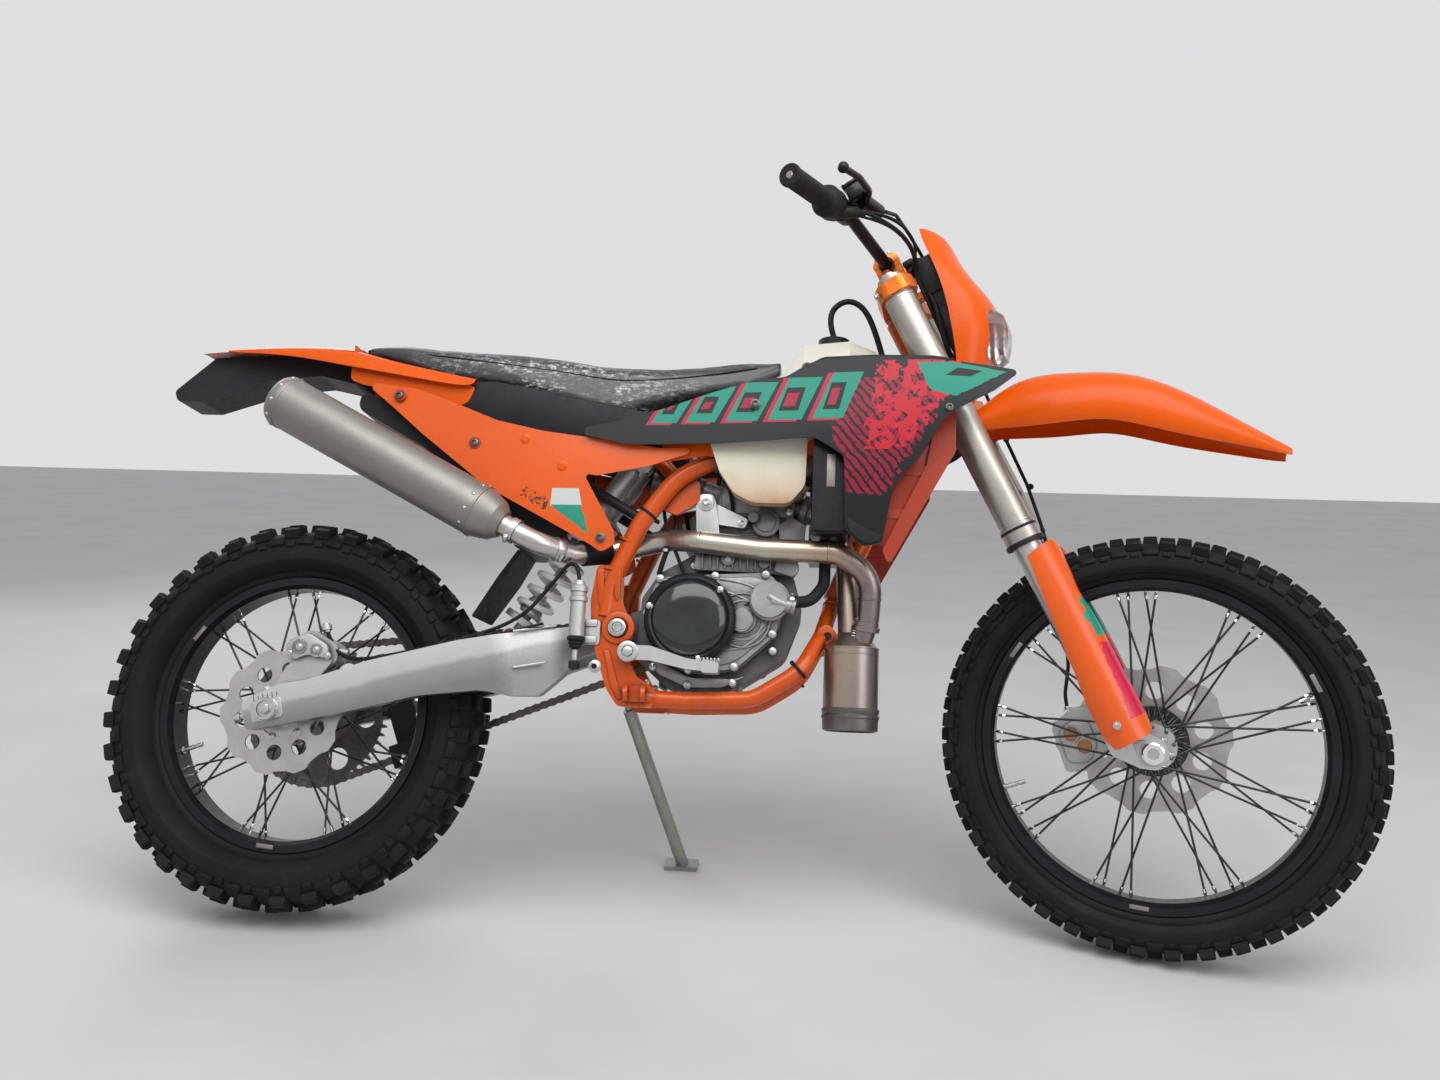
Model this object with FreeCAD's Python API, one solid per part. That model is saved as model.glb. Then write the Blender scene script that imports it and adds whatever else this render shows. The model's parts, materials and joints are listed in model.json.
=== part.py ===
import FreeCAD, Part
import math
import os
from FreeCAD import Placement, Rotation, Vector

# An enduro motorcycle leaning on its side stand, steering turned to the right.
# Millimetres. Every piece is drawn on the upright machine: X forward, Y to the rider's left,
# Z up from the ground, X = 0 below the rear axle at its standard setting.
# The steered pieces are then turned about the steering axis and the whole machine is leaned.

# Wheels
FRONT_TYRE_R = 350.0
FRONT_TYRE_W = 90.0
FRONT_LUG_H = 11.0
FRONT_LUG_ROWS = 40
REAR_TYRE_R = 340.0
REAR_TYRE_W = 132.0
REAR_LUG_H = 13.0
REAR_LUG_ROWS = 36
FRONT_RIM_R = 277.0
FRONT_RIM_W = 50.0
REAR_RIM_R = 240.0
REAR_RIM_W = 66.0
RIM_DEPTH = 19.0
RIM_WALL = 4.0
SPOKES = 36
SPOKE_R = 1.9
SPOKE_SWEEP = 52.0
FRONT_FLANGE_R = 33.0
FRONT_FLANGE_Y = 33.0
REAR_FLANGE_R = 52.0
REAR_FLANGE_Y = 37.0
FLANGE_T = 8.0
FRONT_DISC_R = 130.0
REAR_DISC_R = 110.0
DISC_T = 3.6
DISC_WAVES = 10
FRONT_DISC_Y = 66.0
REAR_DISC_Y = -74.0
AXLE_FIT = 0.05
FRONT_AXLE_R = 11.0
REAR_AXLE_R = 12.5

# Drive
PITCH = 15.875
REAR_TEETH = 50
FRONT_TEETH = 13
CHAIN_Y = 80.0
CHAIN_PLATE_H = 15.0
CHAIN_PLATE_T = 2.4
CHAIN_GAP = 8.4
TOOTH_T = 7.2
SPROCKET_SHAFT = (668.0, 512.0)

# Steering and fork
RAKE = 26.1
FORK_LENGTH = 660.0
AXLE_LEAD = 50.7
CLAMP_OFFSET = 22.0
LEG_Y = 102.0
TUBE_R = 28.5
STANCHION_R = 24.0
TUBE_TOP = FORK_LENGTH + 245.0
TUBE_BOTTOM = FORK_LENGTH - 275.0
HEAD_BASE = (1151.1, 920.4)
HEAD_LOW = FORK_LENGTH + 30.0
HEAD_HIGH = HEAD_LOW + 178.0
HEAD_R = 29.0
STEM_R = 15.0
CLAMP_LOW_T = 36.0
CLAMP_LOW = HEAD_LOW - CLAMP_LOW_T - 6.0
CLAMP_HIGH = HEAD_HIGH + 8.0
CLAMP_HIGH_T = 26.0
BAR_U = 26.0
BAR_T = CLAMP_HIGH + 79.0
BAR_R = 11.0
BAR_MID_R = 14.0
BAR_HALF = 405.0
GRIP_R = 16.5
GRIP_L = 122.0
STEER_REST = -19.25
FENDER_SCREW_R = 5.0
INSTRUMENT_U = 64.0

# Chassis
PIVOT = (581.0, 500.0)
PIVOT_BOLT_R = 10.0
SWINGARM_L = 602.65
SWINGARM_DROP = 15.397
ARM_IN = 98.0
ARM_OUT = 124.0
FRAME_Y = 104.0
SPAR_R = 16.0
CRADLE_R = 14.0
SUBFRAME_R = 9.0
DOWN_TUBE_R = 19.0
PANEL_T = 3.0
LEAN = 17.55
STAND_R = 12.0
STAND_PIVOT = (562.0, 131.0, 402.0)
STAND_FOOT = (672.0, 303.0)
STAND_AXIS = (-0.10, 1.0, 0.28)
FOOT_T = 8.0

PEG_PIN = (600.0, 128.0, 391.0)
PEG_SPAN = 36.0
PEG_EAR_T = 7.0
PEG_EAR_R = 13.0
CASTING_HALF = 12.0
PEG_BORE_R = 5.05
SCREW_R = 6.0
TANK_SCREW = (800.0, 880.0)
GUARD_SCREW = (1118.0, 870.0)
GAP = 0.3


def vec(x, y, z):
    return Vector(x, y, z)


def corner_edges(points, radii, closed):
    """Straight runs joined by tangent arcs, one arc of the given radius at each corner."""
    count = len(points)
    cuts = []
    for i, here in enumerate(points):
        if radii[i] == 0 or (not closed and i in (0, count - 1)):
            cuts.append((here, None, here))
            continue
        back = points[i - 1].sub(here)
        ahead = points[(i + 1) % count].sub(here)
        half = (math.pi - back.getAngle(ahead)) / 2
        if half < 0.01:
            cuts.append((here, None, here))
            continue
        reach = min(radii[i] * math.tan(half), 0.48 * back.Length, 0.48 * ahead.Length)
        radius = reach / math.tan(half)
        back.normalize()
        ahead.normalize()
        inward = back.add(ahead).normalize()
        middle = here.add(inward * (radius / math.cos(half) - radius))
        cuts.append((here.add(back * reach), middle, here.add(ahead * reach)))
    edges = []
    for i in range(count):
        start, middle, end = cuts[i]
        if middle is not None:
            edges.append(Part.Arc(start, middle, end).toShape())
        if i + 1 < count or closed:
            following = cuts[(i + 1) % count][0]
            if end.distanceToPoint(following) > 1e-6:
                edges.append(Part.makeLine(end, following))
    return edges


def outline_face(points):
    """A face in the XZ plane from (x, z, corner radius) points."""
    corners = [vec(p[0], 0, p[1]) for p in points]
    radii = [p[2] if len(p) > 2 else 0 for p in points]
    return Part.Face(Part.Wire(corner_edges(corners, radii, True)))


def plate(points, y_from, y_to):
    """A flat plate standing in the XZ plane between two distances across the machine."""
    face = outline_face(points)
    face.translate(vec(0, y_from, 0))
    return face.extrude(vec(0, y_to - y_from, 0))


def plan_plate(points, z_from, z_to):
    """A plate lying in the XY plane, from (x, y, corner radius) points."""
    corners = [vec(p[0], p[1], z_from) for p in points]
    radii = [p[2] if len(p) > 2 else 0 for p in points]
    face = Part.Face(Part.Wire(corner_edges(corners, radii, True)))
    return face.extrude(vec(0, 0, z_to - z_from))


def tube(points, radius, bend):
    """A round bar or tube along a route of straight runs and tangent bends."""
    route = [vec(*p) for p in points]
    path = Part.Wire(corner_edges(route, [bend] * len(route), False))
    start = route[1].sub(route[0])
    section = Part.Wire(Part.Circle(route[0], start, radius).toShape())
    return path.makePipeShell([section], True, False)


def rod(start, end, radius):
    """A straight round bar between two points."""
    run = vec(*end).sub(vec(*start))
    return Part.makeCylinder(radius, run.Length, vec(*start), run)


def drum(x, z, y_from, y_to, radius):
    """A round disc or boss whose axis runs across the machine."""
    return Part.makeCylinder(radius, y_to - y_from, vec(x, y_from, z), vec(0, 1, 0))


def ring(x, z, y_from, y_to, outer, inner):
    return drum(x, z, y_from, y_to, outer).cut(drum(x, z, y_from - 1, y_to + 1, inner))


def fused(shapes):
    return shapes[0].multiFuse(shapes[1:]).removeSplitter()


def mirrored(shape):
    """The same shape on the other side of the machine."""
    return shape.mirror(vec(0, 0, 0), vec(0, 1, 0))


def spline(points):
    curve = Part.BSplineCurve()
    curve.interpolate(points)
    return curve.toShape()


def sheet_section(points, far):
    """A closed thin section between a smooth outer line and a smooth inner line."""
    return Part.Wire([spline(points), Part.makeLine(points[-1], far[-1]), spline(far[::-1]),
                      Part.makeLine(far[0], points[0])])


def arched_section(x, line, edge, crown, half):
    """A fender's section at one station, with its wall measured square to the arch."""
    inner = [(y * (half - PANEL_T) / half, z - PANEL_T * (z - edge) / (crown - edge)) for y, z in line]
    return sheet_section([vec(x, y, z) for y, z in line], [vec(x, y, z) for y, z in inner])


def standing_skin(rows, wall):
    """A curved upright sheet; each row is (z, [(x, y) from rear to front])."""
    wires = []
    for z, line in rows:
        wires.append(sheet_section([vec(x, y, z) for x, y in line], [vec(x, y + wall, z) for x, y in line]))
    return Part.makeLoft(wires, True, False)


def oval_section(x, low, high, half_low, half_high, corner):
    """A closed cross section at one station, wider or narrower at the top than at the bottom."""
    corners = [vec(x, -half_low, low), vec(x, half_low, low), vec(x, half_high, high),
               vec(x, -half_high, high)]
    return Part.Wire(corner_edges(corners, [corner] * 4, True))


def from_fork(shape):
    """Places a shape drawn in fork lengths (X ahead, Z along the axis) on the upright machine."""
    placed = shape.copy()
    placed.Placement = Placement(AXIS_FOOT, Rotation(vec(0, 1, 0), -RAKE)).multiply(shape.Placement)
    return placed


def from_arm(shape):
    """Places a shape drawn along the swingarm (X from axle to pivot, Z above that line)."""
    placed = shape.copy()
    base = vec(REAR_AXLE[0], 0, REAR_AXLE[1])
    placed.Placement = Placement(base, Rotation(vec(0, 1, 0), -SWINGARM_DROP)).multiply(shape.Placement)
    return placed


def arm_point(s, y, h):
    turn = Rotation(vec(0, 1, 0), -SWINGARM_DROP)
    return vec(REAR_AXLE[0], 0, REAR_AXLE[1]).add(turn.multVec(vec(s, y, h)))


# Places that follow from the driving dimensions
DROP = math.radians(SWINGARM_DROP)
REAR_AXLE = (PIVOT[0] - SWINGARM_L * math.cos(DROP), PIVOT[1] - SWINGARM_L * math.sin(DROP))
TILT = math.radians(RAKE)
AHEAD = vec(math.cos(TILT), 0, math.sin(TILT))
UP_AXIS = vec(-math.sin(TILT), 0, math.cos(TILT))
AXIS_FOOT = vec(HEAD_BASE[0], 0, HEAD_BASE[1]).sub(UP_AXIS * FORK_LENGTH)
FRONT_AXLE = AXIS_FOOT.add(AHEAD * AXLE_LEAD)
STAY_Y = FRAME_Y - SPAR_R - 0.7
SUBFRAME_Y = FRAME_Y - SPAR_R - SUBFRAME_R - GAP
SUBFRAME_IN = SUBFRAME_Y - SUBFRAME_R - GAP
REAR_SPROCKET_R = PITCH / 2 / math.sin(math.pi / REAR_TEETH)
FRONT_SPROCKET_R = PITCH / 2 / math.sin(math.pi / FRONT_TEETH)


def tyre_profile(radius, width, lug, rim_r, rim_w):
    """Half profile of the carcass as (radius, distance from the middle) from crown to bead."""
    half = width / 2
    crown = radius - lug
    seat = rim_r - RIM_DEPTH + RIM_WALL + GAP
    bead = rim_w / 2 - RIM_WALL - GAP
    return [
        (crown, 0),
        (crown - 0.04 * width, 0.30 * width),
        (crown - 0.17 * width, half - 4),
        (crown - 0.42 * width, half - 1),
        (rim_r + 0.30 * (crown - rim_r), half - 0.04 * width),
        (rim_r + 4, rim_w / 2),
        (rim_r + GAP, bead),
        (seat, bead),
    ]


def revolve_about_axle(profile, x, z):
    """A ring turned about an axle that runs across the machine, from (radius, y) points."""
    points = [vec(x, y, z + r) for r, y in profile]
    face = Part.Face(Part.makePolygon(points + points[:1]))
    return face.revolve(vec(x, 0, z), vec(0, 1, 0), 360)


def lug_band(x, z, y_from, y_to, root, tip, rows, share, phase):
    """A toothed band of tread lugs, root to tip, round one part of the tread."""
    step = 2 * math.pi / rows
    points = []
    for row in range(rows):
        start = (row + phase) * step
        for radius, angle in ((root, start), (tip, start + 0.06 * step), (tip, start + (share - 0.06) * step),
                              (root, start + share * step)):
            points.append(vec(x + radius * math.cos(angle), y_from, z + radius * math.sin(angle)))
    rim = Part.Wire(Part.Circle(vec(x, y_from, z), vec(0, 1, 0), root - 12).toShape())
    face = Part.Face([Part.makePolygon(points + points[:1]), rim])
    return face.extrude(vec(0, y_to - y_from, 0))


def tyre(x, z, radius, width, lug, rows, rim_r, rim_w):
    half = tyre_profile(radius, width, lug, rim_r, rim_w)
    profile = half + [(r, -y) for r, y in half[:0:-1]]
    carcass = revolve_about_axle(profile, x, z)
    crown = radius - lug
    middle = lug_band(x, z, -0.17 * width, 0.17 * width, crown + 1, radius, rows, 0.46, 0)
    side_root = crown - 0.035 * width
    side_tip = side_root + lug
    side_in = 0.25 * width
    left = lug_band(x, z, side_in, width / 2 - 1, side_root, side_tip, rows, 0.46, 0.5)
    right = lug_band(x, z, 1 - width / 2, -side_in, side_root, side_tip, rows, 0.46, 0.5)
    return carcass.multiFuse([middle, left, right])


def rim(x, z, rim_r, rim_w):
    """A rim channel with two flanges, open towards the tyre."""
    floor = rim_r - RIM_DEPTH
    half = rim_w / 2
    inner = half - RIM_WALL
    side = [(floor + RIM_WALL, 0), (floor + RIM_WALL, inner), (rim_r, inner), (rim_r, half),
            (floor + 6, half), (floor, half - 10), (floor, 0)]
    profile = side + [(r, -y) for r, y in side[-2:0:-1]]
    return revolve_about_axle(profile, x, z)


def spokes(x, z, flange_r, flange_y, floor_r):
    """Crossed spokes: on each flange one half leans forward outside, the other half back inside."""
    bars = []
    per_side = SPOKES // 2
    for side in (-1, 1):
        for i in range(per_side):
            outer = i % 2 == 0
            sweep = SPOKE_SWEEP if outer else -SPOKE_SWEEP
            hub_angle = math.radians(360.0 * i / per_side + (0 if side > 0 else 180.0 / per_side))
            rim_angle = hub_angle + math.radians(sweep)
            hub_y = side * (flange_y + (FLANGE_T / 2 - 0.5 if outer else 0.5 - FLANGE_T / 2))
            rim_y = side * (8.0 if outer else 3.0)
            start = (x + flange_r * math.cos(hub_angle), hub_y, z + flange_r * math.sin(hub_angle))
            end = (x + floor_r * math.cos(rim_angle), rim_y, z + floor_r * math.sin(rim_angle))
            bars.append(rod(start, end, SPOKE_R))
    inside = drum(x, z, -90, 90, floor_r - GAP)
    return [bar.common(inside) for bar in bars]


def hub(x, z, flange_r, flange_y, barrel_r, half_width, bore, seats):
    """A spool hub with two flanges and the seats of the brake disc and sprocket."""
    pieces = [drum(x, z, -half_width, half_width, barrel_r)]
    for side in (-1, 1):
        middle = side * flange_y
        pieces.append(drum(x, z, middle - FLANGE_T / 2, middle + FLANGE_T / 2, flange_r + 5))
    for y_from, y_to, radius in seats:
        pieces.append(drum(x, z, y_from, y_to, radius))
    return fused(pieces).cut(drum(x, z, -half_width - 200, half_width + 200, bore))


def wave_disc(x, z, y, outer, inner, waves):
    """A brake disc whose edge runs in waves, with a spider of arms to its inner ring."""
    points = []
    for i in range(waves):
        for share, radius in ((0.0, outer), (0.32, outer), (0.5, outer - 7), (0.82, outer - 7)):
            angle = 2 * math.pi * (i + share) / waves
            points.append(vec(x + radius * math.cos(angle), y, z + radius * math.sin(angle)))
    edge = Part.Wire(corner_edges(points, [8.0] * len(points), True))
    hole = Part.Wire(Part.Circle(vec(x, y, z), vec(0, 1, 0), inner).toShape())
    disc = Part.Face([edge, hole]).extrude(vec(0, DISC_T, 0))
    windows = []
    for i in range(waves):
        angle = 2 * math.pi * (i + 0.4) / waves
        radius = (outer + inner) / 2 - 6
        centre = (x + radius * math.cos(angle), z + radius * math.sin(angle))
        windows.append(drum(centre[0], centre[1], y - 1, y + DISC_T + 1, 0.2 * (outer - inner)))
    return disc.cut(windows[0].multiFuse(windows[1:]))


def toothed_plate(x, z, y, teeth, bore):
    """A chain sprocket with one tooth to each chain pitch."""
    pitch_r = PITCH / 2 / math.sin(math.pi / teeth)
    points = []
    for i in range(teeth):
        for share, radius in ((-0.27, pitch_r - 5.0), (-0.10, pitch_r + 4.5), (0.10, pitch_r + 4.5),
                              (0.27, pitch_r - 5.0)):
            angle = 2 * math.pi * (i + share) / teeth
            points.append(vec(x + radius * math.cos(angle), y - TOOTH_T / 2, z + radius * math.sin(angle)))
    edge = Part.makePolygon(points + points[:1])
    hole = Part.Wire(Part.Circle(vec(x, y - TOOTH_T / 2, z), vec(0, 1, 0), bore).toShape())
    return Part.Face([edge, hole]).extrude(vec(0, TOOTH_T, 0))


def chain_line():
    """Direction between the sprockets, and the outward normals of the upper and lower runs."""
    rear = vec(REAR_AXLE[0], 0, REAR_AXLE[1])
    front = vec(SPROCKET_SHAFT[0], 0, SPROCKET_SHAFT[1])
    along = front.sub(rear)
    lean = (REAR_SPROCKET_R - FRONT_SPROCKET_R) / along.Length
    along.normalize()
    upward = vec(-along.z, 0, along.x) * math.sqrt(1 - lean * lean)
    return rear, front, along, (along * lean).add(upward), (along * lean).sub(upward)


def chain_loop(grow):
    """The closed line of the chain, moved outward from its pitch line."""
    rear, front, along, above, below = chain_line()
    rear_r = REAR_SPROCKET_R + grow
    front_r = FRONT_SPROCKET_R + grow
    top = (rear.add(above * rear_r), front.add(above * front_r))
    bottom = (front.add(below * front_r), rear.add(below * rear_r))
    return Part.Wire([
        Part.makeLine(*top), Part.Arc(top[1], front.add(along * front_r), bottom[0]).toShape(),
        Part.makeLine(*bottom), Part.Arc(bottom[1], rear.sub(along * rear_r), top[0]).toShape()])


def chain():
    """A closed loop: two bands of side plates held by rollers on the straight runs."""
    half = CHAIN_PLATE_H / 2
    pieces = []
    for offset in (CHAIN_GAP / 2, -CHAIN_GAP / 2 - CHAIN_PLATE_T):
        band = Part.Face(chain_loop(half)).extrude(vec(0, CHAIN_PLATE_T, 0))
        band = band.cut(Part.Face(chain_loop(-half)).extrude(vec(0, CHAIN_PLATE_T, 0)))
        band.translate(vec(0, CHAIN_Y + offset, 0))
        pieces.append(band)
    rear, front, along, above, below = chain_line()
    for normal in (above, below):
        start = rear.add(normal * REAR_SPROCKET_R)
        end = front.add(normal * FRONT_SPROCKET_R)
        run = end.sub(start)
        steps = int((run.Length - 90) / (2 * PITCH))
        for i in range(steps + 1):
            centre = start.add(run * ((60 + 2 * PITCH * i) / run.Length))
            roller = Part.makePolygon([centre.add(vec(5 * math.cos(k * math.pi / 3), 0,
                                                      5 * math.sin(k * math.pi / 3)))
                                       for k in range(7)])
            bar = Part.Face(roller).extrude(vec(0, CHAIN_GAP + 2 * CHAIN_PLATE_T, 0))
            bar.translate(vec(0, CHAIN_Y - CHAIN_GAP / 2 - CHAIN_PLATE_T, 0))
            pieces.append(bar)
    return fused(pieces)


def front_wheel():
    x, z = FRONT_AXLE.x, FRONT_AXLE.z
    half_width = LEG_Y - 22 - GAP
    seats = [(FRONT_DISC_Y - 20, FRONT_DISC_Y, 60)]
    body = hub(x, z, FRONT_FLANGE_R, FRONT_FLANGE_Y, 21, half_width, FRONT_AXLE_R + AXLE_FIT, seats)
    wires = spokes(x, z, FRONT_FLANGE_R, FRONT_FLANGE_Y, FRONT_RIM_R - RIM_DEPTH)
    return {
        "front_tyre": tyre(x, z, FRONT_TYRE_R, FRONT_TYRE_W, FRONT_LUG_H, FRONT_LUG_ROWS, FRONT_RIM_R,
                           FRONT_RIM_W),
        "front_rim": rim(x, z, FRONT_RIM_R, FRONT_RIM_W),
        "front_hub": body.multiFuse(wires),
        "front_disc": wave_disc(x, z, FRONT_DISC_Y, FRONT_DISC_R, 54, DISC_WAVES),
    }


def rear_wheel():
    x, z = REAR_AXLE
    carrier = CHAIN_Y - TOOTH_T / 2
    disc_face = REAR_DISC_Y + DISC_T
    seats = [(carrier - 26, carrier, 60), (disc_face, disc_face + 26, 50)]
    half_width = ARM_IN - 8
    body = hub(x, z, REAR_FLANGE_R, REAR_FLANGE_Y, 27, half_width, REAR_AXLE_R + AXLE_FIT, seats)
    spacer = ring(x, z, half_width, ARM_IN - GAP, 20, REAR_AXLE_R + AXLE_FIT)
    wires = spokes(x, z, REAR_FLANGE_R, REAR_FLANGE_Y, REAR_RIM_R - RIM_DEPTH)
    sprocket = toothed_plate(x, z, CHAIN_Y, REAR_TEETH, 54)
    holes = [drum(x + 90 * math.cos(k * math.pi / 3), z + 90 * math.sin(k * math.pi / 3), CHAIN_Y - 9,
                  CHAIN_Y + 9, 20)
             for k in range(6)]
    return {
        "rear_tyre": tyre(x, z, REAR_TYRE_R, REAR_TYRE_W, REAR_LUG_H, REAR_LUG_ROWS, REAR_RIM_R, REAR_RIM_W),
        "rear_rim": rim(x, z, REAR_RIM_R, REAR_RIM_W),
        "rear_hub": body.multiFuse([spacer] + wires),
        "rear_disc": wave_disc(x, z, REAR_DISC_Y, REAR_DISC_R, 44, DISC_WAVES),
        "rear_sprocket": sprocket.cut(holes[0].multiFuse(holes[1:])),
    }


def fender_screws(radius):
    """The four screws below the lower clamp that carry the front fender, drawn in fork lengths."""
    return [Part.makeCylinder(radius, 22, vec(u, y, CLAMP_LOW - 18)) for u in (0, 30) for y in (-30, 30)]


def fork():
    """Clamps, tubes, axle feet, guards and the axle, drawn in fork lengths."""
    pieces = {}
    leg_u = CLAMP_OFFSET
    clamp_points = [(-26, -20, 12), (leg_u - 34, -LEG_Y - 8, 20), (leg_u - 20, -LEG_Y - 36, 16),
                    (leg_u + 24, -LEG_Y - 36, 16), (leg_u + 38, -LEG_Y, 16), (leg_u + 20, -45, 20),
                    (leg_u + 12, 0, 0)]
    clamp_outline = clamp_points + [(p[0], -p[1], p[2]) for p in clamp_points[-2::-1]]
    lower = plan_plate(clamp_outline, CLAMP_LOW, CLAMP_LOW + CLAMP_LOW_T)
    upper = plan_plate(clamp_outline, CLAMP_HIGH, CLAMP_HIGH + CLAMP_HIGH_T)
    stem = Part.makeCylinder(STEM_R, CLAMP_HIGH + CLAMP_HIGH_T + 6 - CLAMP_LOW, vec(0, 0, CLAMP_LOW))
    risers = []
    for y in (-45, 45):
        risers.append(plate([(2, CLAMP_HIGH + CLAMP_HIGH_T - 4), (2, BAR_T + 6, 8), (16, BAR_T + 21, 12),
                             (36, BAR_T + 21, 12), (50, BAR_T + 6, 8), (46, CLAMP_HIGH + CLAMP_HIGH_T - 4)],
                             y - 12, y + 12))
    arm = Part.makeBox(INSTRUMENT_U - GAP - 24, 30, 12, vec(24, -15, CLAMP_HIGH + 8))
    bodies = fused([lower, upper, stem, arm] + risers)
    for side in (-1, 1):
        bodies = bodies.cut(Part.makeCylinder(TUBE_R + GAP, 400, vec(leg_u, side * LEG_Y, CLAMP_LOW - 50)))
    bodies = bodies.cut(drum(BAR_U, BAR_T, -70, 70, BAR_MID_R + GAP)).multiFuse(fender_screws(FENDER_SCREW_R))
    pieces["fork_clamps"] = bodies

    tubes = []
    for side in (-1, 1):
        y = side * LEG_Y
        outer = Part.makeCylinder(TUBE_R, TUBE_TOP - TUBE_BOTTOM, vec(leg_u, y, TUBE_BOTTOM))
        seal = Part.makeCylinder(TUBE_R + 2.5, 34, vec(leg_u, y, TUBE_BOTTOM))
        cap = Part.makeCylinder(TUBE_R - 5, 10, vec(leg_u, y, TUBE_TOP))
        knob = Part.makeCylinder(8, 9, vec(leg_u, y, TUBE_TOP + 10))
        bore = Part.makeCylinder(STANCHION_R + GAP, 110, vec(leg_u, y, TUBE_BOTTOM - 5))
        tubes.append(fused([outer, seal, cap, knob]).cut(bore))
    pieces["fork_tubes"] = Part.makeCompound(tubes)

    feet = []
    foot = [(leg_u - 28, 96, 6), (leg_u - 30, 20, 14), (AXLE_LEAD - 28, -14, 14), (AXLE_LEAD - 6, -27, 12),
            (AXLE_LEAD + 22, -16, 14), (AXLE_LEAD + 24, 10, 14), (leg_u + 26, 44, 14), (leg_u + 28, 96, 6)]
    for side in (-1, 1):
        y = side * LEG_Y
        stanchion = Part.makeCylinder(STANCHION_R, TUBE_BOTTOM + 95 - 70, vec(leg_u, y, 70))
        collar = Part.makeCylinder(STANCHION_R + 4, 60, vec(leg_u, y, 60))
        block = plate(foot, y - 22, y + 22)
        screw = drum(leg_u, 62, min(y, y + side * 48), max(y, y + side * 48), SCREW_R - 1)
        feet.append(fused([stanchion, collar, block, screw]).cut(drum(AXLE_LEAD, 0, y - 60, y + 60,
                                                                      FRONT_AXLE_R + GAP)))
    pieces["fork_lowers"] = Part.makeCompound(feet)

    edge = plate([(leg_u - 4, 363), (leg_u + 41, 374, 8), (leg_u + 48, 361, 14), (leg_u + 42, 279, 60),
                  (leg_u + 48, 201, 60), (leg_u + 46, 134, 60), (leg_u + 48, 67, 30), (leg_u + 44, 31, 8),
                  (leg_u - 19, 27, 8), (leg_u - 28, 50, 10), (leg_u - 28, 111, 40), (leg_u - 22, 158, 60),
                  (leg_u - 14, 258, 60)], -LEG_Y - 60, -LEG_Y + 20)
    shell_r = 47
    shell = Part.makeCylinder(shell_r, 400, vec(leg_u, -LEG_Y, 0)).cut(
        Part.makeCylinder(shell_r - PANEL_T, 420, vec(leg_u, -LEG_Y, -10)))
    right = shell.common(edge).cut(drum(leg_u, 62, -LEG_Y - 60, -LEG_Y, SCREW_R - 1 + GAP))
    pieces["fork_guards"] = Part.makeCompound([right, mirrored(right)])

    shaft = drum(AXLE_LEAD, 0, -LEG_Y - 24, LEG_Y + 29, FRONT_AXLE_R)
    head = drum(AXLE_LEAD, 0, -LEG_Y - 26, -LEG_Y - 22 - GAP, FRONT_AXLE_R + 4)
    nut = drum(AXLE_LEAD, 0, LEG_Y + 22 + GAP, LEG_Y + 30, FRONT_AXLE_R + 5)
    pieces["front_axle"] = fused([shaft, head, nut])

    caliper = plate([(-104, 6, 10), (-92, 88, 14), (-50, 102, 10), (leg_u - 28 - GAP, 92, 4),
                     (leg_u - 30 - GAP, 20, 4), (-60, -8, 12)], 46, 98)
    slot = drum(AXLE_LEAD, 0, FRONT_DISC_Y - 1.6, FRONT_DISC_Y + DISC_T + 1.6, FRONT_DISC_R + 3)
    pieces["front_caliper"] = caliper.cut(slot)
    return pieces


def handlebar():
    """Bar, grips, levers and their housings, drawn in fork lengths."""
    pieces = {}
    half = [(BAR_U, 0, BAR_T), (BAR_U, 75, BAR_T), (BAR_U - 10, 195, BAR_T + 57),
            (BAR_U - 48, BAR_HALF, BAR_T + 75)]
    route = [(u, -y, t) for u, y, t in half[:0:-1]] + half[1:]
    bar = tube(route, BAR_R, 50)
    middle = rod((BAR_U, -70, BAR_T), (BAR_U, 70, BAR_T), BAR_MID_R)
    pieces["handlebar"] = fused([bar, middle])
    inner, outer = vec(*half[2]), vec(*half[3])
    along = outer.sub(inner)
    length = along.Length
    along.normalize()
    start = outer.sub(along * GRIP_L)
    grip = Part.makeCylinder(GRIP_R, GRIP_L + 3, start, along)
    flange = Part.makeCylinder(GRIP_R + 9, 5, start, along)
    bore = Part.makeCylinder(BAR_R + GAP, GRIP_L + 20 + GAP, start.sub(along * 20), along)
    left = fused([grip, flange]).cut(bore)
    pieces["grips"] = Part.makeCompound([left, mirrored(left)])

    housing_at = start.sub(along * 34)
    housing = Part.makeCylinder(24, 32, housing_at, along)
    perch_at = start.sub(along * 78)
    perch = Part.makeCylinder(18, 26, perch_at, along)
    lever_root = perch_at.add(along * 13).add(vec(38, 0, -8))
    arm = rod(tuple(perch_at.add(along * 13)), tuple(lever_root), 9)
    cylinder = Part.makeCylinder(13, 62, lever_root.sub(along * 52).add(vec(2, 0, 4)), along)
    root = tuple(lever_root)
    lever = tube([root, (root[0] + 18, root[1] + 46, root[2] - 4), (root[0] + 16, root[1] + 110, root[2] - 4),
                  (root[0] + 4, root[1] + 165, root[2] - 2)], 5.5, 60)
    ball = Part.makeSphere(9, vec(root[0] + 4, root[1] + 165, root[2] - 2))
    hole = Part.makeCylinder(BAR_R + GAP, 200, start.sub(along * 120), along)
    side = fused([housing, perch, arm, cylinder, lever, ball]).cut(hole)
    pieces["controls"] = Part.makeCompound([side, mirrored(side)])
    low = CLAMP_HIGH - 128
    pieces["instrument"] = plate([(INSTRUMENT_U, low, 10), (INSTRUMENT_U, low + 182, 10), (70, low + 198, 12),
                                  (98, low + 192, 12), (104, low + 102, 10), (86, low, 10)], -44, 44)
    return pieces


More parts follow.
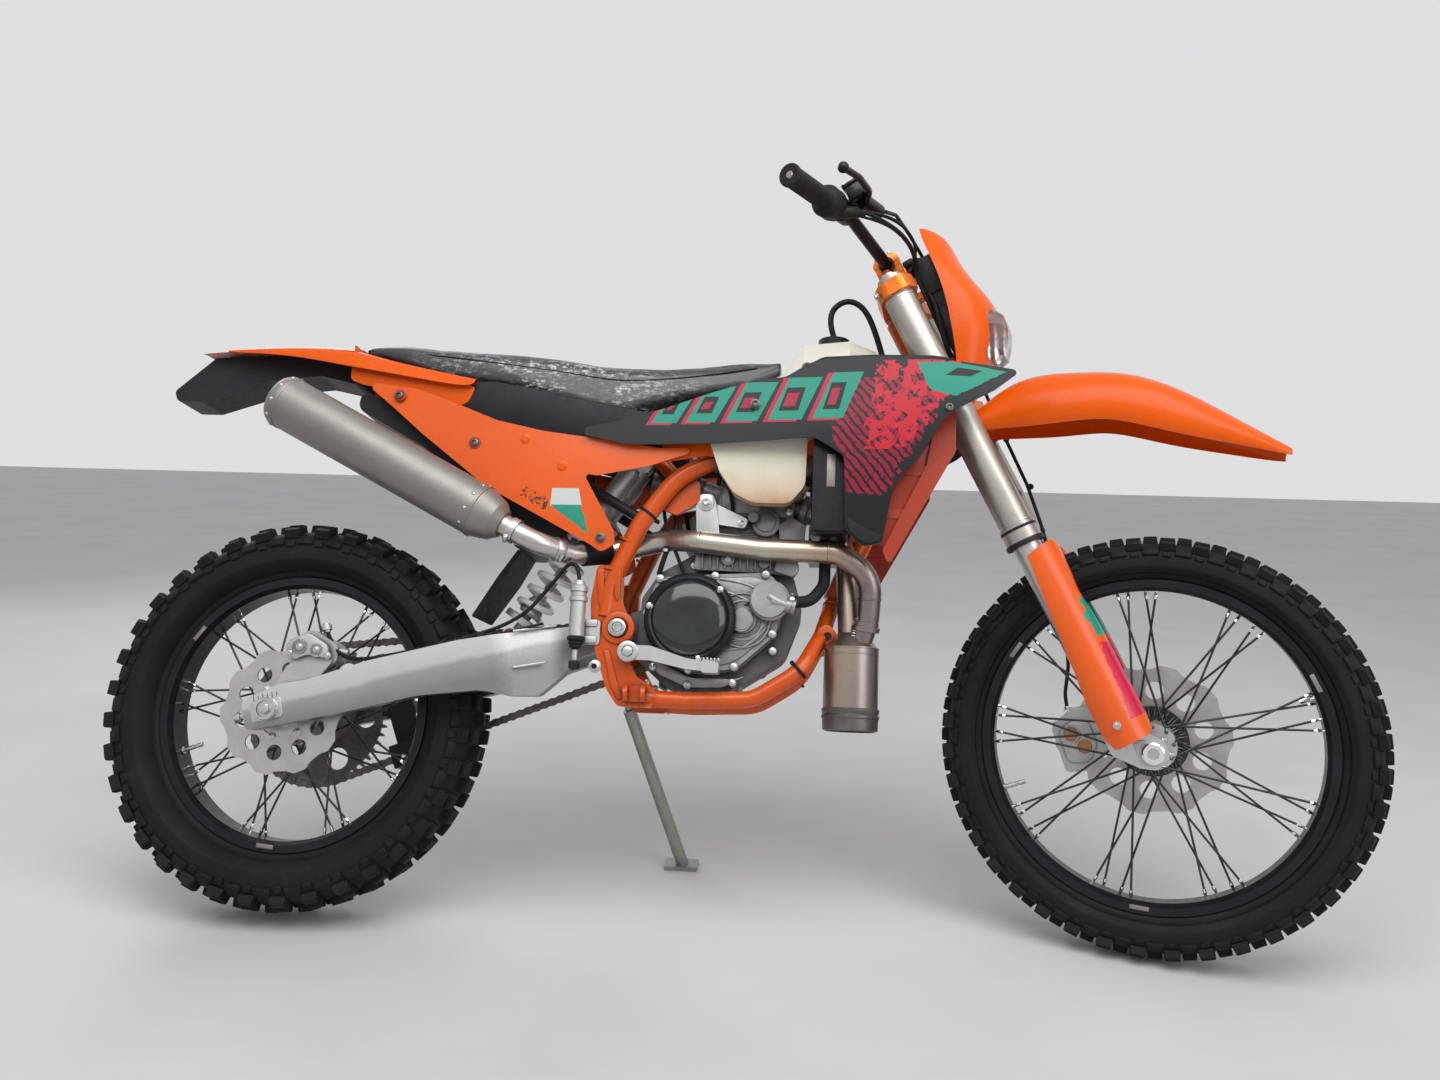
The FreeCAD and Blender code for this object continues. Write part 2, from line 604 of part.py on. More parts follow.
def front_fender():
    """One moulded sheet, narrow between the fork legs and deepest over the wheel."""
    stations = [(1150, 872, 902, 60), (1200, 884, 927, 64), (1262, 888, 972, 68), (1330, 890, 987, 80),
                (1420, 893, 984, 82), (1500, 874, 964, 80), (1560, 858, 933, 74), (1630, 842, 888, 64),
                (1700, 827, 842, 44)]
    wires = []
    for x, edge, crown, half in stations:
        drop = crown - edge
        line = [(-half, edge), (-0.97 * half, edge + 0.55 * drop), (-0.62 * half, crown - 0.10 * drop),
                (0, crown)]
        line = line + [(-y, z) for y, z in line[2::-1]]
        wires.append(arched_section(x, line, edge, crown, half))
    holes = [from_fork(screw) for screw in fender_screws(FENDER_SCREW_R + GAP)]
    return Part.makeLoft(wires, True, False).cut(holes[0].multiFuse(holes[1:]))


def headlight():
    """The lamp mask, a sheet curved round the front of the fork, and the bulging lens in it."""
    rows = [(990, 1228, 1176, 94), (1050, 1240, 1170, 95), (1110, 1234, 1158, 90), (1160, 1200, 1143, 80),
            (1212, 1165, 1121, 62), (1270, 1116, 1098, 30)]
    wires = []
    for z, front, side, half in rows:
        depth = front - side
        line = [(side, -half), (side + 0.62 * depth, -0.82 * half), (front - 0.06 * depth, -0.4 * half),
                (front, 0)]
        line = line + [(x, -y) for x, y in line[2::-1]]
        inner = [(x - PANEL_T * (x - side) / depth, y * (half - PANEL_T) / half) for x, y in line]
        wires.append(sheet_section([vec(x, y, z) for x, y in line], [vec(x, y, z) for x, y in inner]))
    mask = Part.makeLoft(wires, True, False)
    opening_points = [(-56, 1012, 22), (56, 1012, 22), (64, 1104, 22), (-64, 1104, 22)]
    corners = [vec(1100, y, z) for y, z, r in opening_points]
    window = Part.Face(Part.Wire(corner_edges(corners, [22] * 4, True))).extrude(vec(200, 0, 0))
    lens_wires = []
    for x, grow in ((1205, -GAP), (1236, -1.5), (1250, -12), (1256, -30)):
        points = [vec(x, y - math.copysign(-grow, y) * 1.0, z + (-grow if z < 1050 else grow))
                  for y, z, r in opening_points]
        lens_wires.append(Part.Wire(corner_edges(points, [max(22 + grow, 6)] * 4, True)))
    lens = Part.makeLoft(lens_wires, True, True)
    straps = []
    for y in (-LEG_Y, LEG_Y):
        strap = Part.makeCylinder(TUBE_R + 6, 14, vec(CLAMP_OFFSET, y, HEAD_LOW + 16))
        straps.append(from_fork(strap.cut(Part.makeCylinder(TUBE_R + GAP, 20,
                                                            vec(CLAMP_OFFSET, y, HEAD_LOW + 13)))))
    return {"headlight_mask": mask.cut(window).multiFuse(straps), "headlight_lens": lens}


def peg_bracket():
    """A plate on the frame's left side with two ears for a foot peg's pin; the pegs are gone."""
    face_y = FRAME_Y + CRADLE_R + GAP
    low = PEG_PIN[2] - PEG_EAR_R
    bracket = [Part.makeBox(PEG_SPAN, PEG_PIN[1] - PEG_BORE_R - 0.6 - face_y, 2 * PEG_EAR_R,
                            vec(PEG_PIN[0], face_y, low))]
    for x in (PEG_PIN[0], PEG_PIN[0] + PEG_SPAN - PEG_EAR_T):
        bracket.append(Part.makeBox(PEG_EAR_T, PEG_PIN[1] - face_y, 2 * PEG_EAR_R, vec(x, face_y, low)))
        bracket.append(Part.makeCylinder(PEG_EAR_R, PEG_EAR_T, vec(x, *PEG_PIN[1:]), vec(1, 0, 0)))
    room = Part.makeBox(PEG_SPAN, 60, 4 * PEG_EAR_R, vec(PEG_PIN[0], face_y, low - PEG_EAR_R))
    bore = Part.makeCylinder(PEG_BORE_R, 80, vec(PEG_PIN[0] - 20, *PEG_PIN[1:]), vec(1, 0, 0))
    return fused(bracket).common(room).cut(bore)


def spar(side, radius):
    y = side * FRAME_Y
    route = [(1112, side * 16, 992), (985, side * 72, 925), (830, y, 850), (668, y, 768), (606, y, 680),
             (562, y, 575), (556, y, 520)]
    return tube(route, radius, 130)


def main_frame():
    """Twin spars and a down tube from the head, double cradle, and cast plates at the pivot."""
    tubes = []
    for side in (-1, 1):
        y = side * FRAME_Y
        tubes.append(spar(side, SPAR_R))
        cradle = [(944, side * 10, 572), (924, side * 58, 505), (890, y, 440), (812, y, 390), (700, y, 384),
                  (600, y, 386)]
        tubes.append(tube(cradle, CRADLE_R, 70))
        casting = [(540, 606, 8), (532, 545, 30), (536, 500, 30), (548, 452, 30), (568, 398, 14),
                   (588, 370, 12),
                   (650, 370, 12), (650, 400, 12), (618, 420, 20), (598, 455, 20), (606, 500, 20),
                   (584, 545, 30),
                   (584, 606, 8)]
        tubes.append(plate(casting, y - CASTING_HALF, y + CASTING_HALF))
        tubes.append(drum(PIVOT[0], PIVOT[1], y - CASTING_HALF, y + CASTING_HALF, 26))
        tab = [(636, 742, 8), (642, 712, 8), (668, 702, 8), (708, 728, 8), (706, 762, 8), (680, 772, 8)]
        tubes.append(plate(tab, min(side * STAY_Y, side * (STAY_Y + 9)),
                           max(side * STAY_Y, side * (STAY_Y + 9))))
    tubes.append(tube([(1095, 0, 985), (1028, 0, 760), (944, 0, 574)], DOWN_TUBE_R, 400))
    tubes.append(plate([(1104, 950, 6), (1086, 1010, 6), (1010, 960, 30), (1030, 860, 40), (1070, 840, 6)],
                       -10, 10))
    tubes.append(tube([(668, -FRAME_Y, 768), (662, -50, 772), (606, -26, 842), (606, 26, 842), (662, 50, 772),
                       (668, FRAME_Y, 768)], 13, 30))
    head = from_fork(Part.makeCylinder(HEAD_R, HEAD_HIGH - HEAD_LOW, vec(0, 0, HEAD_LOW)))
    tubes.append(head)
    frame = fused(tubes)
    wide = from_fork(Part.makeCylinder(HEAD_R - 7, HEAD_HIGH - HEAD_LOW - 30, vec(0, 0, HEAD_LOW + 15)))
    bore = from_fork(Part.makeCylinder(STEM_R + AXLE_FIT, 400, vec(0, 0, HEAD_LOW - 100)))
    frame = frame.cut(wide).cut(bore)
    return frame.cut(drum(PIVOT[0], PIVOT[1], -200, 200, PIVOT_BOLT_R + GAP))


def subframe():
    pieces = []
    for side in (-1, 1):
        y = side * SUBFRAME_Y
        pieces.append(tube([(706, y, 788), (590, y, 838), (450, y, 866), (280, y, 900), (96, y, 938)],
                           SUBFRAME_R, 300))
        pieces.append(tube([(606, y, 696), (480, y, 768), (300, y, 893)], SUBFRAME_R, 120))
        for start, end in panel_screws(side):
            pieces.append(rod(start, end, SCREW_R))
        pieces.append(Part.makeCylinder(SCREW_R, 34, vec(200, y, 918)))
    for x, z, half in ((290, 898, 72), (110, 935, 72)):
        pieces.append(rod((x, -half, z), (x, half, z), 8))
    return fused(pieces)


def panel_screws(side):
    """Screws from the rear frame out through a side panel."""
    y = side * SUBFRAME_Y
    return [((400, y, 823), (400, side * 127, 823)), ((470, y, 774), (470, side * 134, 774)),
            ((160, y, 924), (160, side * 107, 904))]


def engine():
    pieces = {}
    case = plate([(640, 604, 20), (612, 560, 20), (606, 455, 30), (668, 402, 30), (765, 402, 40),
                  (862, 466, 40),
                  (890, 545, 30), (872, 612, 30), (785, 636, 20), (700, 640, 20)], -62, 62)
    lug = plate([(PIVOT[0] - 25, 500, 24), (PIVOT[0], 527, 10), (660, 560), (660, 440), (PIVOT[0], 473, 10)],
                -58, 58)
    rear = drum(PIVOT[0], PIVOT[1], -58, 58, 25)
    case = fused([case, lug, rear]).cut(drum(PIVOT[0], PIVOT[1], -90, 90, PIVOT_BOLT_R + GAP))
    pieces["crankcase"] = case
    right = plate([(642, 592, 30), (622, 530, 40), (640, 462, 40), (700, 432, 40), (780, 440, 40),
                   (845, 500, 40),
                   (862, 575, 24), (830, 606, 24), (740, 600, 30)], -96, -62 - GAP)
    clutch = drum(700, 525, -122, -90, 66)
    clutch_lid = drum(700, 525, -128, -118, 46)
    pump = drum(834, 556, -124, -90, 30)
    boss = drum(788, 520, -112, -90, 18)
    left = plate([(716, 585, 20), (716, 446, 20), (780, 440, 40), (850, 500, 40), (840, 585, 30)], 62 + GAP,
                 84)
    flywheel = drum(780, 515, 78, 112, 56)
    pieces["engine_covers"] = Part.makeCompound([fused([right, clutch, clutch_lid, pump, boss]),
                                                 fused([left, flywheel])])
    barrel = plate([(738, 641, 6), (742, 712, 10), (862, 712, 10), (852, 641, 6)], -52, 52)
    head = plate([(736, 712, 6), (742, 772, 16), (762, 818, 16), (852, 812, 16), (874, 770, 16),
                  (870, 712, 6)], -58, 58)
    port = rod((860, -14, 742), (900, -14, 728), 24)
    inlet = rod((742, 0, 752), (700, 0, 764), 24)
    reach = STAY_Y - 6 - 2 * GAP
    bosses = [drum(x, z, -reach, reach, 9) for x, z in ((782, 696), (800, 706))]
    pieces["cylinder"] = fused([barrel, head, port, inlet] + bosses)
    stay = [(658, 722, 6), (690, 750, 8), (716, 733, 6), (744, 722, 6), (792, 700, 6), (786, 684, 6),
            (736, 690, 10),
            (724, 668, 6), (708, 716, 6), (668, 706, 6)]
    stays = [plate(stay, GAP - STAY_Y, GAP + 6 - STAY_Y)]
    stays.append(mirrored(stays[0]))
    pieces["head_stays"] = Part.makeCompound(stays)
    sprocket = toothed_plate(SPROCKET_SHAFT[0], SPROCKET_SHAFT[1], CHAIN_Y, FRONT_TEETH, 11)
    shaft = drum(SPROCKET_SHAFT[0], SPROCKET_SHAFT[1], 62 + GAP, CHAIN_Y + 8, 11)
    pieces["front_sprocket"] = fused([sprocket, shaft])
    return pieces


def exhaust():
    pieces = {}
    can = Part.makeCylinder(46, 132, vec(975, -68, 352))
    neck = Part.makeCone(46, 24, 26, vec(975, -68, 484))
    port_pipe = tube([(900.3, -14, 727.9), (944, -14, 712.6), (966, -48, 630), (972, -62, 508)], 20, 60)
    up_pipe = tube([(984, -78, 478), (1000, -92, 530), (1004, -106, 602), (950, -116, 640), (820, -116, 642),
                    (706, -98, 656), (650, -60, 664), (560, -56, 642), (490, -100, 626), (433.4, -148, 636.6),
                    (364, -148, 672.2)], 19, 60)
    pieces["exhaust_pipe"] = fused([can, neck, port_pipe, up_pipe])
    axis = vec(-35 - 380, 0, 877 - 664)
    sections = []
    for share, radius in ((0.0, 42), (0.03, 47), (0.9, 46), (0.97, 36), (1.0, 24)):
        sections.append(Part.Wire(Part.Circle(vec(380, -148, 664).add(axis * (1 - share)), axis,
                                              radius).toShape()))
    body = Part.makeLoft(sections, True, True)
    outlet = Part.makeCylinder(17, 60, vec(-35, -148, 877).sub(axis * (30 / axis.Length)), axis)
    inlet = Part.makeCylinder(19 + GAP, 24, vec(380, -148, 664).sub(axis * (4 / axis.Length)), axis)
    pieces["silencer"] = body.cut(outlet).cut(inlet)
    return pieces


def swingarm():
    pieces = {}
    upper = [(-44, 24, 12), (25, 38, 60), (68, 34, 60), (177, 42, 200), (334, 41, 200), (422, 34, 100),
             (520, 26, 60),
             (SWINGARM_L, 27, 27), (SWINGARM_L + 26, 0, 26), (SWINGARM_L, -27, 27)]
    lower_right = [(524, -28, 30), (492, -54, 30), (448, -80, 16), (402, -70, 60), (357, -50, 80),
                   (253, -35, 200),
                   (127, -34, 200), (-44, -27, 12)]
    lower_left = [(524, -28, 30), (402, -34, 100), (253, -35, 200), (127, -34, 200), (-44, -27, 12)]
    plan = [(-60, -ARM_OUT), (400, -ARM_OUT, 80), (520, -80, 80), (SWINGARM_L + 60, -80),
            (SWINGARM_L + 60, -60),
            (500, -60, 60), (400, -ARM_IN, 40), (-60, -ARM_IN)]
    right = plate(upper + lower_right, -ARM_OUT, -60).common(plan_plate(plan, -200, 200))
    left = mirrored(plate(upper + lower_left, -ARM_OUT, -60).common(plan_plate(plan, -200, 200)))
    yoke = plate([(364, -26, 12), (364, 34, 14), (430, 30, 14), (430, -26, 12)], -ARM_IN - 6, ARM_IN + 6)
    mounts = [plate([(384, 28), (388, 60, 14), (412, 60, 14), (418, 28)], y - 5, y + 5) for y in (-19, 19)]
    arm = fused([right, left, yoke] + mounts)
    slots = [plate([(-22, -REAR_AXLE_R - GAP, 10), (-22, REAR_AXLE_R + GAP, 10), (22, REAR_AXLE_R + GAP, 10),
                    (22, -REAR_AXLE_R - GAP, 10)], y - 40, y + 40) for y in (-ARM_OUT, ARM_OUT)]
    arm = arm.cut(slots[0]).cut(slots[1])
    arm = arm.cut(drum(SWINGARM_L, 0, -200, 200, PIVOT_BOLT_R + GAP)).cut(drum(400, 48, -60, 60, 5.3))
    pieces["swingarm"] = from_arm(arm)

    axle = drum(0, 0, -ARM_OUT - 8, ARM_OUT + 8, REAR_AXLE_R)
    head = drum(0, 0, -ARM_OUT - 12, -ARM_OUT - GAP, 19)
    nut = drum(0, 0, ARM_OUT + GAP, ARM_OUT + 16, 17)
    pieces["rear_axle"] = from_arm(fused([axle, head, nut]))
    bolt = drum(PIVOT[0], PIVOT[1], -FRAME_Y - 16, FRAME_Y + 16, PIVOT_BOLT_R)
    cap = drum(PIVOT[0], PIVOT[1], -FRAME_Y - 20, -FRAME_Y - 12 - GAP, 15)
    nut = drum(PIVOT[0], PIVOT[1], FRAME_Y + 12 + GAP, FRAME_Y + 20, 15)
    pieces["pivot_bolt"] = fused([bolt, cap, nut])

    carrier = fused([drum(0, 0, -ARM_IN + GAP, -ARM_IN + 7.5, 26),
                     plate([(10, -20, 6), (58, 20, 10), (112, 62, 12), (96, 96, 10), (30, 70, 10),
                            (-14, 22, 6)],
                           -ARM_IN + GAP, -ARM_IN + 7.5)]).cut(drum(0, 0, -120, -60, REAR_AXLE_R + GAP))
    body = plate([(34, 66, 10), (28, 112, 16), (82, 124, 16), (122, 84, 16), (112, 54, 10), (70, 70, 12)],
                 -ARM_IN + 6, -52)
    slot = drum(0, 0, REAR_DISC_Y - 1.6, REAR_DISC_Y + DISC_T + 1.6, REAR_DISC_R + 3)
    pieces["rear_caliper"] = from_arm(fused([carrier, body]).cut(slot))

    along = math.degrees(math.atan2(chain_line()[4].x, -chain_line()[4].z))
    guide = Part.makeBox(66, ARM_IN - GAP - CHAIN_Y + 13.5, 42, vec(-33, CHAIN_Y - 13.5, -18))
    hanger = Part.makeBox(46, ARM_IN - GAP - CHAIN_Y - 9, 124, vec(-23, CHAIN_Y + 9, -18))
    tunnel = Part.makeBox(100, 16.4, 22, vec(-50, CHAIN_Y - 8.2, -11))
    guide = guide.fuse(hanger).cut(tunnel)
    guide.Placement = Placement(chain_point(182), Rotation(vec(0, 1, 0), -along))
    pieces["chain_guide"] = guide
    return pieces


def chain_point(x):
    """A point of the chain's lower run at a distance ahead of the rear axle."""
    rear, front, along, above, below = chain_line()
    start = rear.add(below * REAR_SPROCKET_R)
    run = front.add(below * FRONT_SPROCKET_R).sub(start)
    return start.add(run * ((x - start.x) / run.x))


def shock():
    """A damper with its spring and reservoir, from the swingarm to the frame's cross tube."""
    low = arm_point(400, 0, 48)
    high = vec(592, 0, 814)
    run = high.sub(low)
    length = run.Length
    run.normalize()
    eye_low = drum(low.x, low.z, -13.5, 13.5, 13).cut(drum(low.x, low.z, -20, 20, 5.3))
    shaft = Part.makeCylinder(8, length * 0.45, low.add(run * 10), run)
    cup = Part.makeCylinder(36, 12, low.add(run * 26), run)
    body = Part.makeCylinder(24, length * 0.55 - 12, low.add(run * (length * 0.45)), run)
    collar = Part.makeCylinder(37, 14, low.add(run * (length * 0.62)), run)
    eye_high = drum(high.x, high.z, -13, 13, 17)
    side = vec(0, -46, 0)
    bottle = Part.makeCylinder(18, 110, high.sub(run * 140).add(side), run)
    bridge = rod(tuple(high.sub(run * 44)), tuple(high.sub(run * 44).add(side)), 11)
    bolt = drum(low.x, low.z, -30, 30, 5)
    return {"shock_body": fused([eye_low, shaft, cup, body, collar, eye_high, bottle, bridge]),
            "shock_spring": spring(low.add(run * (26 + 12 + GAP)), run, length * 0.62 - 38 - 2 * GAP),
            "shock_bolt": bolt}


def spring(start, along, length):
    """A coil spring closed between its two seats."""
    turns = 6.5
    wire_r = 5.5
    coil_r = 29.0
    helix = Part.makeHelix((length - 2 * wire_r) / turns, length - 2 * wire_r, coil_r)
    section = Part.Wire(Part.Circle(vec(coil_r, 0, 0), vec(0, 1, 0), wire_r).toShape())
    coil = Part.Wire(helix).makePipeShell([section], True, True)
    turn = Rotation(vec(0, 0, 1), along)
    coil.Placement = Placement(start.add(along * wire_r), turn)
    return coil


def bodywork():
    """Seat, tank and the moulded panels."""
    pieces = {}
    seat = [(66, 984, 1012, 72, 80, 12), (180, 959, 1010, 92, 92, 18), (300, 934, 1002, 100, 94, 22),
            (450, 897, 990, 108, 95, 26), (544, 873, 980, 108, 90, 26), (627, 897, 980, 98, 82, 24),
            (721, 930, 994, 76, 66, 20), (796, 955, 1010, 62, 54, 18), (842, 984, 1018, 50, 44, 12)]
    cushion = Part.makeLoft([oval_section(*s) for s in seat], True, False)

    top = [(716, 872, 912, 60, 60, 14), (796, 906, 938, 100, 70, 14), (846, 926, 976, 146, 70, 18),
           (880, 940, 1030, 156, 70, 18), (960, 978, 1040, 150, 66, 18), (1010, 1008, 1026, 70, 52, 8)]
    upper = Part.makeLoft([oval_section(*s) for s in top], True, True)
    lobe = plate([(730, 905, 20), (724, 820, 30), (742, 770, 30), (768, 732, 24), (800, 716, 30),
                  (862, 716, 24),
                  (888, 748, 30), (890, 846, 20), (955, 866, 30), (975, 950, 30), (930, 975, 30),
                  (800, 925, 40)],
                 FRAME_Y + SPAR_R + GAP, 146)
    neck = Part.makeCylinder(24, 40, vec(935, 0, 1002))
    pad = Part.makeCylinder(14, 60, vec(770, 0, 904))
    screws = [drum(*TANK_SCREW, -175, -140, SCREW_R), drum(*TANK_SCREW, 140, 175, SCREW_R)]
    pieces["fuel_tank"] = fused([upper, lobe, mirrored(lobe), neck, pad] + screws)
    socket = Part.makeCylinder(14 + GAP, 60 + GAP, vec(770, 0, 904))
    pieces["fuel_cap"] = Part.makeCylinder(29, 22, vec(935, 0, 1042 + GAP))

    outline = [(84, 934, 8), (185, 920, 60), (262, 892, 60), (345, 858, 60), (430, 838, 60), (542, 822, 60),
               (640, 808, 60), (722, 812, 8), (620, 776, 20), (532, 758, 30), (508, 762, 20), (566, 664, 20),
               (570, 640, 12), (546, 626, 12), (528, 638, 16), (335, 738, 200), (212, 831, 60), (148, 884, 30)]
    panel = standing_skin([(600, [(60, -104), (300, -112), (550, -128), (740, -132)]),
                           (760, [(60, -100), (300, -118), (550, -138), (740, -138)]),
                           (960, [(60, -92), (300, -108), (550, -126), (740, -136)])], PANEL_T)
    panel = panel.common(plate(outline, -260, 0))
    for start, end in panel_screws(-1):
        panel = panel.cut(rod(start, end, SCREW_R + GAP))
    pieces["side_panel_right"] = panel
    pieces["side_panel_left"] = mirrored(pieces["side_panel_right"])

    outline = [(478, 834, 8), (584, 810, 60), (729, 812, 60), (900, 822, 30), (950, 790, 20), (954, 668, 10),
               (984, 640, 16), (1014, 646, 10), (1030, 737, 40), (1073, 790, 40), (1109, 849, 40),
               (1127, 866, 30),
               (1191, 901, 40), (1236, 938, 6), (1127, 952, 100), (968, 964, 100), (894, 958, 60),
               (850, 930, 30),
               (799, 926, 40), (726, 904, 60), (640, 874, 60), (560, 852, 60)]
    skin = standing_skin([(640, [(460, -142), (700, -156), (950, -176), (1100, -184), (1250, -186)]),
                          (800, [(460, -146), (700, -162), (950, -190), (1100, -206), (1250, -206)]),
                          (970, [(460, -134), (700, -150), (950, -182), (1100, -202), (1250, -196)])], PANEL_T)
    skin = skin.common(plate(outline, -300, 0)).cut(drum(*TANK_SCREW, -260, 0, SCREW_R + GAP))
    pieces["shroud_right"] = skin.cut(drum(*GUARD_SCREW, -260, 0, SCREW_R + GAP))
    pieces["shroud_left"] = mirrored(pieces["shroud_right"])

    radiator = plate([(900, 668, 8), (900, 838, 8), (965, 838, 8), (965, 668, 8)], -166, -74)
    ear = Part.makeBox(22, 16, 70, vec(914, -94, 830)).cut(spar(-1, SPAR_R + GAP))
    radiator = radiator.fuse(min(ear.Solids, key=lambda solid: solid.BoundBox.ZMin))
    pieces["radiators"] = Part.makeCompound([radiator, mirrored(radiator)])
    guard = plate([(1134, 806, 10), (1134, 880, 8), (1104, 880, 8), (1086, 780, 20), (1016, 636, 8),
                   (1026, 610, 8)],
                  -174, -164)
    arms = [plate([(972, z, 2), (reach, z, 2), (reach, z + 16, 2), (972, z + 16, 2)], -170, -160)
            for z, reach in ((690, 1056), (764, 1092))]
    grille = plate([(965 + GAP, 668, 2), (977, 668, 2), (977, 838, 2), (965 + GAP, 838, 2)], -166, -74)
    slots = [Part.makeBox(20, 78, 12, vec(960, -159, 678 + 19 * i)) for i in range(8)]
    grille = grille.cut(slots[0].multiFuse(slots[1:]))
    guard = fused([guard, grille, drum(*GUARD_SCREW, -208, -165, SCREW_R)] + arms)
    pieces["radiator_guards"] = Part.makeCompound([guard, mirrored(guard)])

    wires = []
    for x, edge, crown, half in ((-248, 996, 1003, 52), (-200, 994, 1010, 68), (-100, 996, 1016, 84),
                                 (60, 992, 1014, 92)):
        line = [(-half, edge), (-0.6 * half, crown - 0.25 * (crown - edge)), (0, crown)]
        line = line + [(-y, z) for y, z in line[1::-1]]
        wires.append(arched_section(x, line, edge, crown, half))
    rear = Part.makeLoft(wires, True, False)
    wires = []
    for x, edge, crown, half in ((60, 958, 978, 92), (170, 936, 955, 97), (290, 910, 928, 98)):
        line = [(-half, edge), (-0.9 * half, edge + 0.6 * (crown - edge)), (0, crown)]
        line = line + [(-y, z) for y, z in line[1::-1]]
        wires.append(arched_section(x, line, edge, crown, half))
    front = Part.makeLoft(wires, True, False)
    riser = Part.makeBox(PANEL_T, 168, 46, vec(60 - PANEL_T, -84, 960))
    pads = [Part.makeCylinder(9, 34, vec(x, y, z)) for x, z in ((120, 950), (240, 925)) for y in (-40, 40)]
    fender = fused([rear, front, riser] + pads)
    for y in (-SUBFRAME_Y, SUBFRAME_Y):
        fender = fender.cut(Part.makeCylinder(SCREW_R + GAP, 50, vec(200, y, 910)))
    pieces["rear_fender"] = fender
    sockets = [Part.makeCylinder(9 + GAP, 34 + GAP, pad_at.BoundBox.Center.sub(vec(0, 0,
                                                                                   17))) for pad_at in pads]
    pieces["seat"] = cushion.cut(socket.multiFuse(sockets))

    pieces["tail_piece"] = plate([(-228, 993, 10), (-300, 925, 10), (-292, 906, 8), (-246, 906, 20),
                                  (-120, 950, 40),
                                  (-20, 962, 20), (50, 946, 10), (60 - PANEL_T - GAP, 968, 6), (54, 999, 10),
                                  (-60, 1003, 20)], -40, 40)
    pieces["airbox"] = plate([(70, 890, 20), (74, 918, 8), (300, 882, 60), (440, 850, 30), (486, 838, 16),
                              (490, 790, 40),
                              (440, 700, 30), (424, 640, 12), (384, 640, 12), (330, 720, 80), (200, 820, 80)],
                              -SUBFRAME_IN, SUBFRAME_IN)
    pieces["mud_flap"] = plate([(384, 639), (391, 639), (366, 590, 60), (318, 516, 4), (311, 518, 4),
                                (352, 590, 60)], -56, 56)
    return pieces


def controls_on_frame():
    """Brake pedal, its master cylinder, gear lever and coolant hoses."""
    pieces = {}
    boss = drum(604, 459, -138, -FRAME_Y - 12 - GAP, 15)
    pedal = plate([(592, 446, 8), (592, 470, 8), (640, 470, 20), (700, 452, 20), (752, 444, 6), (752, 430, 6),
                   (700, 434, 20), (640, 446, 20)], -138, -126)
    pad = plate([(728, 428, 4), (728, 450, 4), (756, 446, 4), (756, 428, 4)], -152, -112)
    pieces["brake_pedal"] = fused([boss, pedal, pad])
    body = Part.makeCylinder(13, 74, vec(514, -128, 482))
    rod_end = Part.makeCylinder(5, 50, vec(514, -128, 432))
    ear = plate([(505, 470, 6), (505, 512, 6), (552, 512, 6), (552, 470, 6)], -119, -FRAME_Y - 12 - GAP)
    pieces["rear_master_cylinder"] = fused([body, rod_end, ear])
    shaft = drum(700, 452, 62 + GAP, 140, 8)
    lever = plate([(690, 444, 6), (690, 462, 8), (770, 470, 20), (822, 462, 6), (822, 450, 6), (770, 456, 20)],
                  128, 138)
    tip = drum(818, 456, 138, 162, 8)
    pieces["gear_lever"] = fused([shaft, lever, tip])
    lower = tube([(926, -84.5, 667.6), (926, -84.5, 590), (902, -106, 556), (864.4, -106, 556)], 10, 30)
    pieces["coolant_hose"] = lower
    return pieces


def side_stand():
    """A leg with a pivot eye at the frame and a foot plate that lies flat on the ground."""
    pivot = vec(*STAND_PIVOT)
    axis = vec(*STAND_AXIS).normalize()
    upward = UPRIGHT.multVec(vec(0, 0, 1))
    sole_z = (REAR_LOW - upward.x * STAND_FOOT[0] - upward.y * STAND_FOOT[1]) / upward.z
    ankle = vec(STAND_FOOT[0], STAND_FOOT[1], sole_z).add(upward * FOOT_T)
    run = ankle.sub(pivot).normalize()
    leg = Part.makeCylinder(STAND_R, ankle.sub(pivot).Length - 30, pivot.add(run * 30), run)
    neck = Part.makeCylinder(7, 30, pivot.add(run * 12), run)
    eye = Part.makeCylinder(18, 16, pivot.sub(axis * 8), axis)
    foot = Part.makeBox(64, 44, FOOT_T, vec(-34, -20, -FOOT_T))
    foot.Placement = Placement(ankle, UPRIGHT)
    pin = Part.makeCylinder(8 + AXLE_FIT, 60, pivot.sub(axis * 30), axis)
    return fused([leg, neck, eye, foot]).cut(pin)


def stand_bracket():
    """The pin and its seat on the frame's left casting that carry the stand."""
    pivot = vec(*STAND_PIVOT)
    axis = vec(*STAND_AXIS).normalize()
    pin = Part.makeCylinder(8, 42, pivot.sub(axis * 26), axis)
    head = Part.makeCylinder(11, 5, pivot.add(axis * 12), axis)
    seat = Part.makeCylinder(17, 12, pivot.sub(axis * 21), axis)
    room = Part.makeBox(200, 200, 200, vec(STAND_PIVOT[0] - 100, FRAME_Y + CASTING_HALF + GAP,
                                           STAND_PIVOT[2] - 100))
    return fused([pin, head, seat]).common(room)


def brake_hose():
    """The front brake hose from the lever housing to the caliper, held at the fork."""
    top = BAR_T + 29
    points = [(74, -250, top - 20), (84, -170, top), (86, -80, top), (86, 20, top), (86, 64, top - 36),
              (86, 64, top - 134), (80, 66, top - 224), (72, 78, HEAD_LOW), (66, 84, HEAD_LOW - 90),
              (62, 84, TUBE_BOTTOM + 115), (52, 70, TUBE_BOTTOM + 35), (36, 68, TUBE_BOTTOM - 45),
              (14, 66, 250), (-20, 72, 170), (-48, 82, 128), (-56, 84, 103)]
    return tube(points, 3.2, 60)


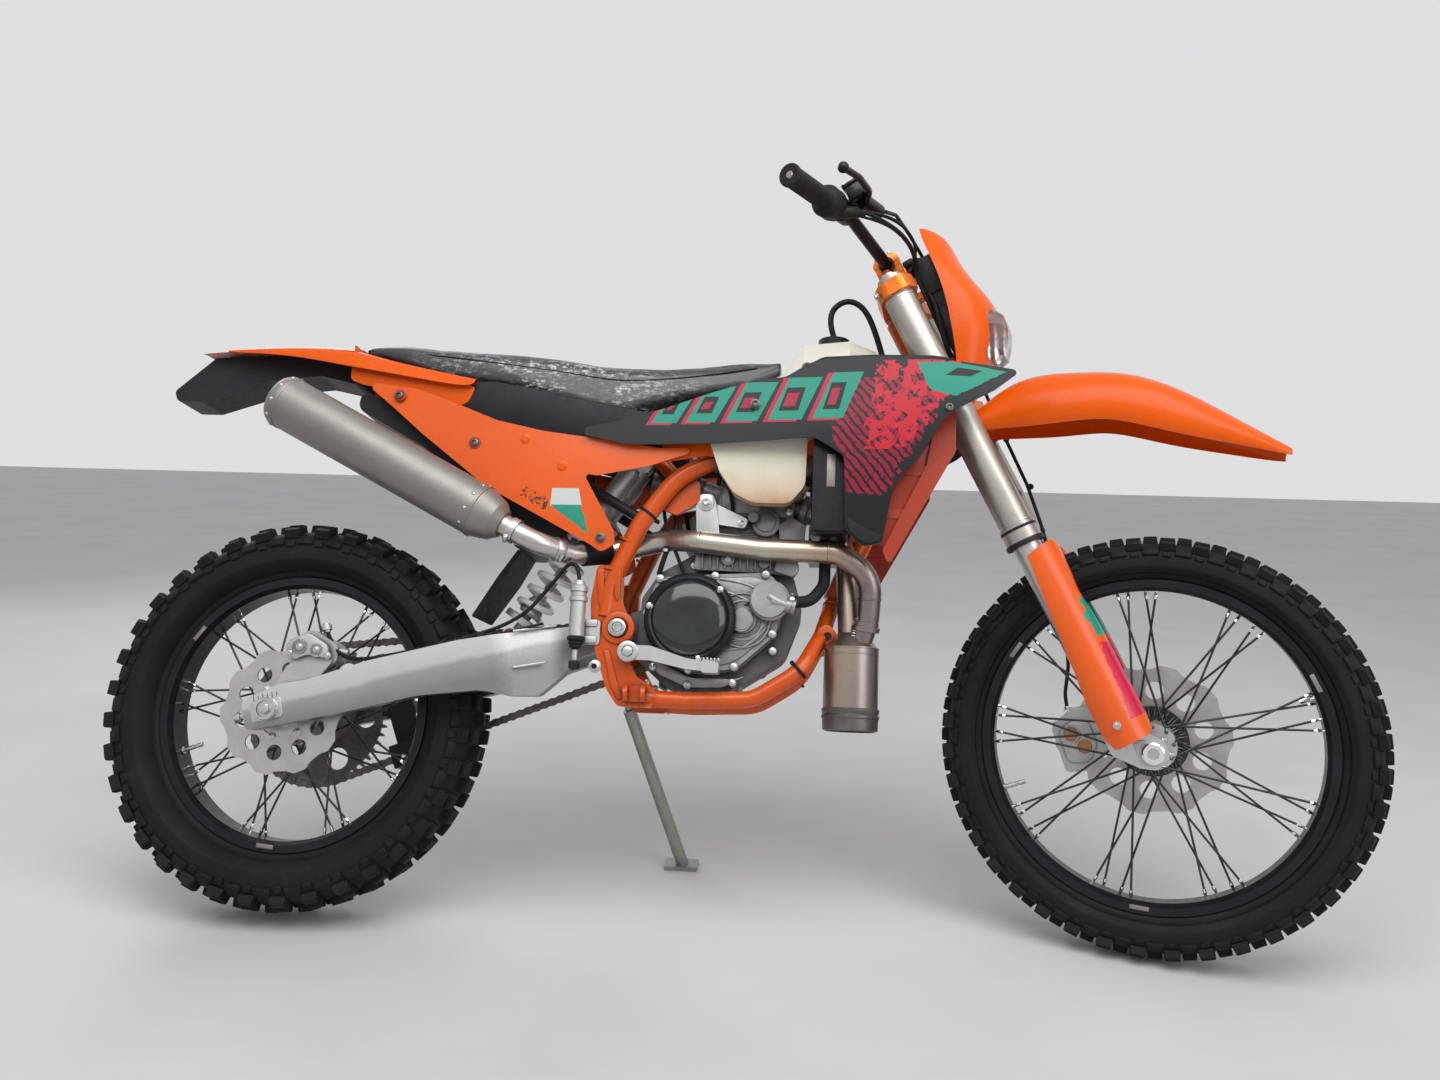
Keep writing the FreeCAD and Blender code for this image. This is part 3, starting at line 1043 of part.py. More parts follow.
STEERED = ("fork_clamps", "fork_tubes", "fork_lowers", "fork_guards", "front_axle", "front_caliper",
           "handlebar",
           "grips", "controls", "instrument", "front_fender", "headlight_mask", "headlight_lens", "brake_hose",
           "front_tyre", "front_rim", "front_hub", "front_disc")


def all_pieces():
    pieces = {}
    for name, shape in list(fork().items()) + list(handlebar().items()):
        pieces[name] = from_fork(shape)
    pieces["brake_hose"] = from_fork(brake_hose())
    pieces["front_fender"] = front_fender()
    pieces.update(headlight())
    pieces.update(front_wheel())
    pieces.update(rear_wheel())
    pieces["main_frame"] = main_frame()
    pieces["frame_brackets"] = Part.makeCompound([peg_bracket(), mirrored(peg_bracket()), stand_bracket()])
    pieces["subframe"] = subframe()
    pieces.update(engine())
    pieces.update(exhaust())
    pieces.update(swingarm())
    pieces["chain"] = chain()
    pieces.update(shock())
    pieces.update(bodywork())
    pieces.update(controls_on_frame())
    pieces["side_stand"] = side_stand()
    return pieces


def lowest_reach(profile, axle_z):
    """How far below its centre a wheel reaches when its axle leans by the given share."""
    level = math.sqrt(1 - axle_z * axle_z)
    return max(r * level + abs(y) * abs(axle_z) for r, y in profile)


def resting_place():
    """Pitch and drop that set both tyres on the ground once steering and lean are applied."""
    steer = Rotation(UP_AXIS, STEER_REST)
    lean = Rotation(vec(1, 0, 0), -LEAN)
    front_axle = lean.multVec(steer.multVec(vec(0, 1, 0)))
    front = lean.multVec(AXIS_FOOT.add(steer.multVec(FRONT_AXLE.sub(AXIS_FOOT))))
    rear_axle = lean.multVec(vec(0, 1, 0))
    rear = lean.multVec(vec(REAR_AXLE[0], 0, REAR_AXLE[1]))
    front_low = front.z - lowest_reach(tread_profile(FRONT_TYRE_R, FRONT_TYRE_W), front_axle.z)
    rear_low = rear.z - lowest_reach(tread_profile(REAR_TYRE_R, REAR_TYRE_W), rear_axle.z)
    pitch = math.degrees(math.atan2(front_low - rear_low, front.x - rear.x))
    return steer, lean, pitch, rear_low


def tread_profile(radius, width):
    """Corners of the tread bands as (radius, distance from the middle)."""
    side = radius - 0.035 * width
    return [(radius, 0.17 * width), (side, 0.25 * width), (side, width / 2 - 1)]


STEER, LEANED, PITCH_ANGLE, REAR_LOW = resting_place()
LEVEL = Rotation(vec(0, 1, 0), PITCH_ANGLE)
UPRIGHT = LEVEL.multiply(LEANED).inverted()


def park(shape):
    """Leans the machine about its ground line and levels it, so that it stands at Z = 0."""
    placed = shape.copy()
    lean = Placement(vec(0, 0, 0), LEANED)
    level = Placement(vec(0, 0, -REAR_LOW), LEVEL)
    placed.Placement = level.multiply(lean).multiply(shape.Placement)
    return placed


def steer(shape):
    placed = shape.copy()
    turn = Placement(AXIS_FOOT.sub(STEER.multVec(AXIS_FOOT)), STEER)
    placed.Placement = turn.multiply(shape.Placement)
    return placed


def main():
    os.makedirs("parts", exist_ok=True)
    pieces = {}
    for name, shape in all_pieces().items():
        pieces[name] = park(steer(shape) if name in STEERED else shape)
    whole = Part.makeCompound(list(pieces.values()))
    box = whole.optimalBoundingBox(True, False)
    shift = vec(-box.Center.x, -box.Center.y, -box.ZMin)
    for name, shape in pieces.items():
        shape.translate(shift)
        shape.exportStep("parts/" + name + ".step")
        print("%-22s solids %3d valid %s volume %.0f faces %d" % (
            name, len(shape.Solids), shape.isValid(), shape.Volume / 1000.0, len(shape.Faces)))
    print("box", box.XLength, box.YLength, box.ZLength, "zmin", box.ZMin, "pitch", PITCH_ANGLE)

    def placed_direction(direction, steered):
        turned = STEER.multVec(direction) if steered else direction
        return LEVEL.multVec(LEANED.multVec(turned))

    def placed_point(point, steered):
        point = AXIS_FOOT.add(STEER.multVec(point.sub(AXIS_FOOT))) if steered else point
        return placed_direction(point, False).add(vec(0, 0, -REAR_LOW)).add(shift)

    across = vec(0, 1, 0)
    joints = {"steering": (FRONT_AXLE.sub(AHEAD * AXLE_LEAD).add(UP_AXIS * HEAD_LOW), UP_AXIS, False),
              "front_wheel_spin": (FRONT_AXLE, across, True),
              "rear_wheel_spin": (vec(REAR_AXLE[0], 0, REAR_AXLE[1]), across, False),
              "side_stand_fold": (vec(*STAND_PIVOT), vec(*STAND_AXIS).normalize(), False)}
    for name, side in (("right", -1), ("left", 1)):
        middle = vec(PEG_PIN[0] + PEG_SPAN / 2, side * PEG_PIN[1], PEG_PIN[2])
        p, a = placed_point(middle, False), placed_direction(vec(1, 0, 0), False)
        print("mount footpeg_bore_%s pos_m %.6f %.6f %.6f axis %.6f %.6f %.6f" % (
            name, p.x / 1000, p.y / 1000, p.z / 1000, a.x, a.y, a.z))
    for name, (point, axis, steered) in joints.items():
        p, a = placed_point(point, steered), placed_direction(axis, steered)
        print("joint %s pos_m %.6f %.6f %.6f axis %.6f %.6f %.6f" % (
            name, p.x / 1000, p.y / 1000, p.z / 1000, a.x, a.y, a.z))


main()
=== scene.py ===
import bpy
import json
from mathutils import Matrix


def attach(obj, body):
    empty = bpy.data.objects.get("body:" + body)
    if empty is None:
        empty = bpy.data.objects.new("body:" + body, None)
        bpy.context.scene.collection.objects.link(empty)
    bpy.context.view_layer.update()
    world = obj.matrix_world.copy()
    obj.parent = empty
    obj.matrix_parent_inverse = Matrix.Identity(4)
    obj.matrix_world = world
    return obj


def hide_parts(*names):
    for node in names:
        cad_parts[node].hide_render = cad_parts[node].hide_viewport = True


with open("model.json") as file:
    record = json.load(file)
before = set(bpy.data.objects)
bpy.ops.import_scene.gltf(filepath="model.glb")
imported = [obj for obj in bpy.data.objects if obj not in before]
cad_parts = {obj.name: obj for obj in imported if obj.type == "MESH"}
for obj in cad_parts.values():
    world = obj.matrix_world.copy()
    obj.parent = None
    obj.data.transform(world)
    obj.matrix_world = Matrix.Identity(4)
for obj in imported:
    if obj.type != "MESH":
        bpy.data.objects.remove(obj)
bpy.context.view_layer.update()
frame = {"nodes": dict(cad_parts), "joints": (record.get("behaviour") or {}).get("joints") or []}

import json
import math

import bmesh
import bpy
from bpy.props import FloatProperty, FloatVectorProperty, IntProperty, PointerProperty
from mathutils import Matrix, Vector

bl_info = {
    "name": "Enduro Motorcycle",
    "version": (1, 0, 0),
    "blender": (4, 5, 0),
    "location": "3D View > Sidebar > Motorcycle",
    "description": "Builds the visible pieces and finishes of an enduro motorcycle on its side stand",
    "category": "Object",
}

MM = 0.001
UP, LEFT, RIGHT = (0, 0, 1), (0, 1, 0), (0, -1, 0)
ACROSS = Matrix.Scale(-1, 4, LEFT)

# Steering head: its rake, its height on the fork and its place over the bike's origin
RAKE = math.radians(26.1)
HEAD_LOW = 690.0
HEAD_FOOT = (1441.45, 327.7)
# Rear axle's height in metres, and the swingarm's climb over its length
REAR_AXLE_Z = 0.34
ARM_TILT = math.atan2(160, 581)

JOINTS = {joint["name"]: joint for joint in frame["joints"]}
NODES = frame["nodes"]


def basis(x_axis, y_axis, z_axis, origin):
    """The matrix of a frame with these axes and this origin."""
    return Matrix.Translation(origin) @ Matrix((x_axis, y_axis, z_axis)).transposed().to_4x4()


def machine_places():
    """Frames of the leaning machine, of its fork and of both wheels, worked out from the joints."""
    left = Vector(JOINTS["rear_wheel_spin"]["axis"]).normalized()
    up_fork = Vector(JOINTS["steering"]["axis"]).normalized()
    ahead_fork = left.cross(up_fork).normalized()
    forward = ahead_fork * math.cos(RAKE) - up_fork * math.sin(RAKE)
    upward = ahead_fork * math.sin(RAKE) + up_fork * math.cos(RAKE)
    rear_axle = Vector(JOINTS["rear_wheel_spin"]["pos_m"])
    bike = basis(forward, left, upward, rear_axle - upward * REAR_AXLE_Z)
    left_turned = Vector(JOINTS["front_wheel_spin"]["axis"]).normalized()
    ahead_turned = left_turned.cross(up_fork).normalized()
    head = Vector(JOINTS["steering"]["pos_m"])
    fork = basis(ahead_turned, left_turned, up_fork, head - up_fork * HEAD_LOW * MM)
    forward_turned = ahead_turned * math.cos(RAKE) - up_fork * math.sin(RAKE)
    upward_turned = ahead_turned * math.sin(RAKE) + up_fork * math.cos(RAKE)
    foot = fork.translation - forward_turned * HEAD_FOOT[0] * MM - upward_turned * HEAD_FOOT[1] * MM
    steered = basis(forward_turned, left_turned, upward_turned, foot)
    front_wheel = basis(forward_turned, left_turned, upward_turned,
                        Vector(JOINTS["front_wheel_spin"]["pos_m"]))
    rear_wheel = basis(forward, left, upward, rear_axle)
    return bike, fork, steered, front_wheel, rear_wheel


BIKE, FORK, STEERED, FRONT_WHEEL, REAR_WHEEL = machine_places()
ARM = BIKE @ Matrix.Translation((0, 0, REAR_AXLE_Z)) @ Matrix.Rotation(-ARM_TILT, 4, "Y")

# A mount is the frame that a piece is drawn in and the body that it rides on
ON_BIKE, ON_ARM = (BIKE, "chassis"), (ARM, "chassis")
ON_FORK, ON_HEAD = (FORK, "steering"), (STEERED, "steering")


# Modelling steps

def clear_selection():
    if bpy.context.object and bpy.context.object.mode != "OBJECT":
        bpy.ops.object.mode_set(mode="OBJECT")
    bpy.ops.object.select_all(action="DESELECT")


def activate(obj):
    clear_selection()
    obj.select_set(True)
    bpy.context.view_layer.objects.active = obj


def apply_modifier(obj, kind, **settings):
    """Adds a modifier with its settings and applies it."""
    activate(obj)
    modifier = obj.modifiers.new(kind.title(), kind)
    for key, value in settings.items():
        setattr(modifier, key, value)
    bpy.ops.object.modifier_apply(modifier=modifier.name)


def round_edges(obj, width, segments=2, angle=35.0):
    if width > 0:
        apply_modifier(obj, "BEVEL", width=width * MM, segments=segments, limit_method="ANGLE",
                       angle_limit=math.radians(angle), use_clamp_overlap=True)
    return obj


def settle(obj):
    """Applies the object's place to its mesh."""
    activate(obj)
    bpy.ops.object.transform_apply(location=True, rotation=True, scale=True)
    return obj


def joined(parts):
    """Joins objects into the first of them."""
    clear_selection()
    for part in parts:
        part.select_set(True)
    bpy.context.view_layer.objects.active = parts[0]
    if len(parts) > 1:
        bpy.ops.object.join()
    return bpy.context.view_layer.objects.active


def copied(obj, matrix):
    """A copy of an object, its mesh moved by a matrix."""
    twin = obj.copy()
    twin.data = obj.data.copy()
    bpy.context.scene.collection.objects.link(twin)
    twin.data.transform(matrix)
    return twin


def mirrored(obj):
    """A copy on the other side of the middle plane, turned right side out."""
    twin = copied(obj, ACROSS)
    outward(twin)
    return twin


def both_sides(obj):
    """A piece and its mirror image as one mesh."""
    return joined([obj, mirrored(obj)])


def outward(obj):
    """Welds doubled points and turns all faces right side out."""
    activate(obj)
    bpy.ops.object.mode_set(mode="EDIT")
    bpy.ops.mesh.select_all(action="SELECT")
    bpy.ops.mesh.remove_doubles(threshold=0.00002)
    bpy.ops.mesh.normals_make_consistent(inside=False)
    bpy.ops.object.mode_set(mode="OBJECT")
    return obj


def rod(start, end, radius, sides=20, edge=0.5):
    """A round bar between two points, with softened ends."""
    start, end = Vector(start), Vector(end)
    run = end - start
    clear_selection()
    bpy.ops.mesh.primitive_cylinder_add(vertices=sides, radius=radius * MM, depth=run.length * MM,
                                        location=(start + end) / 2 * MM,
                                        rotation=run.to_track_quat("Z", "Y").to_euler())
    return round_edges(settle(bpy.context.object), edge, 2, 50)


def box(centre, size, edge=0.8, turn=(0.0, 0.0, 0.0)):
    """A block about its centre, with softened edges."""
    clear_selection()
    bpy.ops.mesh.primitive_cube_add(size=1, location=Vector(centre) * MM, rotation=turn)
    block = bpy.context.object
    block.scale = Vector(size) * MM
    return round_edges(settle(block), edge, 2)


def curve_through(points, kind):
    """Curve data with one spline through points in millimetres."""
    data = bpy.data.curves.new("line", "CURVE")
    data.dimensions = "3D"
    spline = data.splines.new(kind)
    spline.points.add(len(points) - 1)
    for target, point in zip(spline.points, points):
        target.co = (point[0] * MM, point[1] * MM, point[2] * MM, 1)
    return data, spline


def curve_mesh(data):
    obj = bpy.data.objects.new("line", data)
    bpy.context.scene.collection.objects.link(obj)
    activate(obj)
    bpy.ops.object.convert(target="MESH")
    return bpy.context.object


def line_object(points, closed=False):
    """A line of straight runs as an edge mesh."""
    data, spline = curve_through(points, "POLY")
    spline.use_cyclic_u = closed
    return curve_mesh(data)


def aimed(at, along):
    """The matrix that stands a piece's own z on a point and aims it along a direction."""
    return Matrix.Translation(Vector(at) * MM) @ Vector(along).to_track_quat("Z", "Y").to_matrix().to_4x4()


def turned(profile, start=(0, 0, 0), along=LEFT, steps=32, edge=0.0):
    """A lathed piece from (distance along the axis, radius) pairs."""
    obj = line_object([(radius, 0, reach) for reach, radius in profile])
    bpy.ops.object.mode_set(mode="EDIT")
    bpy.ops.mesh.select_all(action="SELECT")
    bpy.ops.mesh.spin(steps=steps, angle=math.tau, center=(0, 0, 0), axis=(0, 0, 1))
    bpy.ops.object.mode_set(mode="OBJECT")
    outward(obj)
    obj.data.transform(aimed(start, along))
    return round_edges(obj, edge, 2, 30)


def pair(profile, x, y, z, steps=32):
    """Two lathed pieces that face away from the middle plane, one on each side."""
    return [turned(profile, (x, side * y, z), (0, side, 0), steps) for side in (-1, 1)]


def plate(points, y_from, y_to, corner=4.0, edge=0.8):
    """A flat plate standing in the XZ plane, its corners rounded, between two distances across."""
    obj = line_object([(x, y_from, z) for x, z in points], True)
    bpy.ops.object.mode_set(mode="EDIT")
    bpy.ops.mesh.select_all(action="SELECT")
    if corner > 0:
        bpy.ops.mesh.bevel(offset=corner * MM, affect="VERTICES", segments=4)
        bpy.ops.mesh.select_all(action="SELECT")
    bpy.ops.mesh.edge_face_add()
    bpy.ops.mesh.extrude_region_move(TRANSFORM_OT_translate={"value": (0, (y_to - y_from) * MM, 0)})
    bpy.ops.object.mode_set(mode="OBJECT")
    return round_edges(outward(obj), edge, 2, 40)


def hose(points, radius, order=3, sides=6):
    """A flexible line along a smooth spline through its guide points."""
    data, spline = curve_through(points, "NURBS")
    spline.order_u = order
    spline.use_endpoint_u = True
    spline.resolution_u = 8
    data.bevel_depth = radius * MM
    data.bevel_resolution = sides // 2
    data.use_fill_caps = True
    return outward(curve_mesh(data))


COIL_STEPS = 10


def ring_coil(start, end, coil_r, wire_r, turns, sides=4):
    """A coil spring between two points."""
    start, end = Vector(start), Vector(end)
    run = end - start
    side = run.orthogonal().normalized()
    other = run.normalized().cross(side)
    points = []
    steps = int(turns * COIL_STEPS)
    for i in range(steps + 1):
        angle = math.tau * i / COIL_STEPS
        points.append(start + run * (i / steps) + (side * math.cos(angle) + other * math.sin(angle)) * coil_r)
    return hose(points, wire_r, 3, sides)


def pick_faces(obj, wanted):
    """Enters edit mode with the faces that pass a test selected."""
    activate(obj)
    bpy.ops.object.mode_set(mode="EDIT")
    bpy.ops.mesh.select_all(action="DESELECT")
    mesh = bmesh.from_edit_mesh(obj.data)
    for face in mesh.faces:
        if wanted(face):
            face.select_set(True)
    bmesh.update_edit_mesh(obj.data)


def bolt(head_r=5.0, height=4.0, sides=6):
    """A flanged bolt head standing on the origin, with a recess in its top."""
    flange = rod((0, 0, -0.5), (0, 0, 1.2), head_r * 1.35, 20, 0.3)
    head = rod((0, 0, 1.0), (0, 0, 1.0 + height), head_r, sides, 0.4)
    top = (1.0 + height) * MM
    pick_faces(head, lambda face: face.normal.z > 0.9 and face.calc_center_median().z > top * 0.98)
    bpy.ops.mesh.inset(thickness=head_r * 0.40 * MM)
    bpy.ops.mesh.extrude_region_move(TRANSFORM_OT_translate={"value": (0, 0, -height * 0.5 * MM)})
    bpy.ops.object.mode_set(mode="OBJECT")
    return joined([flange, head])


def scattered(model, places):
    """Copies of one model at several places, as one mesh; each place is a matrix."""
    parts = [copied(model, place) for place in places]
    bpy.data.objects.remove(model)
    return joined(parts)


def bolts(places, head_r=5.0, height=4.0, sides=6):
    """Bolt heads at several (point, direction) places, as one mesh."""
    return scattered(bolt(head_r, height, sides), [aimed(at, along) for at, along in places])


def round_places(centre, radius, count, along, start=0.0):
    """Places on a bolt circle whose plane faces along the machine's width."""
    places = []
    for i in range(count):
        angle = math.radians(start) + math.tau * i / count
        x, z = centre[0] + radius * math.cos(angle), centre[2] + radius * math.sin(angle)
        places.append(((x, centre[1], z), along))
    return places


def present(obj, name, mount, finish, slot=None, replaced=(), smooth=35.0):
    """Places a finished piece, names it, gives it its finish and lets it ride on its body.

    The slot is not used."""
    place, body = mount
    slot = slot or finish
    obj.data.transform(place)
    obj.name = name
    obj.data.name = name
    obj.data.materials.clear()
    obj.data.materials.append(FINISH[finish])
    activate(obj)
    bpy.ops.object.shade_smooth_by_angle(angle=math.radians(smooth))
    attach(obj, body)
    if replaced:
        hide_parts(*replaced)
    return obj


# Finishes

def new_finish(name):
    material = bpy.data.materials.new(name)
    material.use_nodes = True
    tree = material.node_tree
    shader = tree.nodes["Principled BSDF"]
    coords = tree.nodes.new("ShaderNodeTexCoord")
    return material, tree, shader, coords.outputs["Object"]


def mapped(tree, coords, place):
    """Object coordinates turned into a place's own axes."""
    inverse = place.inverted()
    node = tree.nodes.new("ShaderNodeMapping")
    node.inputs["Location"].default_value = inverse.translation
    node.inputs["Rotation"].default_value = inverse.to_euler()
    tree.links.new(coords, node.inputs["Vector"])
    return node.outputs["Vector"]


def stretched(tree, coords, scale):
    node = tree.nodes.new("ShaderNodeMapping")
    node.inputs["Scale"].default_value = scale
    tree.links.new(coords, node.inputs["Vector"])
    return node.outputs["Vector"]


def noise(tree, coords, scale, detail=4.0, rough=0.55):
    node = tree.nodes.new("ShaderNodeTexNoise")
    node.inputs["Scale"].default_value = scale
    node.inputs["Detail"].default_value = detail
    node.inputs["Roughness"].default_value = rough
    tree.links.new(coords, node.inputs["Vector"])
    return node.outputs["Fac"]


def ramp(tree, value, stops):
    """A colour ramp from (place, colour) stops; a bare number is a grey."""
    node = tree.nodes.new("ShaderNodeValToRGB")
    elements = node.color_ramp.elements
    while len(elements) < len(stops):
        elements.new(0.5)
    for element, (place, colour) in zip(elements, stops):
        element.position = place
        element.color = (*colour, 1) if isinstance(colour, (tuple, list)) else (colour, colour, colour, 1)
    tree.links.new(value, node.inputs["Fac"])
    return node.outputs["Color"]


def math_node(tree, operation, first, second=0.0, clamp=False):
    node = tree.nodes.new("ShaderNodeMath")
    node.operation = operation
    node.use_clamp = clamp
    for socket, value in zip(node.inputs, (first, second)):
        if isinstance(value, (int, float)):
            socket.default_value = value
        else:
            tree.links.new(value, socket)
    return node.outputs[0]


def times(tree, first, second, clamp=False):
    return math_node(tree, "MULTIPLY", first, second, clamp)


def plus(tree, first, second):
    return math_node(tree, "ADD", first, second)


def minus(tree, first, second):
    return math_node(tree, "SUBTRACT", first, second)


def above(tree, value, limit):
    return math_node(tree, "GREATER_THAN", value, limit)


def scaled(tree, value, factor, offset, clamp=False):
    """A value times a factor plus an offset."""
    result = math_node(tree, "MULTIPLY_ADD", value, factor, clamp)
    result.node.inputs[2].default_value = offset
    return result


def axes(tree, vector):
    """The X, Y and Z sockets of a vector."""
    node = tree.nodes.new("ShaderNodeSeparateXYZ")
    tree.links.new(vector, node.inputs[0])
    return node.outputs


def blended(tree, share, first, second):
    """A mix of two colours by a share; each is a socket or a plain colour."""
    node = tree.nodes.new("ShaderNodeMix")
    node.data_type = "RGBA"
    if isinstance(share, (int, float)):
        node.inputs["Factor"].default_value = share
    else:
        tree.links.new(share, node.inputs["Factor"])
    for socket, value in ((node.inputs[6], first), (node.inputs[7], second)):
        if isinstance(value, (tuple, list)):
            socket.default_value = (*value, 1)
        else:
            tree.links.new(value, socket)
    return node.outputs[2]


def bumped(tree, shader, height, strength, distance=0.001):
    """Gives the shader a bump from a height."""
    node = tree.nodes.new("ShaderNodeBump")
    node.inputs["Strength"].default_value = strength
    node.inputs["Distance"].default_value = distance
    tree.links.new(height, node.inputs["Height"])
    tree.links.new(node.outputs["Normal"], shader.inputs["Normal"])


def shade(colour, factor):
    """A colour made darker or lighter by a factor."""
    return tuple(min(1.0, channel * factor) for channel in colour)


def plain_finish(name, colour, rough=0.4, metal=0.0, grain=900.0, grain_depth=0.1, cloud=9.0, spread=0.12,
                 rough_spread=0.1, coat=0.0, stretch=None, place=None, specular=0.5, crease_shade_reach=0.0):
    """A painted, moulded, cast or ground finish: slow colour clouds, uneven gloss and a fine grain, and where
    a reach is given, painted shade darkening its creases.
    """
    material, tree, shader, coords = new_finish(name)
    if place is not None:
        coords = mapped(tree, coords, place)
    slow = noise(tree, coords, cloud, 5.0, 0.6)
    colours = ramp(tree, slow, [(0.3, shade(colour, 1 - spread)), (0.7, shade(colour, 1 + spread))])
    # Painted shade: ambient occlusion within the reach darkens the colour in creases and hollows
    if crease_shade_reach:
        shadow = tree.nodes.new("ShaderNodeAmbientOcclusion")
        shadow.inputs["Distance"].default_value = crease_shade_reach
        depth = ramp(tree, shadow.outputs["AO"], [(0.30, 1.0), (0.92, 0.0)])
        colours = blended(tree, depth, colours, shade(colour, 0.18))
    tree.links.new(colours, shader.inputs["Base Color"])
    fine_coords = stretched(tree, coords, stretch) if stretch else coords
    fine = noise(tree, fine_coords, grain, 3.0, 0.6)
    patch = noise(tree, coords, cloud * 5, 4.0, 0.65)
    gloss = ramp(tree, patch, [(0.3, max(0.02, rough - rough_spread)),
                               (0.72, min(1.0, rough + rough_spread))])
    tree.links.new(gloss, shader.inputs["Roughness"])
    bumped(tree, shader, fine, grain_depth)
    shader.inputs["Metallic"].default_value = metal
    shader.inputs["Specular IOR Level"].default_value = specular
    shader.inputs["Coat Weight"].default_value = coat
    shader.inputs["Coat Roughness"].default_value = 0.08
    return material


# Colour, roughness, metal, grain scale and depth, cloud scale and spread, spread of the roughness, coat
PLAIN_FINISHES = {
    # Dark red for the knobs and cups, and painted shade on the radiator guards and their louvres: orange
    # plastic given the darker red it shows in shadow
    "red_plastic": (((0.34, 0.036, 0.014), 0.36, 0, 800, 0.05, 8, 0.06, 0.08, 0.05), dict(specular=0.3)),
    "black_plastic": (((0.016, 0.016, 0.018), 0.46, 0, 1500, 0.16, 16, 0.25, 0.1), dict(specular=0.22)),
    "black_gloss": (((0.008, 0.008, 0.009), 0.24, 0, 900, 0.04, 16, 0.2, 0.06, 0.12), dict(specular=0.3)),
    "black_alloy": (((0.018, 0.018, 0.02), 0.34, 0.7, 1600, 0.08, 18, 0.25, 0.08), {}),
    "black_rubber": (((0.012, 0.012, 0.012), 0.6, 0, 1200, 0.2, 20, 0.3, 0.1), dict(specular=0.22)),
    "orange_alloy": (((0.86, 0.2, 0.02), 0.3, 0.55, 1800, 0.06, 20, 0.08, 0.07), {}),
    "bare_alloy": (((0.56, 0.56, 0.55), 0.34, 0.9, 1100, 0.06, 12, 0.06, 0.05),
                   dict(stretch=(0.15, 1.0, 1.0), place=BIKE)),
    # The next three carry painted shade in their creases, within the given reach
    "cast_alloy": (((0.48, 0.48, 0.47), 0.5, 0.75, 520, 0.34, 16, 0.12, 0.1), dict(crease_shade_reach=0.012)),
    "engine_alloy": (((0.3, 0.3, 0.295), 0.44, 0.7, 560, 0.32, 22, 0.2, 0.12), dict(crease_shade_reach=0.012)),
    "engine_dark": (((0.12, 0.12, 0.118), 0.52, 0.6, 560, 0.32, 22, 0.2, 0.12), dict(crease_shade_reach=0.02)),
    "fork_alloy": (((0.44, 0.415, 0.37), 0.36, 0.85, 1500, 0.05, 9, 0.05, 0.06),
                   dict(stretch=(1.0, 1.0, 0.05), place=FORK)),
    "steel": (((0.56, 0.56, 0.555), 0.3, 0.95, 1300, 0.08, 25, 0.1, 0.1), {}),
    "dark_steel": (((0.14, 0.13, 0.12), 0.42, 0.85, 900, 0.14, 30, 0.3, 0.14), {}),
    "spoke_steel": (((0.05, 0.05, 0.052), 0.32, 0.8, 900, 0.05, 60, 0.2, 0.1), {}),
    "white_steel": (((0.88, 0.88, 0.86), 0.34, 0, 900, 0.05, 20, 0.04, 0.08, 0.2), {}),
    "silencer_alloy": (((0.27, 0.25, 0.23), 0.46, 0.8, 1900, 0.22, 7, 0.1, 0.05), {}),
    "olive_steel": (((0.3, 0.31, 0.26), 0.44, 0.8, 900, 0.12, 20, 0.15, 0.12), {}),
    "chrome": (((0.8, 0.8, 0.8), 0.1, 1.0, 1200, 0.02, 12, 0.03, 0.04), {}),
    "brass": (((0.4, 0.19, 0.07), 0.34, 0.5, 900, 0.06, 40, 0.12, 0.08), {}),
    "smoked": (((0.012, 0.018, 0.016), 0.12, 0, 60, 0.05, 24, 0.5, 0.05, 0.3), {}),
    "disc_steel": (((0.5, 0.485, 0.47), 0.36, 0.9, 700, 0.06, 30, 0.1, 0.08), {}),
}


def make_finishes(look):
    made = {name: plain_finish(name, *values, **extras) for name, (values, extras) in PLAIN_FINISHES.items()}
    made["orange_plastic"] = plain_finish("orange_plastic", look.orange, 0.28, 0, 700, 0.03, 5, 0.04,
                                          0.06, 0.04, specular=0.2)
    # The frame's deeper orange, with painted shade in its creases
    made["orange_frame"] = plain_finish("orange_frame", shade(look.orange, 0.80), 0.28, 0, 1400,
                                        0.10, 14, 0.07, 0.08, 0.1, specular=0.4, crease_shade_reach=0.02)
    made.update(tyre=tyre_finish(), arm_alloy=arm_finish(), tank_plastic=tank_finish(),
                heat_steel=heat_finish(), clear_lens=lens_finish(), seat_cover=seat_finish(),
                shroud_print=shroud_finish(look), panel_print=panel_finish(look),
                guard_print=guard_finish(look))
    return made


def arm_finish():
    """Brushed swingarm: a painted highlight on the upper flank over painted shade on the duller, faintly
    mottled lower flank.
    """
    material, tree, shader, coords = new_finish("arm_alloy")
    place = mapped(tree, coords, ARM)
    # Painted light: the colour follows height on the arm, bright above its middle line and dark below it
    level = scaled(tree, axes(tree, place)["Z"], 10.0, 0.5)
    brushed = noise(tree, stretched(tree, place, (0.06, 1.0, 1.0)), 900, 4)
    cloud = noise(tree, coords, 14)
    mixed = plus(tree, level, times(tree, minus(tree, cloud, 0.5), 0.16))
    colours = ramp(tree, mixed, [(0.20, (0.26, 0.26, 0.26)), (0.52, (0.38, 0.38, 0.375)),
                                 (0.60, (0.60, 0.60, 0.59)), (0.85, (0.66, 0.66, 0.65))])
    tree.links.new(colours, shader.inputs["Base Color"])
    tree.links.new(ramp(tree, brushed, [(0.3, 0.26), (0.7, 0.40)]), shader.inputs["Roughness"])
    shader.inputs["Metallic"].default_value = 0.85
    bumped(tree, shader, brushed, 0.05)
    return material


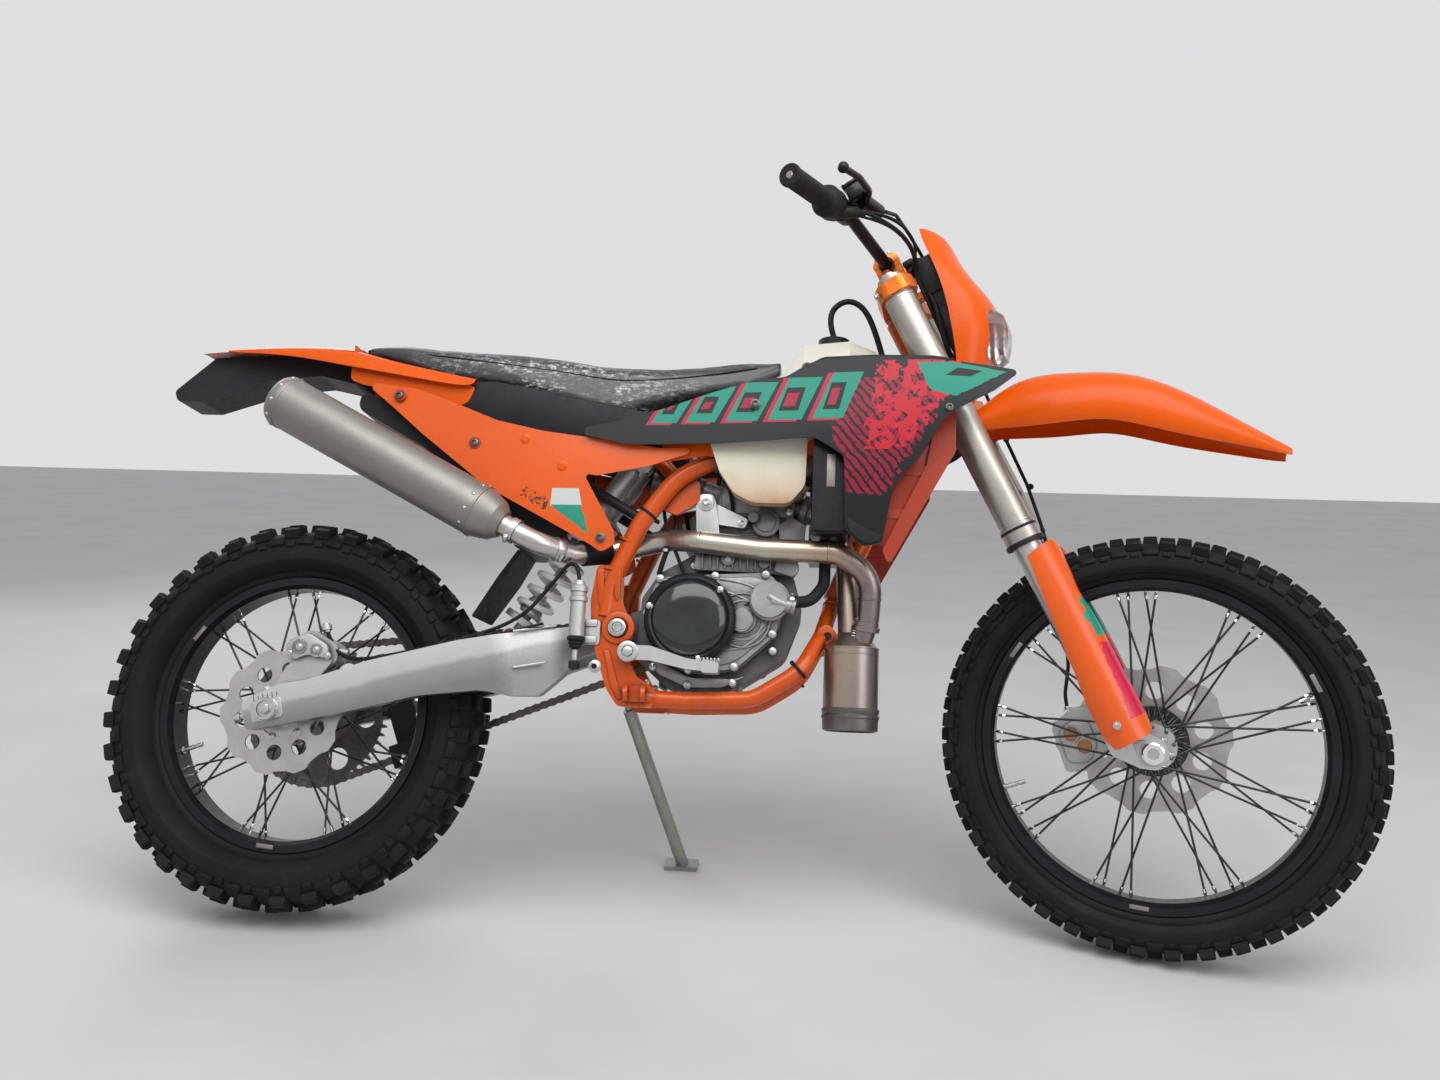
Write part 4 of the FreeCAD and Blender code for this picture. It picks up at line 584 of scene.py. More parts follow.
def tyre_finish():
    """Black rubber, a little dusty in patches, with a fine moulded skin."""
    material, tree, shader, coords = new_finish("tyre")
    slow = noise(tree, coords, 14, 6, 0.65)
    colours = ramp(tree, slow, [(0.3, (0.006, 0.006, 0.006)), (0.62, (0.011, 0.011, 0.011)),
                                (0.85, (0.028, 0.027, 0.025))])
    tree.links.new(colours, shader.inputs["Base Color"])
    fine = noise(tree, coords, 420, 5, 0.7)
    tree.links.new(ramp(tree, fine, [(0.2, 0.56), (0.8, 0.78)]), shader.inputs["Roughness"])
    shader.inputs["Specular IOR Level"].default_value = 0.2
    bumped(tree, shader, fine, 0.22)
    return material


def tank_finish():
    """Aged translucent ivory, darker and browner towards its bottom."""
    material, tree, shader, coords = new_finish("tank_plastic")
    place = mapped(tree, coords, BIKE)
    level = scaled(tree, axes(tree, place)["Z"], 3.4, -2.42)
    wobble = plus(tree, level, times(tree, noise(tree, coords, 30, 3), 0.12))
    colours = ramp(tree, wobble, [(0.02, (0.34, 0.12, 0.06)), (0.14, (0.56, 0.44, 0.30)),
                                  (0.30, (0.64, 0.61, 0.49)), (0.9, (0.68, 0.66, 0.56))])
    tree.links.new(colours, shader.inputs["Base Color"])
    fine = noise(tree, coords, 260)
    tree.links.new(ramp(tree, fine, [(0.2, 0.34), (0.8, 0.50)]), shader.inputs["Roughness"])
    shader.inputs["Subsurface Weight"].default_value = 0.25
    shader.inputs["Subsurface Radius"].default_value = (0.02, 0.014, 0.008)
    bumped(tree, shader, fine, 0.08)
    return material


def heat_finish():
    """Stainless pipe with straw, brown and blue heat bands that follow its length."""
    material, tree, shader, coords = new_finish("heat_steel")
    place = mapped(tree, coords, BIKE)
    along = times(tree, minus(tree, axes(tree, place)["X"], 0.36), 1.5)
    along = plus(tree, along, times(tree, noise(tree, coords, 16), 0.10))
    colours = ramp(tree, along, [(0.0, (0.50, 0.48, 0.45)), (0.40, (0.52, 0.49, 0.44)),
                                 (0.74, (0.50, 0.45, 0.37)), (0.90, (0.42, 0.33, 0.24)),
                                 (1.0, (0.26, 0.22, 0.21))])
    tree.links.new(colours, shader.inputs["Base Color"])
    brushed = noise(tree, stretched(tree, place, (1, 1, 8)), 300, 4)
    tree.links.new(ramp(tree, brushed, [(0.2, 0.22), (0.8, 0.42)]), shader.inputs["Roughness"])
    shader.inputs["Metallic"].default_value = 0.95
    bumped(tree, shader, brushed, 0.06)
    return material


def lens_finish():
    """Clear moulded plastic under a loose film."""
    material, tree, shader, coords = new_finish("clear_lens")
    shader.inputs["Base Color"].default_value = (0.93, 0.95, 0.96, 1)
    shader.inputs["Transmission Weight"].default_value = 0.92
    shader.inputs["IOR"].default_value = 1.30
    crinkle = noise(tree, coords, 90, 5, 0.7)
    tree.links.new(ramp(tree, crinkle, [(0.3, 0.03), (0.7, 0.16)]), shader.inputs["Roughness"])
    bumped(tree, shader, crinkle, 0.35, 0.002)
    return material


def seat_finish():
    """Black vinyl with a pressed grain, under a clear crinkled film on its flanks, with painted white glints
    on the film's creases that stand for its highlights and a little of its haze.
    """
    material, tree, shader, coords = new_finish("seat_cover")
    place = mapped(tree, coords, BIKE)
    cells = tree.nodes.new("ShaderNodeTexVoronoi")
    cells.inputs["Scale"].default_value = 620
    cells.feature = "DISTANCE_TO_EDGE"
    tree.links.new(coords, cells.inputs["Vector"])
    slow = noise(tree, coords, 12)
    vinyl = ramp(tree, slow, [(0.3, (0.012, 0.012, 0.013)), (0.7, (0.026, 0.026, 0.028))])
    folds = noise(tree, stretched(tree, place, (0.7, 1.0, 1.5)), 120, 7, 0.72)
    wide = noise(tree, stretched(tree, place, (0.35, 1.0, 1.2)), 16, 5, 0.6)
    x, y, _ = axes(tree, place)
    flank = times(tree, minus(tree, math_node(tree, "ABSOLUTE", y), 0.060), 30, True)
    # Painted highlights: pale colour on the film's ridges across the flanks, fading towards the tail, in
    # place of the light the crinkled film throws back
    painted_glints = times(tree, ramp(tree, folds, [(0.50, 0.0), (0.60, 1.0)]),
                   ramp(tree, wide, [(0.44, 0.05), (0.58, 1.0)]))
    front = scaled(tree, x, 5.0, -0.75, True)
    painted_glints = times(tree, painted_glints, front)
    share = times(tree, painted_glints, flank)
    tree.links.new(blended(tree, share, vinyl, (0.74, 0.75, 0.76)), shader.inputs["Base Color"])
    tree.links.new(ramp(tree, slow, [(0.3, 0.30), (0.7, 0.46)]), shader.inputs["Roughness"])
    height = plus(tree, times(tree, cells.outputs["Distance"], 0.3),
                  times(tree, folds, plus(tree, times(tree, flank, 1.6), 0.12)))
    bumped(tree, shader, height, 0.55, 0.002)
    shader.inputs["Coat Weight"].default_value = 0.5
    shader.inputs["Coat Roughness"].default_value = 0.12
    return material


def half_plane(tree, x, z, first, second):
    """1 on the left of the line from the first to the second point, 0 on its right."""
    dx, dz = second[0] - first[0], second[1] - first[1]
    cross = minus(tree, times(tree, z, dx), times(tree, x, dz))
    return above(tree, cross, first[1] * dx - first[0] * dz)


def inside(tree, x, z, corners):
    """1 inside a convex outline given counter-clockwise."""
    share = 1.0
    for first, second in zip(corners, corners[1:] + corners[:1]):
        share = times(tree, half_plane(tree, x, z, first, second), share)
    return share


def printed(name, frame_of, rough=0.34, coat=0.05):
    """A printed film on plastic: its material, and x and z of its frame in millimetres."""
    material, tree, shader, coords = new_finish(name)
    across, _, upwards = axes(tree, mapped(tree, coords, frame_of))
    x, z = times(tree, across, 1 / MM), times(tree, upwards, 1 / MM)
    fine = noise(tree, coords, 900, 3)
    tree.links.new(ramp(tree, fine, [(0.3, rough - 0.06), (0.7, rough + 0.08)]), shader.inputs["Roughness"])
    shader.inputs["Coat Weight"].default_value = coat
    shader.inputs["Coat Roughness"].default_value = 0.1
    bumped(tree, shader, fine, 0.04)
    return material, tree, shader, coords, x, z


def torn(tree, coords, value, scale, reach):
    """A coordinate shifted to and fro, for ragged print edges."""
    shift = times(tree, minus(tree, noise(tree, coords, scale, 5, 0.7), 0.5), reach)
    return plus(tree, value, shift)


def shroud_finish(look):
    """Black plastic with slanted teal blocks, a hatched magenta field and red brush marks."""
    material, tree, shader, coords, x, z = printed("shroud_print", BIKE)
    ink = (0.012, 0.013, 0.015)
    ragged = torn(tree, coords, x, 55, 70)
    field = inside(tree, ragged, z, [(955, 728), (1012, 722), (1092, 852), (1112, 925), (935, 925),
                                     (930, 850)])
    slope = plus(tree, times(tree, z, 0.8), torn(tree, coords, x, 40, 16))
    stripes = above(tree, math_node(tree, "SINE", times(tree, slope, 0.42)), -0.35)
    stripes = times(tree, stripes, above(tree, noise(tree, coords, 120, 4, 0.7), 0.40))
    colour = blended(tree, times(tree, field, stripes), ink, shade(look.magenta, 0.62))
    brush = inside(tree, torn(tree, coords, x, 34, 90), z, [(985, 800), (1040, 800), (1112, 890), (1140, 955),
                                                            (1000, 955)])
    marks = above(tree, noise(tree, coords, 62, 5, 0.62), 0.455)
    colour = blended(tree, times(tree, brush, marks), colour, (0.50, 0.020, 0.035))
    for start, width in ((622, 44), (682, 50), (750, 54), (822, 56), (896, 50)):
        low, high = 848 + (start - 600) * 0.02, 906 + (start - 600) * 0.10
        for shift, paint in ((-9, tuple(look.magenta)), (0, tuple(look.teal))):
            slab = inside(tree, x, z, [(start + shift, low + shift * 0.4),
                                       (start + width + shift, low + shift * 0.4),
                                       (start + width + 34 + shift, high), (start + 34 + shift, high)])
            colour = blended(tree, slab, colour, paint)
        notch = inside(tree, x, z, [(start + 17, low + 16), (start + width - 6, low + 16),
                                    (start + width + 6, high - 18), (start + 31, high - 18)])
        colour = blended(tree, notch, colour, ink)
        core = inside(tree, x, z, [(start + 24, low + 24), (start + width - 12, low + 24),
                                   (start + width - 4, high - 28), (start + 32, high - 28)])
        colour = blended(tree, core, colour, shade(look.magenta, 0.8))
    tip = inside(tree, torn(tree, coords, x, 30, 24), z, [(1090, 900), (1130, 890), (1212, 934), (1120, 950),
                                                          (1066, 950)])
    colour = blended(tree, tip, colour, tuple(look.teal))
    slash = inside(tree, x, z, [(1112, 926), (1152, 924), (1172, 934), (1132, 940)])
    colour = blended(tree, slash, colour, ink)
    tree.links.new(colour, shader.inputs["Base Color"])
    shader.inputs["Specular IOR Level"].default_value = 0.22
    return material


def moulded_orange(tree, coords, look):
    """The panels' orange, a little uneven."""
    return ramp(tree, noise(tree, coords, 5), [(0.3, shade(look.orange, 0.96)),
                                               (0.7, shade(look.orange, 1.04))])


def panel_finish(look):
    """Orange side panel with a small silver and teal flash by its lower corner."""
    material, tree, shader, coords, x, z = printed("panel_print", BIKE, 0.28)
    colour = moulded_orange(tree, coords, look)
    hatch = inside(tree, x, z, [(398, 722), (446, 694), (450, 716), (404, 740)])
    broken = above(tree, noise(tree, coords, 150, 4, 0.7), 0.52)
    colour = blended(tree, times(tree, hatch, broken), colour, (0.05, 0.02, 0.015))
    silver = inside(tree, x, z, [(453, 704), (509, 704), (502, 735), (455, 735)])
    colour = blended(tree, silver, colour, (0.56, 0.60, 0.58))
    teal = inside(tree, torn(tree, coords, x, 60, 18), z, [(460, 700), (522, 656), (509, 706), (456, 706)])
    colour = blended(tree, teal, colour, tuple(look.teal))
    tree.links.new(colour, shader.inputs["Base Color"])
    return material


def guard_finish(look):
    """Orange fork guard with a magenta and teal flash down its front edge."""
    material, tree, shader, coords, x, z = printed("guard_print", FORK, 0.28)
    colour = moulded_orange(tree, coords, look)
    ragged = torn(tree, coords, x, 50, 26)
    flash = inside(tree, ragged, z, [(46, 62), (90, 62), (90, 176), (58, 190)])
    colour = blended(tree, flash, colour, (0.58, 0.008, 0.052))
    flash = inside(tree, ragged, z, [(56, 200), (90, 196), (90, 262), (60, 268)])
    colour = blended(tree, flash, colour, tuple(look.teal))
    tree.links.new(colour, shader.inputs["Base Color"])
    return material


# Solids by their finish
FINISHED_NODES = {
    "orange_alloy": ("fork_clamps",),
    "fork_alloy": ("fork_tubes",),
    "bare_alloy": ("fork_lowers", "front_hub", "rear_hub", "head_stays", "brake_pedal", "gear_lever"),
    "guard_print": ("fork_guards",),
    "steel": ("front_axle", "rear_axle", "pivot_bolt", "shock_bolt"),
    "cast_alloy": ("front_caliper", "rear_caliper", "shock_body", "rear_master_cylinder"),
    "black_alloy": ("handlebar", "controls", "front_rim", "rear_rim", "radiators"),
    "black_rubber": ("grips", "brake_hose", "mud_flap", "coolant_hose"),
    "black_plastic": ("instrument", "subframe", "chain_guide", "fuel_cap", "tail_piece", "airbox"),
    "orange_plastic": ("front_fender", "headlight_mask", "rear_fender"),
    "clear_lens": ("headlight_lens",),
    "tyre": ("front_tyre", "rear_tyre"),
    "disc_steel": ("front_disc", "rear_disc"),
    "dark_steel": ("rear_sprocket", "front_sprocket", "chain"),
    "orange_frame": ("main_frame", "frame_brackets"),
    "engine_dark": ("crankcase",),
    "engine_alloy": ("engine_covers", "cylinder"),
    "heat_steel": ("exhaust_pipe",),
    "silencer_alloy": ("silencer",),
    "arm_alloy": ("swingarm",),
    "white_steel": ("shock_spring",),
    "tank_plastic": ("fuel_tank",),
    "panel_print": ("side_panel_right", "side_panel_left"),
    "shroud_print": ("shroud_right", "shroud_left"),
    # The radiator guards' orange, painted as the darker red it shows in shade
    "red_plastic": ("radiator_guards",),
    "seat_cover": ("seat",),
    "olive_steel": ("side_stand",),
}
NODE_FINISH = {node: finish for finish, nodes in FINISHED_NODES.items() for node in nodes}
# The finished materials by name, filled by the first operator
FINISH = {}


# Settings a user may change

class LookSettings(bpy.types.PropertyGroup):
    orange: FloatVectorProperty(name="Orange", description="Colour of the panels and the frame",
                                subtype="COLOR", default=(0.72, 0.094, 0.001), min=0.0, max=1.0)
    teal: FloatVectorProperty(name="Teal", description="Colour of the printed blocks", subtype="COLOR",
                              default=(0.015, 0.26, 0.18), min=0.0, max=1.0)
    magenta: FloatVectorProperty(name="Magenta", description="Colour of the brushed field", subtype="COLOR",
                                 default=(0.44, 0.018, 0.055), min=0.0, max=1.0)


class WheelSettings(bpy.types.PropertyGroup):
    front_radius: FloatProperty(name="Front radius", description="Front tyre over its lugs",
                                subtype="DISTANCE", default=0.350, min=0.2)
    rear_radius: FloatProperty(name="Rear radius", description="Rear tyre over its lugs", subtype="DISTANCE",
                               default=0.340, min=0.2)
    front_rows: IntProperty(name="Front rows", description="Lug rows round the front tyre", default=40, min=8)
    rear_rows: IntProperty(name="Rear rows", description="Lug rows round the rear tyre", default=36, min=8)


class StageSettings(bpy.types.PropertyGroup):
    floor_size: FloatProperty(name="Floor size", description="Width of the floor", subtype="DISTANCE",
                              default=30.0)
    lamp_power: FloatProperty(name="Lamp power", description="Power of the main soft lamp",
                              default=95.0, min=0.0)


class MOTO_OT_finishes(bpy.types.Operator):
    """Gives every solid of the frame its finish"""
    bl_idname = "moto.finishes"
    bl_label = "Finishes"

    def execute(self, context):
        FINISH.update(make_finishes(context.scene.moto_look))
        for name, node in NODES.items():
            node.data.materials.clear()
            node.data.materials.append(FINISH[NODE_FINISH[name]])
            activate(node)
            bpy.ops.object.shade_smooth_by_angle(angle=math.radians(32))
        return {"FINISHED"}


# Wheels

def lug(length, width, height, taper):
    """A tread block standing on the origin, narrower at its top."""
    block = box((0, 0, height / 2 - 1.5), (length, width, height + 3), 0)
    pick_faces(block, lambda face: face.normal.z > 0.9)
    bpy.ops.transform.resize(value=(taper, 0.92, 1))
    bpy.ops.object.mode_set(mode="OBJECT")
    return round_edges(block, 1.1, 1)


def tyre_mesh(radius, width, lug_h, rows, rim_r, rim_w):
    """A carcass with rounded sidewalls and its knobs, row by row."""
    half = width / 2
    crown = radius - lug_h
    low = rim_r + 0.30 * (crown - rim_r)
    side = [(0, crown), (0.16 * width, crown - 0.008 * width), (0.30 * width, crown - 0.04 * width),
            (0.40 * width, crown - 0.095 * width), (half - 4, crown - 0.17 * width),
            (half - 1.6, crown - 0.29 * width), (half - 1, crown - 0.42 * width),
            (half - 0.015 * width, (low + crown - 0.42 * width) / 2), (half - 0.04 * width, low),
            (half - 0.10 * width, low - 0.35 * (low - rim_r)), (rim_w / 2 + 2.5, rim_r + 11),
            (rim_w / 2 + 2.0, rim_r + 7), (rim_w / 2, rim_r + 4), (rim_w / 2 - 4.6, rim_r + 0.4),
            (rim_w / 2 - 6, rim_r - 8)]
    profile = [(-y, r) for y, r in side[:0:-1]] + side
    carcass = turned(profile + profile[:1], steps=112)
    pitch = math.tau * radius / rows
    shoulder_r = crown - 0.052 * width
    kinds = [
        (0.0, 0.085 * width, crown, 0, lug(0.44 * pitch, 0.145 * width, lug_h, 0.86)),
        (0.5, 0.275 * width, crown - 0.030 * width, 9, lug(0.48 * pitch, 0.145 * width, lug_h, 0.86)),
        (0.5, 0.425 * width, shoulder_r - 0.055 * width, 26,
         lug(0.48 * pitch, 0.115 * width, lug_h * 1.02, 0.84)),
        (0.0, half - 3.2, crown - 0.185 * width, 62, lug(0.50 * pitch, 0.13 * width, lug_h * 0.26, 0.9)),
        (0.5, half - 2.4, crown - 0.225 * width, 72, lug(0.26 * pitch, 0.10 * width, lug_h * 0.22, 0.9)),
    ]
    parts = [carcass]
    for phase, across, reach, tilt, model in kinds:
        places = []
        for row in range(rows):
            turn = Matrix.Rotation(math.tau * (row + phase) / rows, 4, "Y")
            for sign in (-1, 1):
                lean = Matrix.Rotation(math.radians(-sign * tilt), 4, "X")
                places.append(turn @ Matrix.Translation(Vector((0, sign * across, reach)) * MM) @ lean)
        parts.append(scattered(model, places))
    return joined(parts)


def spoke_lines(flange_r, flange_y, floor_r, count=36, sweep=52.0, flange_t=8.0):
    """Start and end of every spoke, as (x, y, z) pairs about the axle."""
    lines = []
    per_side = count // 2
    for side in (-1, 1):
        for i in range(per_side):
            outer = i % 2 == 0
            hub_angle = math.radians(360.0 * i / per_side + (0 if side > 0 else 180.0 / per_side))
            rim_angle = hub_angle + math.radians(sweep if outer else -sweep)
            hub_y = side * (flange_y + (flange_t / 2 - 0.5 if outer else 0.5 - flange_t / 2))
            rim_y = side * (8.0 if outer else 3.0)
            lines.append((Vector((flange_r * math.cos(hub_angle), hub_y, flange_r * math.sin(hub_angle))),
                          Vector((floor_r * math.cos(rim_angle), rim_y, floor_r * math.sin(rim_angle))),
                          outer))
    return lines


def on_rim(degrees, reach):
    """A point at an angle round the wheel and the direction from it to the axle."""
    out = Vector((math.cos(math.radians(degrees)), 0, math.sin(math.radians(degrees))))
    return out * reach, -out


# Depth of the rim's floor under its edge, and where the valve, the rim lock and the labels sit, in degrees
RIM_DEPTH = 19
VALVE_AT, LOCK_AT, LABELS_AT = 200, 20, (65, 185, 305)


def dress_wheel(name, place, tyre, flange, disc):
    """Tyre, spoke nipples, valve, rim lock and the disc's fasteners of one wheel.

    The tyre has its radius, width, lug height, lug rows, rim radius and rim width; the flange its radius and
    distance across; the disc its distance across, the radius of its bolts and the side that they face."""
    rim_r, rim_w = tyre[4:]
    flange_r, flange_y = flange
    floor_r = rim_r - RIM_DEPTH
    mount = (place, name + "_wheel")
    present(tyre_mesh(*tyre), name + "_tyre_knobs", mount, "tyre", replaced=[name + "_tyre"], smooth=40)
    lines = spoke_lines(flange_r, flange_y, floor_r)
    nipple = turned([(0, 2.2), (0, 3.1), (7, 3.1), (8, 2.4), (14, 2.4), (14, 0.1)], along=UP, steps=8)
    places = [aimed(end - (end - start).normalized() * 13.5, end - start) for start, end, outer in lines]
    present(scattered(nipple, places), name + "_nipples", mount, "chrome", "bare_alloy")
    head = turned([(-1.2, 0.1), (-1.2, 3.2), (0.6, 3.6), (1.8, 2.2), (1.8, 0.1)], along=UP, steps=10)
    places = []
    for start, end, outer in lines:
        facing = math.copysign(1 if outer else -1, start.y)
        places.append(aimed(start + Vector((0, 1.4 * facing, 0)), (0, facing, 0)))
    present(scattered(head, places), name + "_spoke_heads", mount, "dark_steel")
    stem = turned([(-1, 0.1), (-1, 6.5), (2.5, 6.5), (3, 4), (24, 4), (24.5, 3.2), (27, 3.2),
                   (27.5, 4.2), (37, 4.2), (38, 3.4), (38, 0.1)], *on_rim(VALVE_AT, floor_r), 14)
    lock = turned([(-1, 0.1), (-1, 9), (2, 9), (2, 6.5), (7, 6.5), (7, 4), (22, 4), (22, 0.1)],
                  *on_rim(LOCK_AT, floor_r), 6)
    present(joined([stem, lock]), name + "_valve", mount, "steel")
    disc_y, seat_r, side = disc
    screws = bolts(round_places((0, disc_y, 0), seat_r, 6, (0, side, 0), 12), 5.2, 3.4)
    present(screws, name + "_disc_bolts", mount, "steel")
    label = box((0, 0, rim_r - RIM_DEPTH / 2), (30, rim_w + 0.7, 7), 0.2)
    places = [Matrix.Rotation(math.radians(angle), 4, "Y") for angle in LABELS_AT]
    present(scattered(label, places), name + "_rim_labels", mount, "silencer_alloy", "bare_alloy")


def paint_hub(name, place, reach):
    """Gives the spokes of a hub solid their own dark finish."""
    node = NODES[name]
    node.data.materials.append(FINISH["spoke_steel"])
    inverse = place.inverted()
    for face in node.data.polygons:
        centre = inverse @ face.center
        if math.hypot(centre.x, centre.z) > reach * MM:
            face.material_index = 1


class MOTO_OT_wheels(bpy.types.Operator):
    """Adds the tyres, nipples, valves and fasteners of both wheels"""
    bl_idname = "moto.wheels"
    bl_label = "Wheels"

    def execute(self, context):
        settings = context.scene.moto_wheels
        front = (settings.front_radius / MM, 90.0, 11.0, settings.front_rows, 277.0, 50.0)
        rear = (settings.rear_radius / MM, 132.0, 13.0, settings.rear_rows, 240.0, 66.0)
        dress_wheel("front", FRONT_WHEEL, front, (33.0, 33.0), (69.6, 57.0, 1))
        dress_wheel("rear", REAR_WHEEL, rear, (52.0, 37.0), (-74.0, 47.0, -1))
        paint_hub("front_hub", FRONT_WHEEL, 40.5)
        paint_hub("rear_hub", REAR_WHEEL, 60.5)
        cups = [turned([(58, 22), (80, 22), (80, 17), (78, 15), (78, 12)], along=(0, side, 0), edge=0.6)
                for side in (-1, 1)]
        present(joined(cups), "front_hub_caps", (FRONT_WHEEL, "front_wheel"), "bare_alloy")
        nuts = bolts(round_places((0, 83.6, 0), 62, 6, (0, 1, 0)), 6, 5)
        present(nuts, "sprocket_bolts", (REAR_WHEEL, "rear_wheel"), "steel")
        return {"FINISHED"}


# Drive

# The chain's line across, its links, and the pitch radii and middles of its sprockets
CHAIN_Y = 80
LINKS = 120
REAR_PITCH_R, FRONT_PITCH_R = 126.4, 33.2
REAR_SPROCKET, FRONT_SPROCKET = (0, CHAIN_Y, REAR_AXLE_Z / MM), (668, CHAIN_Y, 512)


def chain_places():
    """Centre and direction of every link along the closed chain line, and the pitch."""
    rear, front = Vector(REAR_SPROCKET), Vector(FRONT_SPROCKET)
    run = front - rear
    lean = math.asin((REAR_PITCH_R - FRONT_PITCH_R) / run.length)
    slope = math.atan2(run.z, run.x)
    straight = run.length * math.cos(lean)
    quarter = math.pi / 2
    upper, lower = slope - lean + quarter, slope + lean - quarter
    # Centre, radius, angle at its start and length of each span, and whether it bends round its centre
    spans = [(rear, REAR_PITCH_R, upper, straight, False),
             (front, FRONT_PITCH_R, upper, FRONT_PITCH_R * (math.pi - 2 * lean), True),
             (front, FRONT_PITCH_R, lower, straight, False),
             (rear, REAR_PITCH_R, lower, REAR_PITCH_R * (math.pi + 2 * lean), True)]
    total = sum(span[3] for span in spans)
    places = []
    for i in range(LINKS):
        reach = total * i / LINKS
        for centre, radius, angle, length, bends in spans:
            if reach < length:
                break
            reach -= length
        if bends:
            angle -= reach / radius
        out = Vector((math.cos(angle), 0, math.sin(angle)))
        along = Vector((math.cos(angle - quarter), 0, math.sin(angle - quarter)))
        places.append((centre + out * radius + along * (0 if bends else reach), along))
    return places, total / LINKS


def link_plate(pitch, radius, y_from, y_to):
    """A waisted side plate round two pins."""
    points = []
    for side in (1, -1):
        for k in range(6):
            angle = math.radians((-75 if side > 0 else 105) + 30 * k)
            points.append((side * pitch / 2 + radius * math.cos(angle), radius * math.sin(angle)))
        points.append((0, side * radius * 0.72))
    return plate(points, y_from, y_to, 0, 0)


def level_at(at, along):
    """The matrix that takes a link to a point and turns its length along a direction."""
    return Matrix.Translation(at * MM) @ Matrix.Rotation(-math.atan2(along.z, along.x), 4, "Y")


class MOTO_OT_chain(bpy.types.Operator):
    """Adds the drive chain, link by link"""
    bl_idname = "moto.chain"
    bl_label = "Chain"

    def execute(self, context):
        places, pitch = chain_places()
        wide = joined([link_plate(pitch, 7.2, 5.5, 6.7), link_plate(pitch, 7.2, -6.7, -5.5)])
        slim = joined([link_plate(pitch, 7.0, 4.1, 5.3), link_plate(pitch, 7.0, -5.3, -4.1)])
        roller = joined([rod((0, -4, 0), (0, 4, 0), 5, 12, 0), rod((0, -7.4, 0), (0, 7.4, 0), 2.6, 10, 0.3)])
        following = places[1:] + places[:1]
        middles = [level_at((at + later) / 2, later - at) for (at, _), (later, _) in zip(places, following)]
        pins = [level_at(at, later - at) for (at, _), (later, _) in zip(places, following)]
        parts = [scattered(wide, middles[::2]), scattered(slim, middles[1::2]), scattered(roller, pins)]
        present(joined(parts), "chain_links", ON_BIKE, "dark_steel", replaced=["chain"])
        return {"FINISHED"}


# Seat

# Place along, height of the lower and the upper edge, and half width at the top, station by station
SEAT_STATIONS = [(66, 984, 1012, 80), (180, 959, 1010, 92), (300, 934, 1002, 94), (450, 897, 990, 95),
                 (544, 873, 980, 90), (627, 897, 980, 82), (721, 930, 994, 66), (796, 955, 1010, 54)]
SEAM_DROP = 0.30
# The cushion's grid and its inset before the cloth run, in metres
SEAT_VOXEL, SEAT_INSET = 0.006, 0.0035
# Pressure in the cloth run, and the farthest swell in millimetres
SEAT_PRESSURE, SEAT_SWELL = 4.0, 6.0
CLOTH_FRAMES = 20


def swollen(obj, pressure, limit):
    """Lets a cloth swell a little under pressure and keeps every point near its start."""
    before = [vertex.co.copy() for vertex in obj.data.vertices]
    activate(obj)
    modifier = obj.modifiers.new("Cloth", "CLOTH")
    modifier.settings.use_pressure = True
    modifier.settings.uniform_pressure_force = pressure
    modifier.settings.effector_weights.gravity = 0
    modifier.settings.quality = 5
    modifier.settings.mass = 0.4
    modifier.point_cache.frame_start = 1
    modifier.point_cache.frame_end = CLOTH_FRAMES
    scene = bpy.context.scene
    for step in range(1, CLOTH_FRAMES + 1):
        scene.frame_set(step)
    bpy.ops.object.modifier_apply(modifier=modifier.name)
    for vertex, start in zip(obj.data.vertices, before):
        move = vertex.co - start
        if move.length > limit * MM:
            vertex.co = start + move.normalized() * limit * MM
    scene.frame_set(1)


def copied_node(name, place):
    """A clean copy of a solid's mesh, taken into a place's own axes."""
    node = NODES[name]
    twin = node.copy()
    twin.data = node.data.copy()
    twin.parent = None
    bpy.context.scene.collection.objects.link(twin)
    twin.matrix_world = Matrix.Identity(4)
    twin.data.transform(place.inverted() @ node.matrix_world)
    outward(twin)
    return twin


class MOTO_OT_seat(bpy.types.Operator):
    """Adds the padded seat with its seams"""
    bl_idname = "moto.seat"
    bl_label = "Seat"

    def execute(self, context):
        cushion = copied_node("seat", BIKE)
        apply_modifier(cushion, "REMESH", mode="VOXEL", voxel_size=SEAT_VOXEL)
        pick_faces(cushion, lambda face: True)
        bpy.ops.transform.shrink_fatten(value=-SEAT_INSET)
        bpy.ops.mesh.vertices_smooth(factor=0.5, repeat=4)
        bpy.ops.object.mode_set(mode="OBJECT")
        swollen(cushion, SEAT_PRESSURE, SEAT_SWELL)
        apply_modifier(cushion, "SUBSURF", levels=1, render_levels=1)
        seams = []
        for side in (-1, 1):
            points = []
            for x, low, high, half in SEAT_STATIONS:
                guess = Vector((x, side * half, high - (high - low) * SEAM_DROP)) * MM
                points.append(cushion.closest_point_on_mesh(guess)[1] / MM)
            seams.append(hose([(p.x, p.y + side * 0.2, p.z) for p in points], 1.5))
        film = present(cushion, "seat_cushion", ON_BIKE, "seat_cover", replaced=["seat"], smooth=60)
        present(joined(seams), "seat_piping", ON_BIKE, "black_rubber", "seat_cover")
        return {"FINISHED"}


# Engine

def grown(points, factor):
    """An outline scaled about its middle."""
    cx = sum(p[0] for p in points) / len(points)
    cz = sum(p[1] for p in points) / len(points)
    return [(cx + (x - cx) * factor, cz + (z - cz) * factor) for x, z in points]


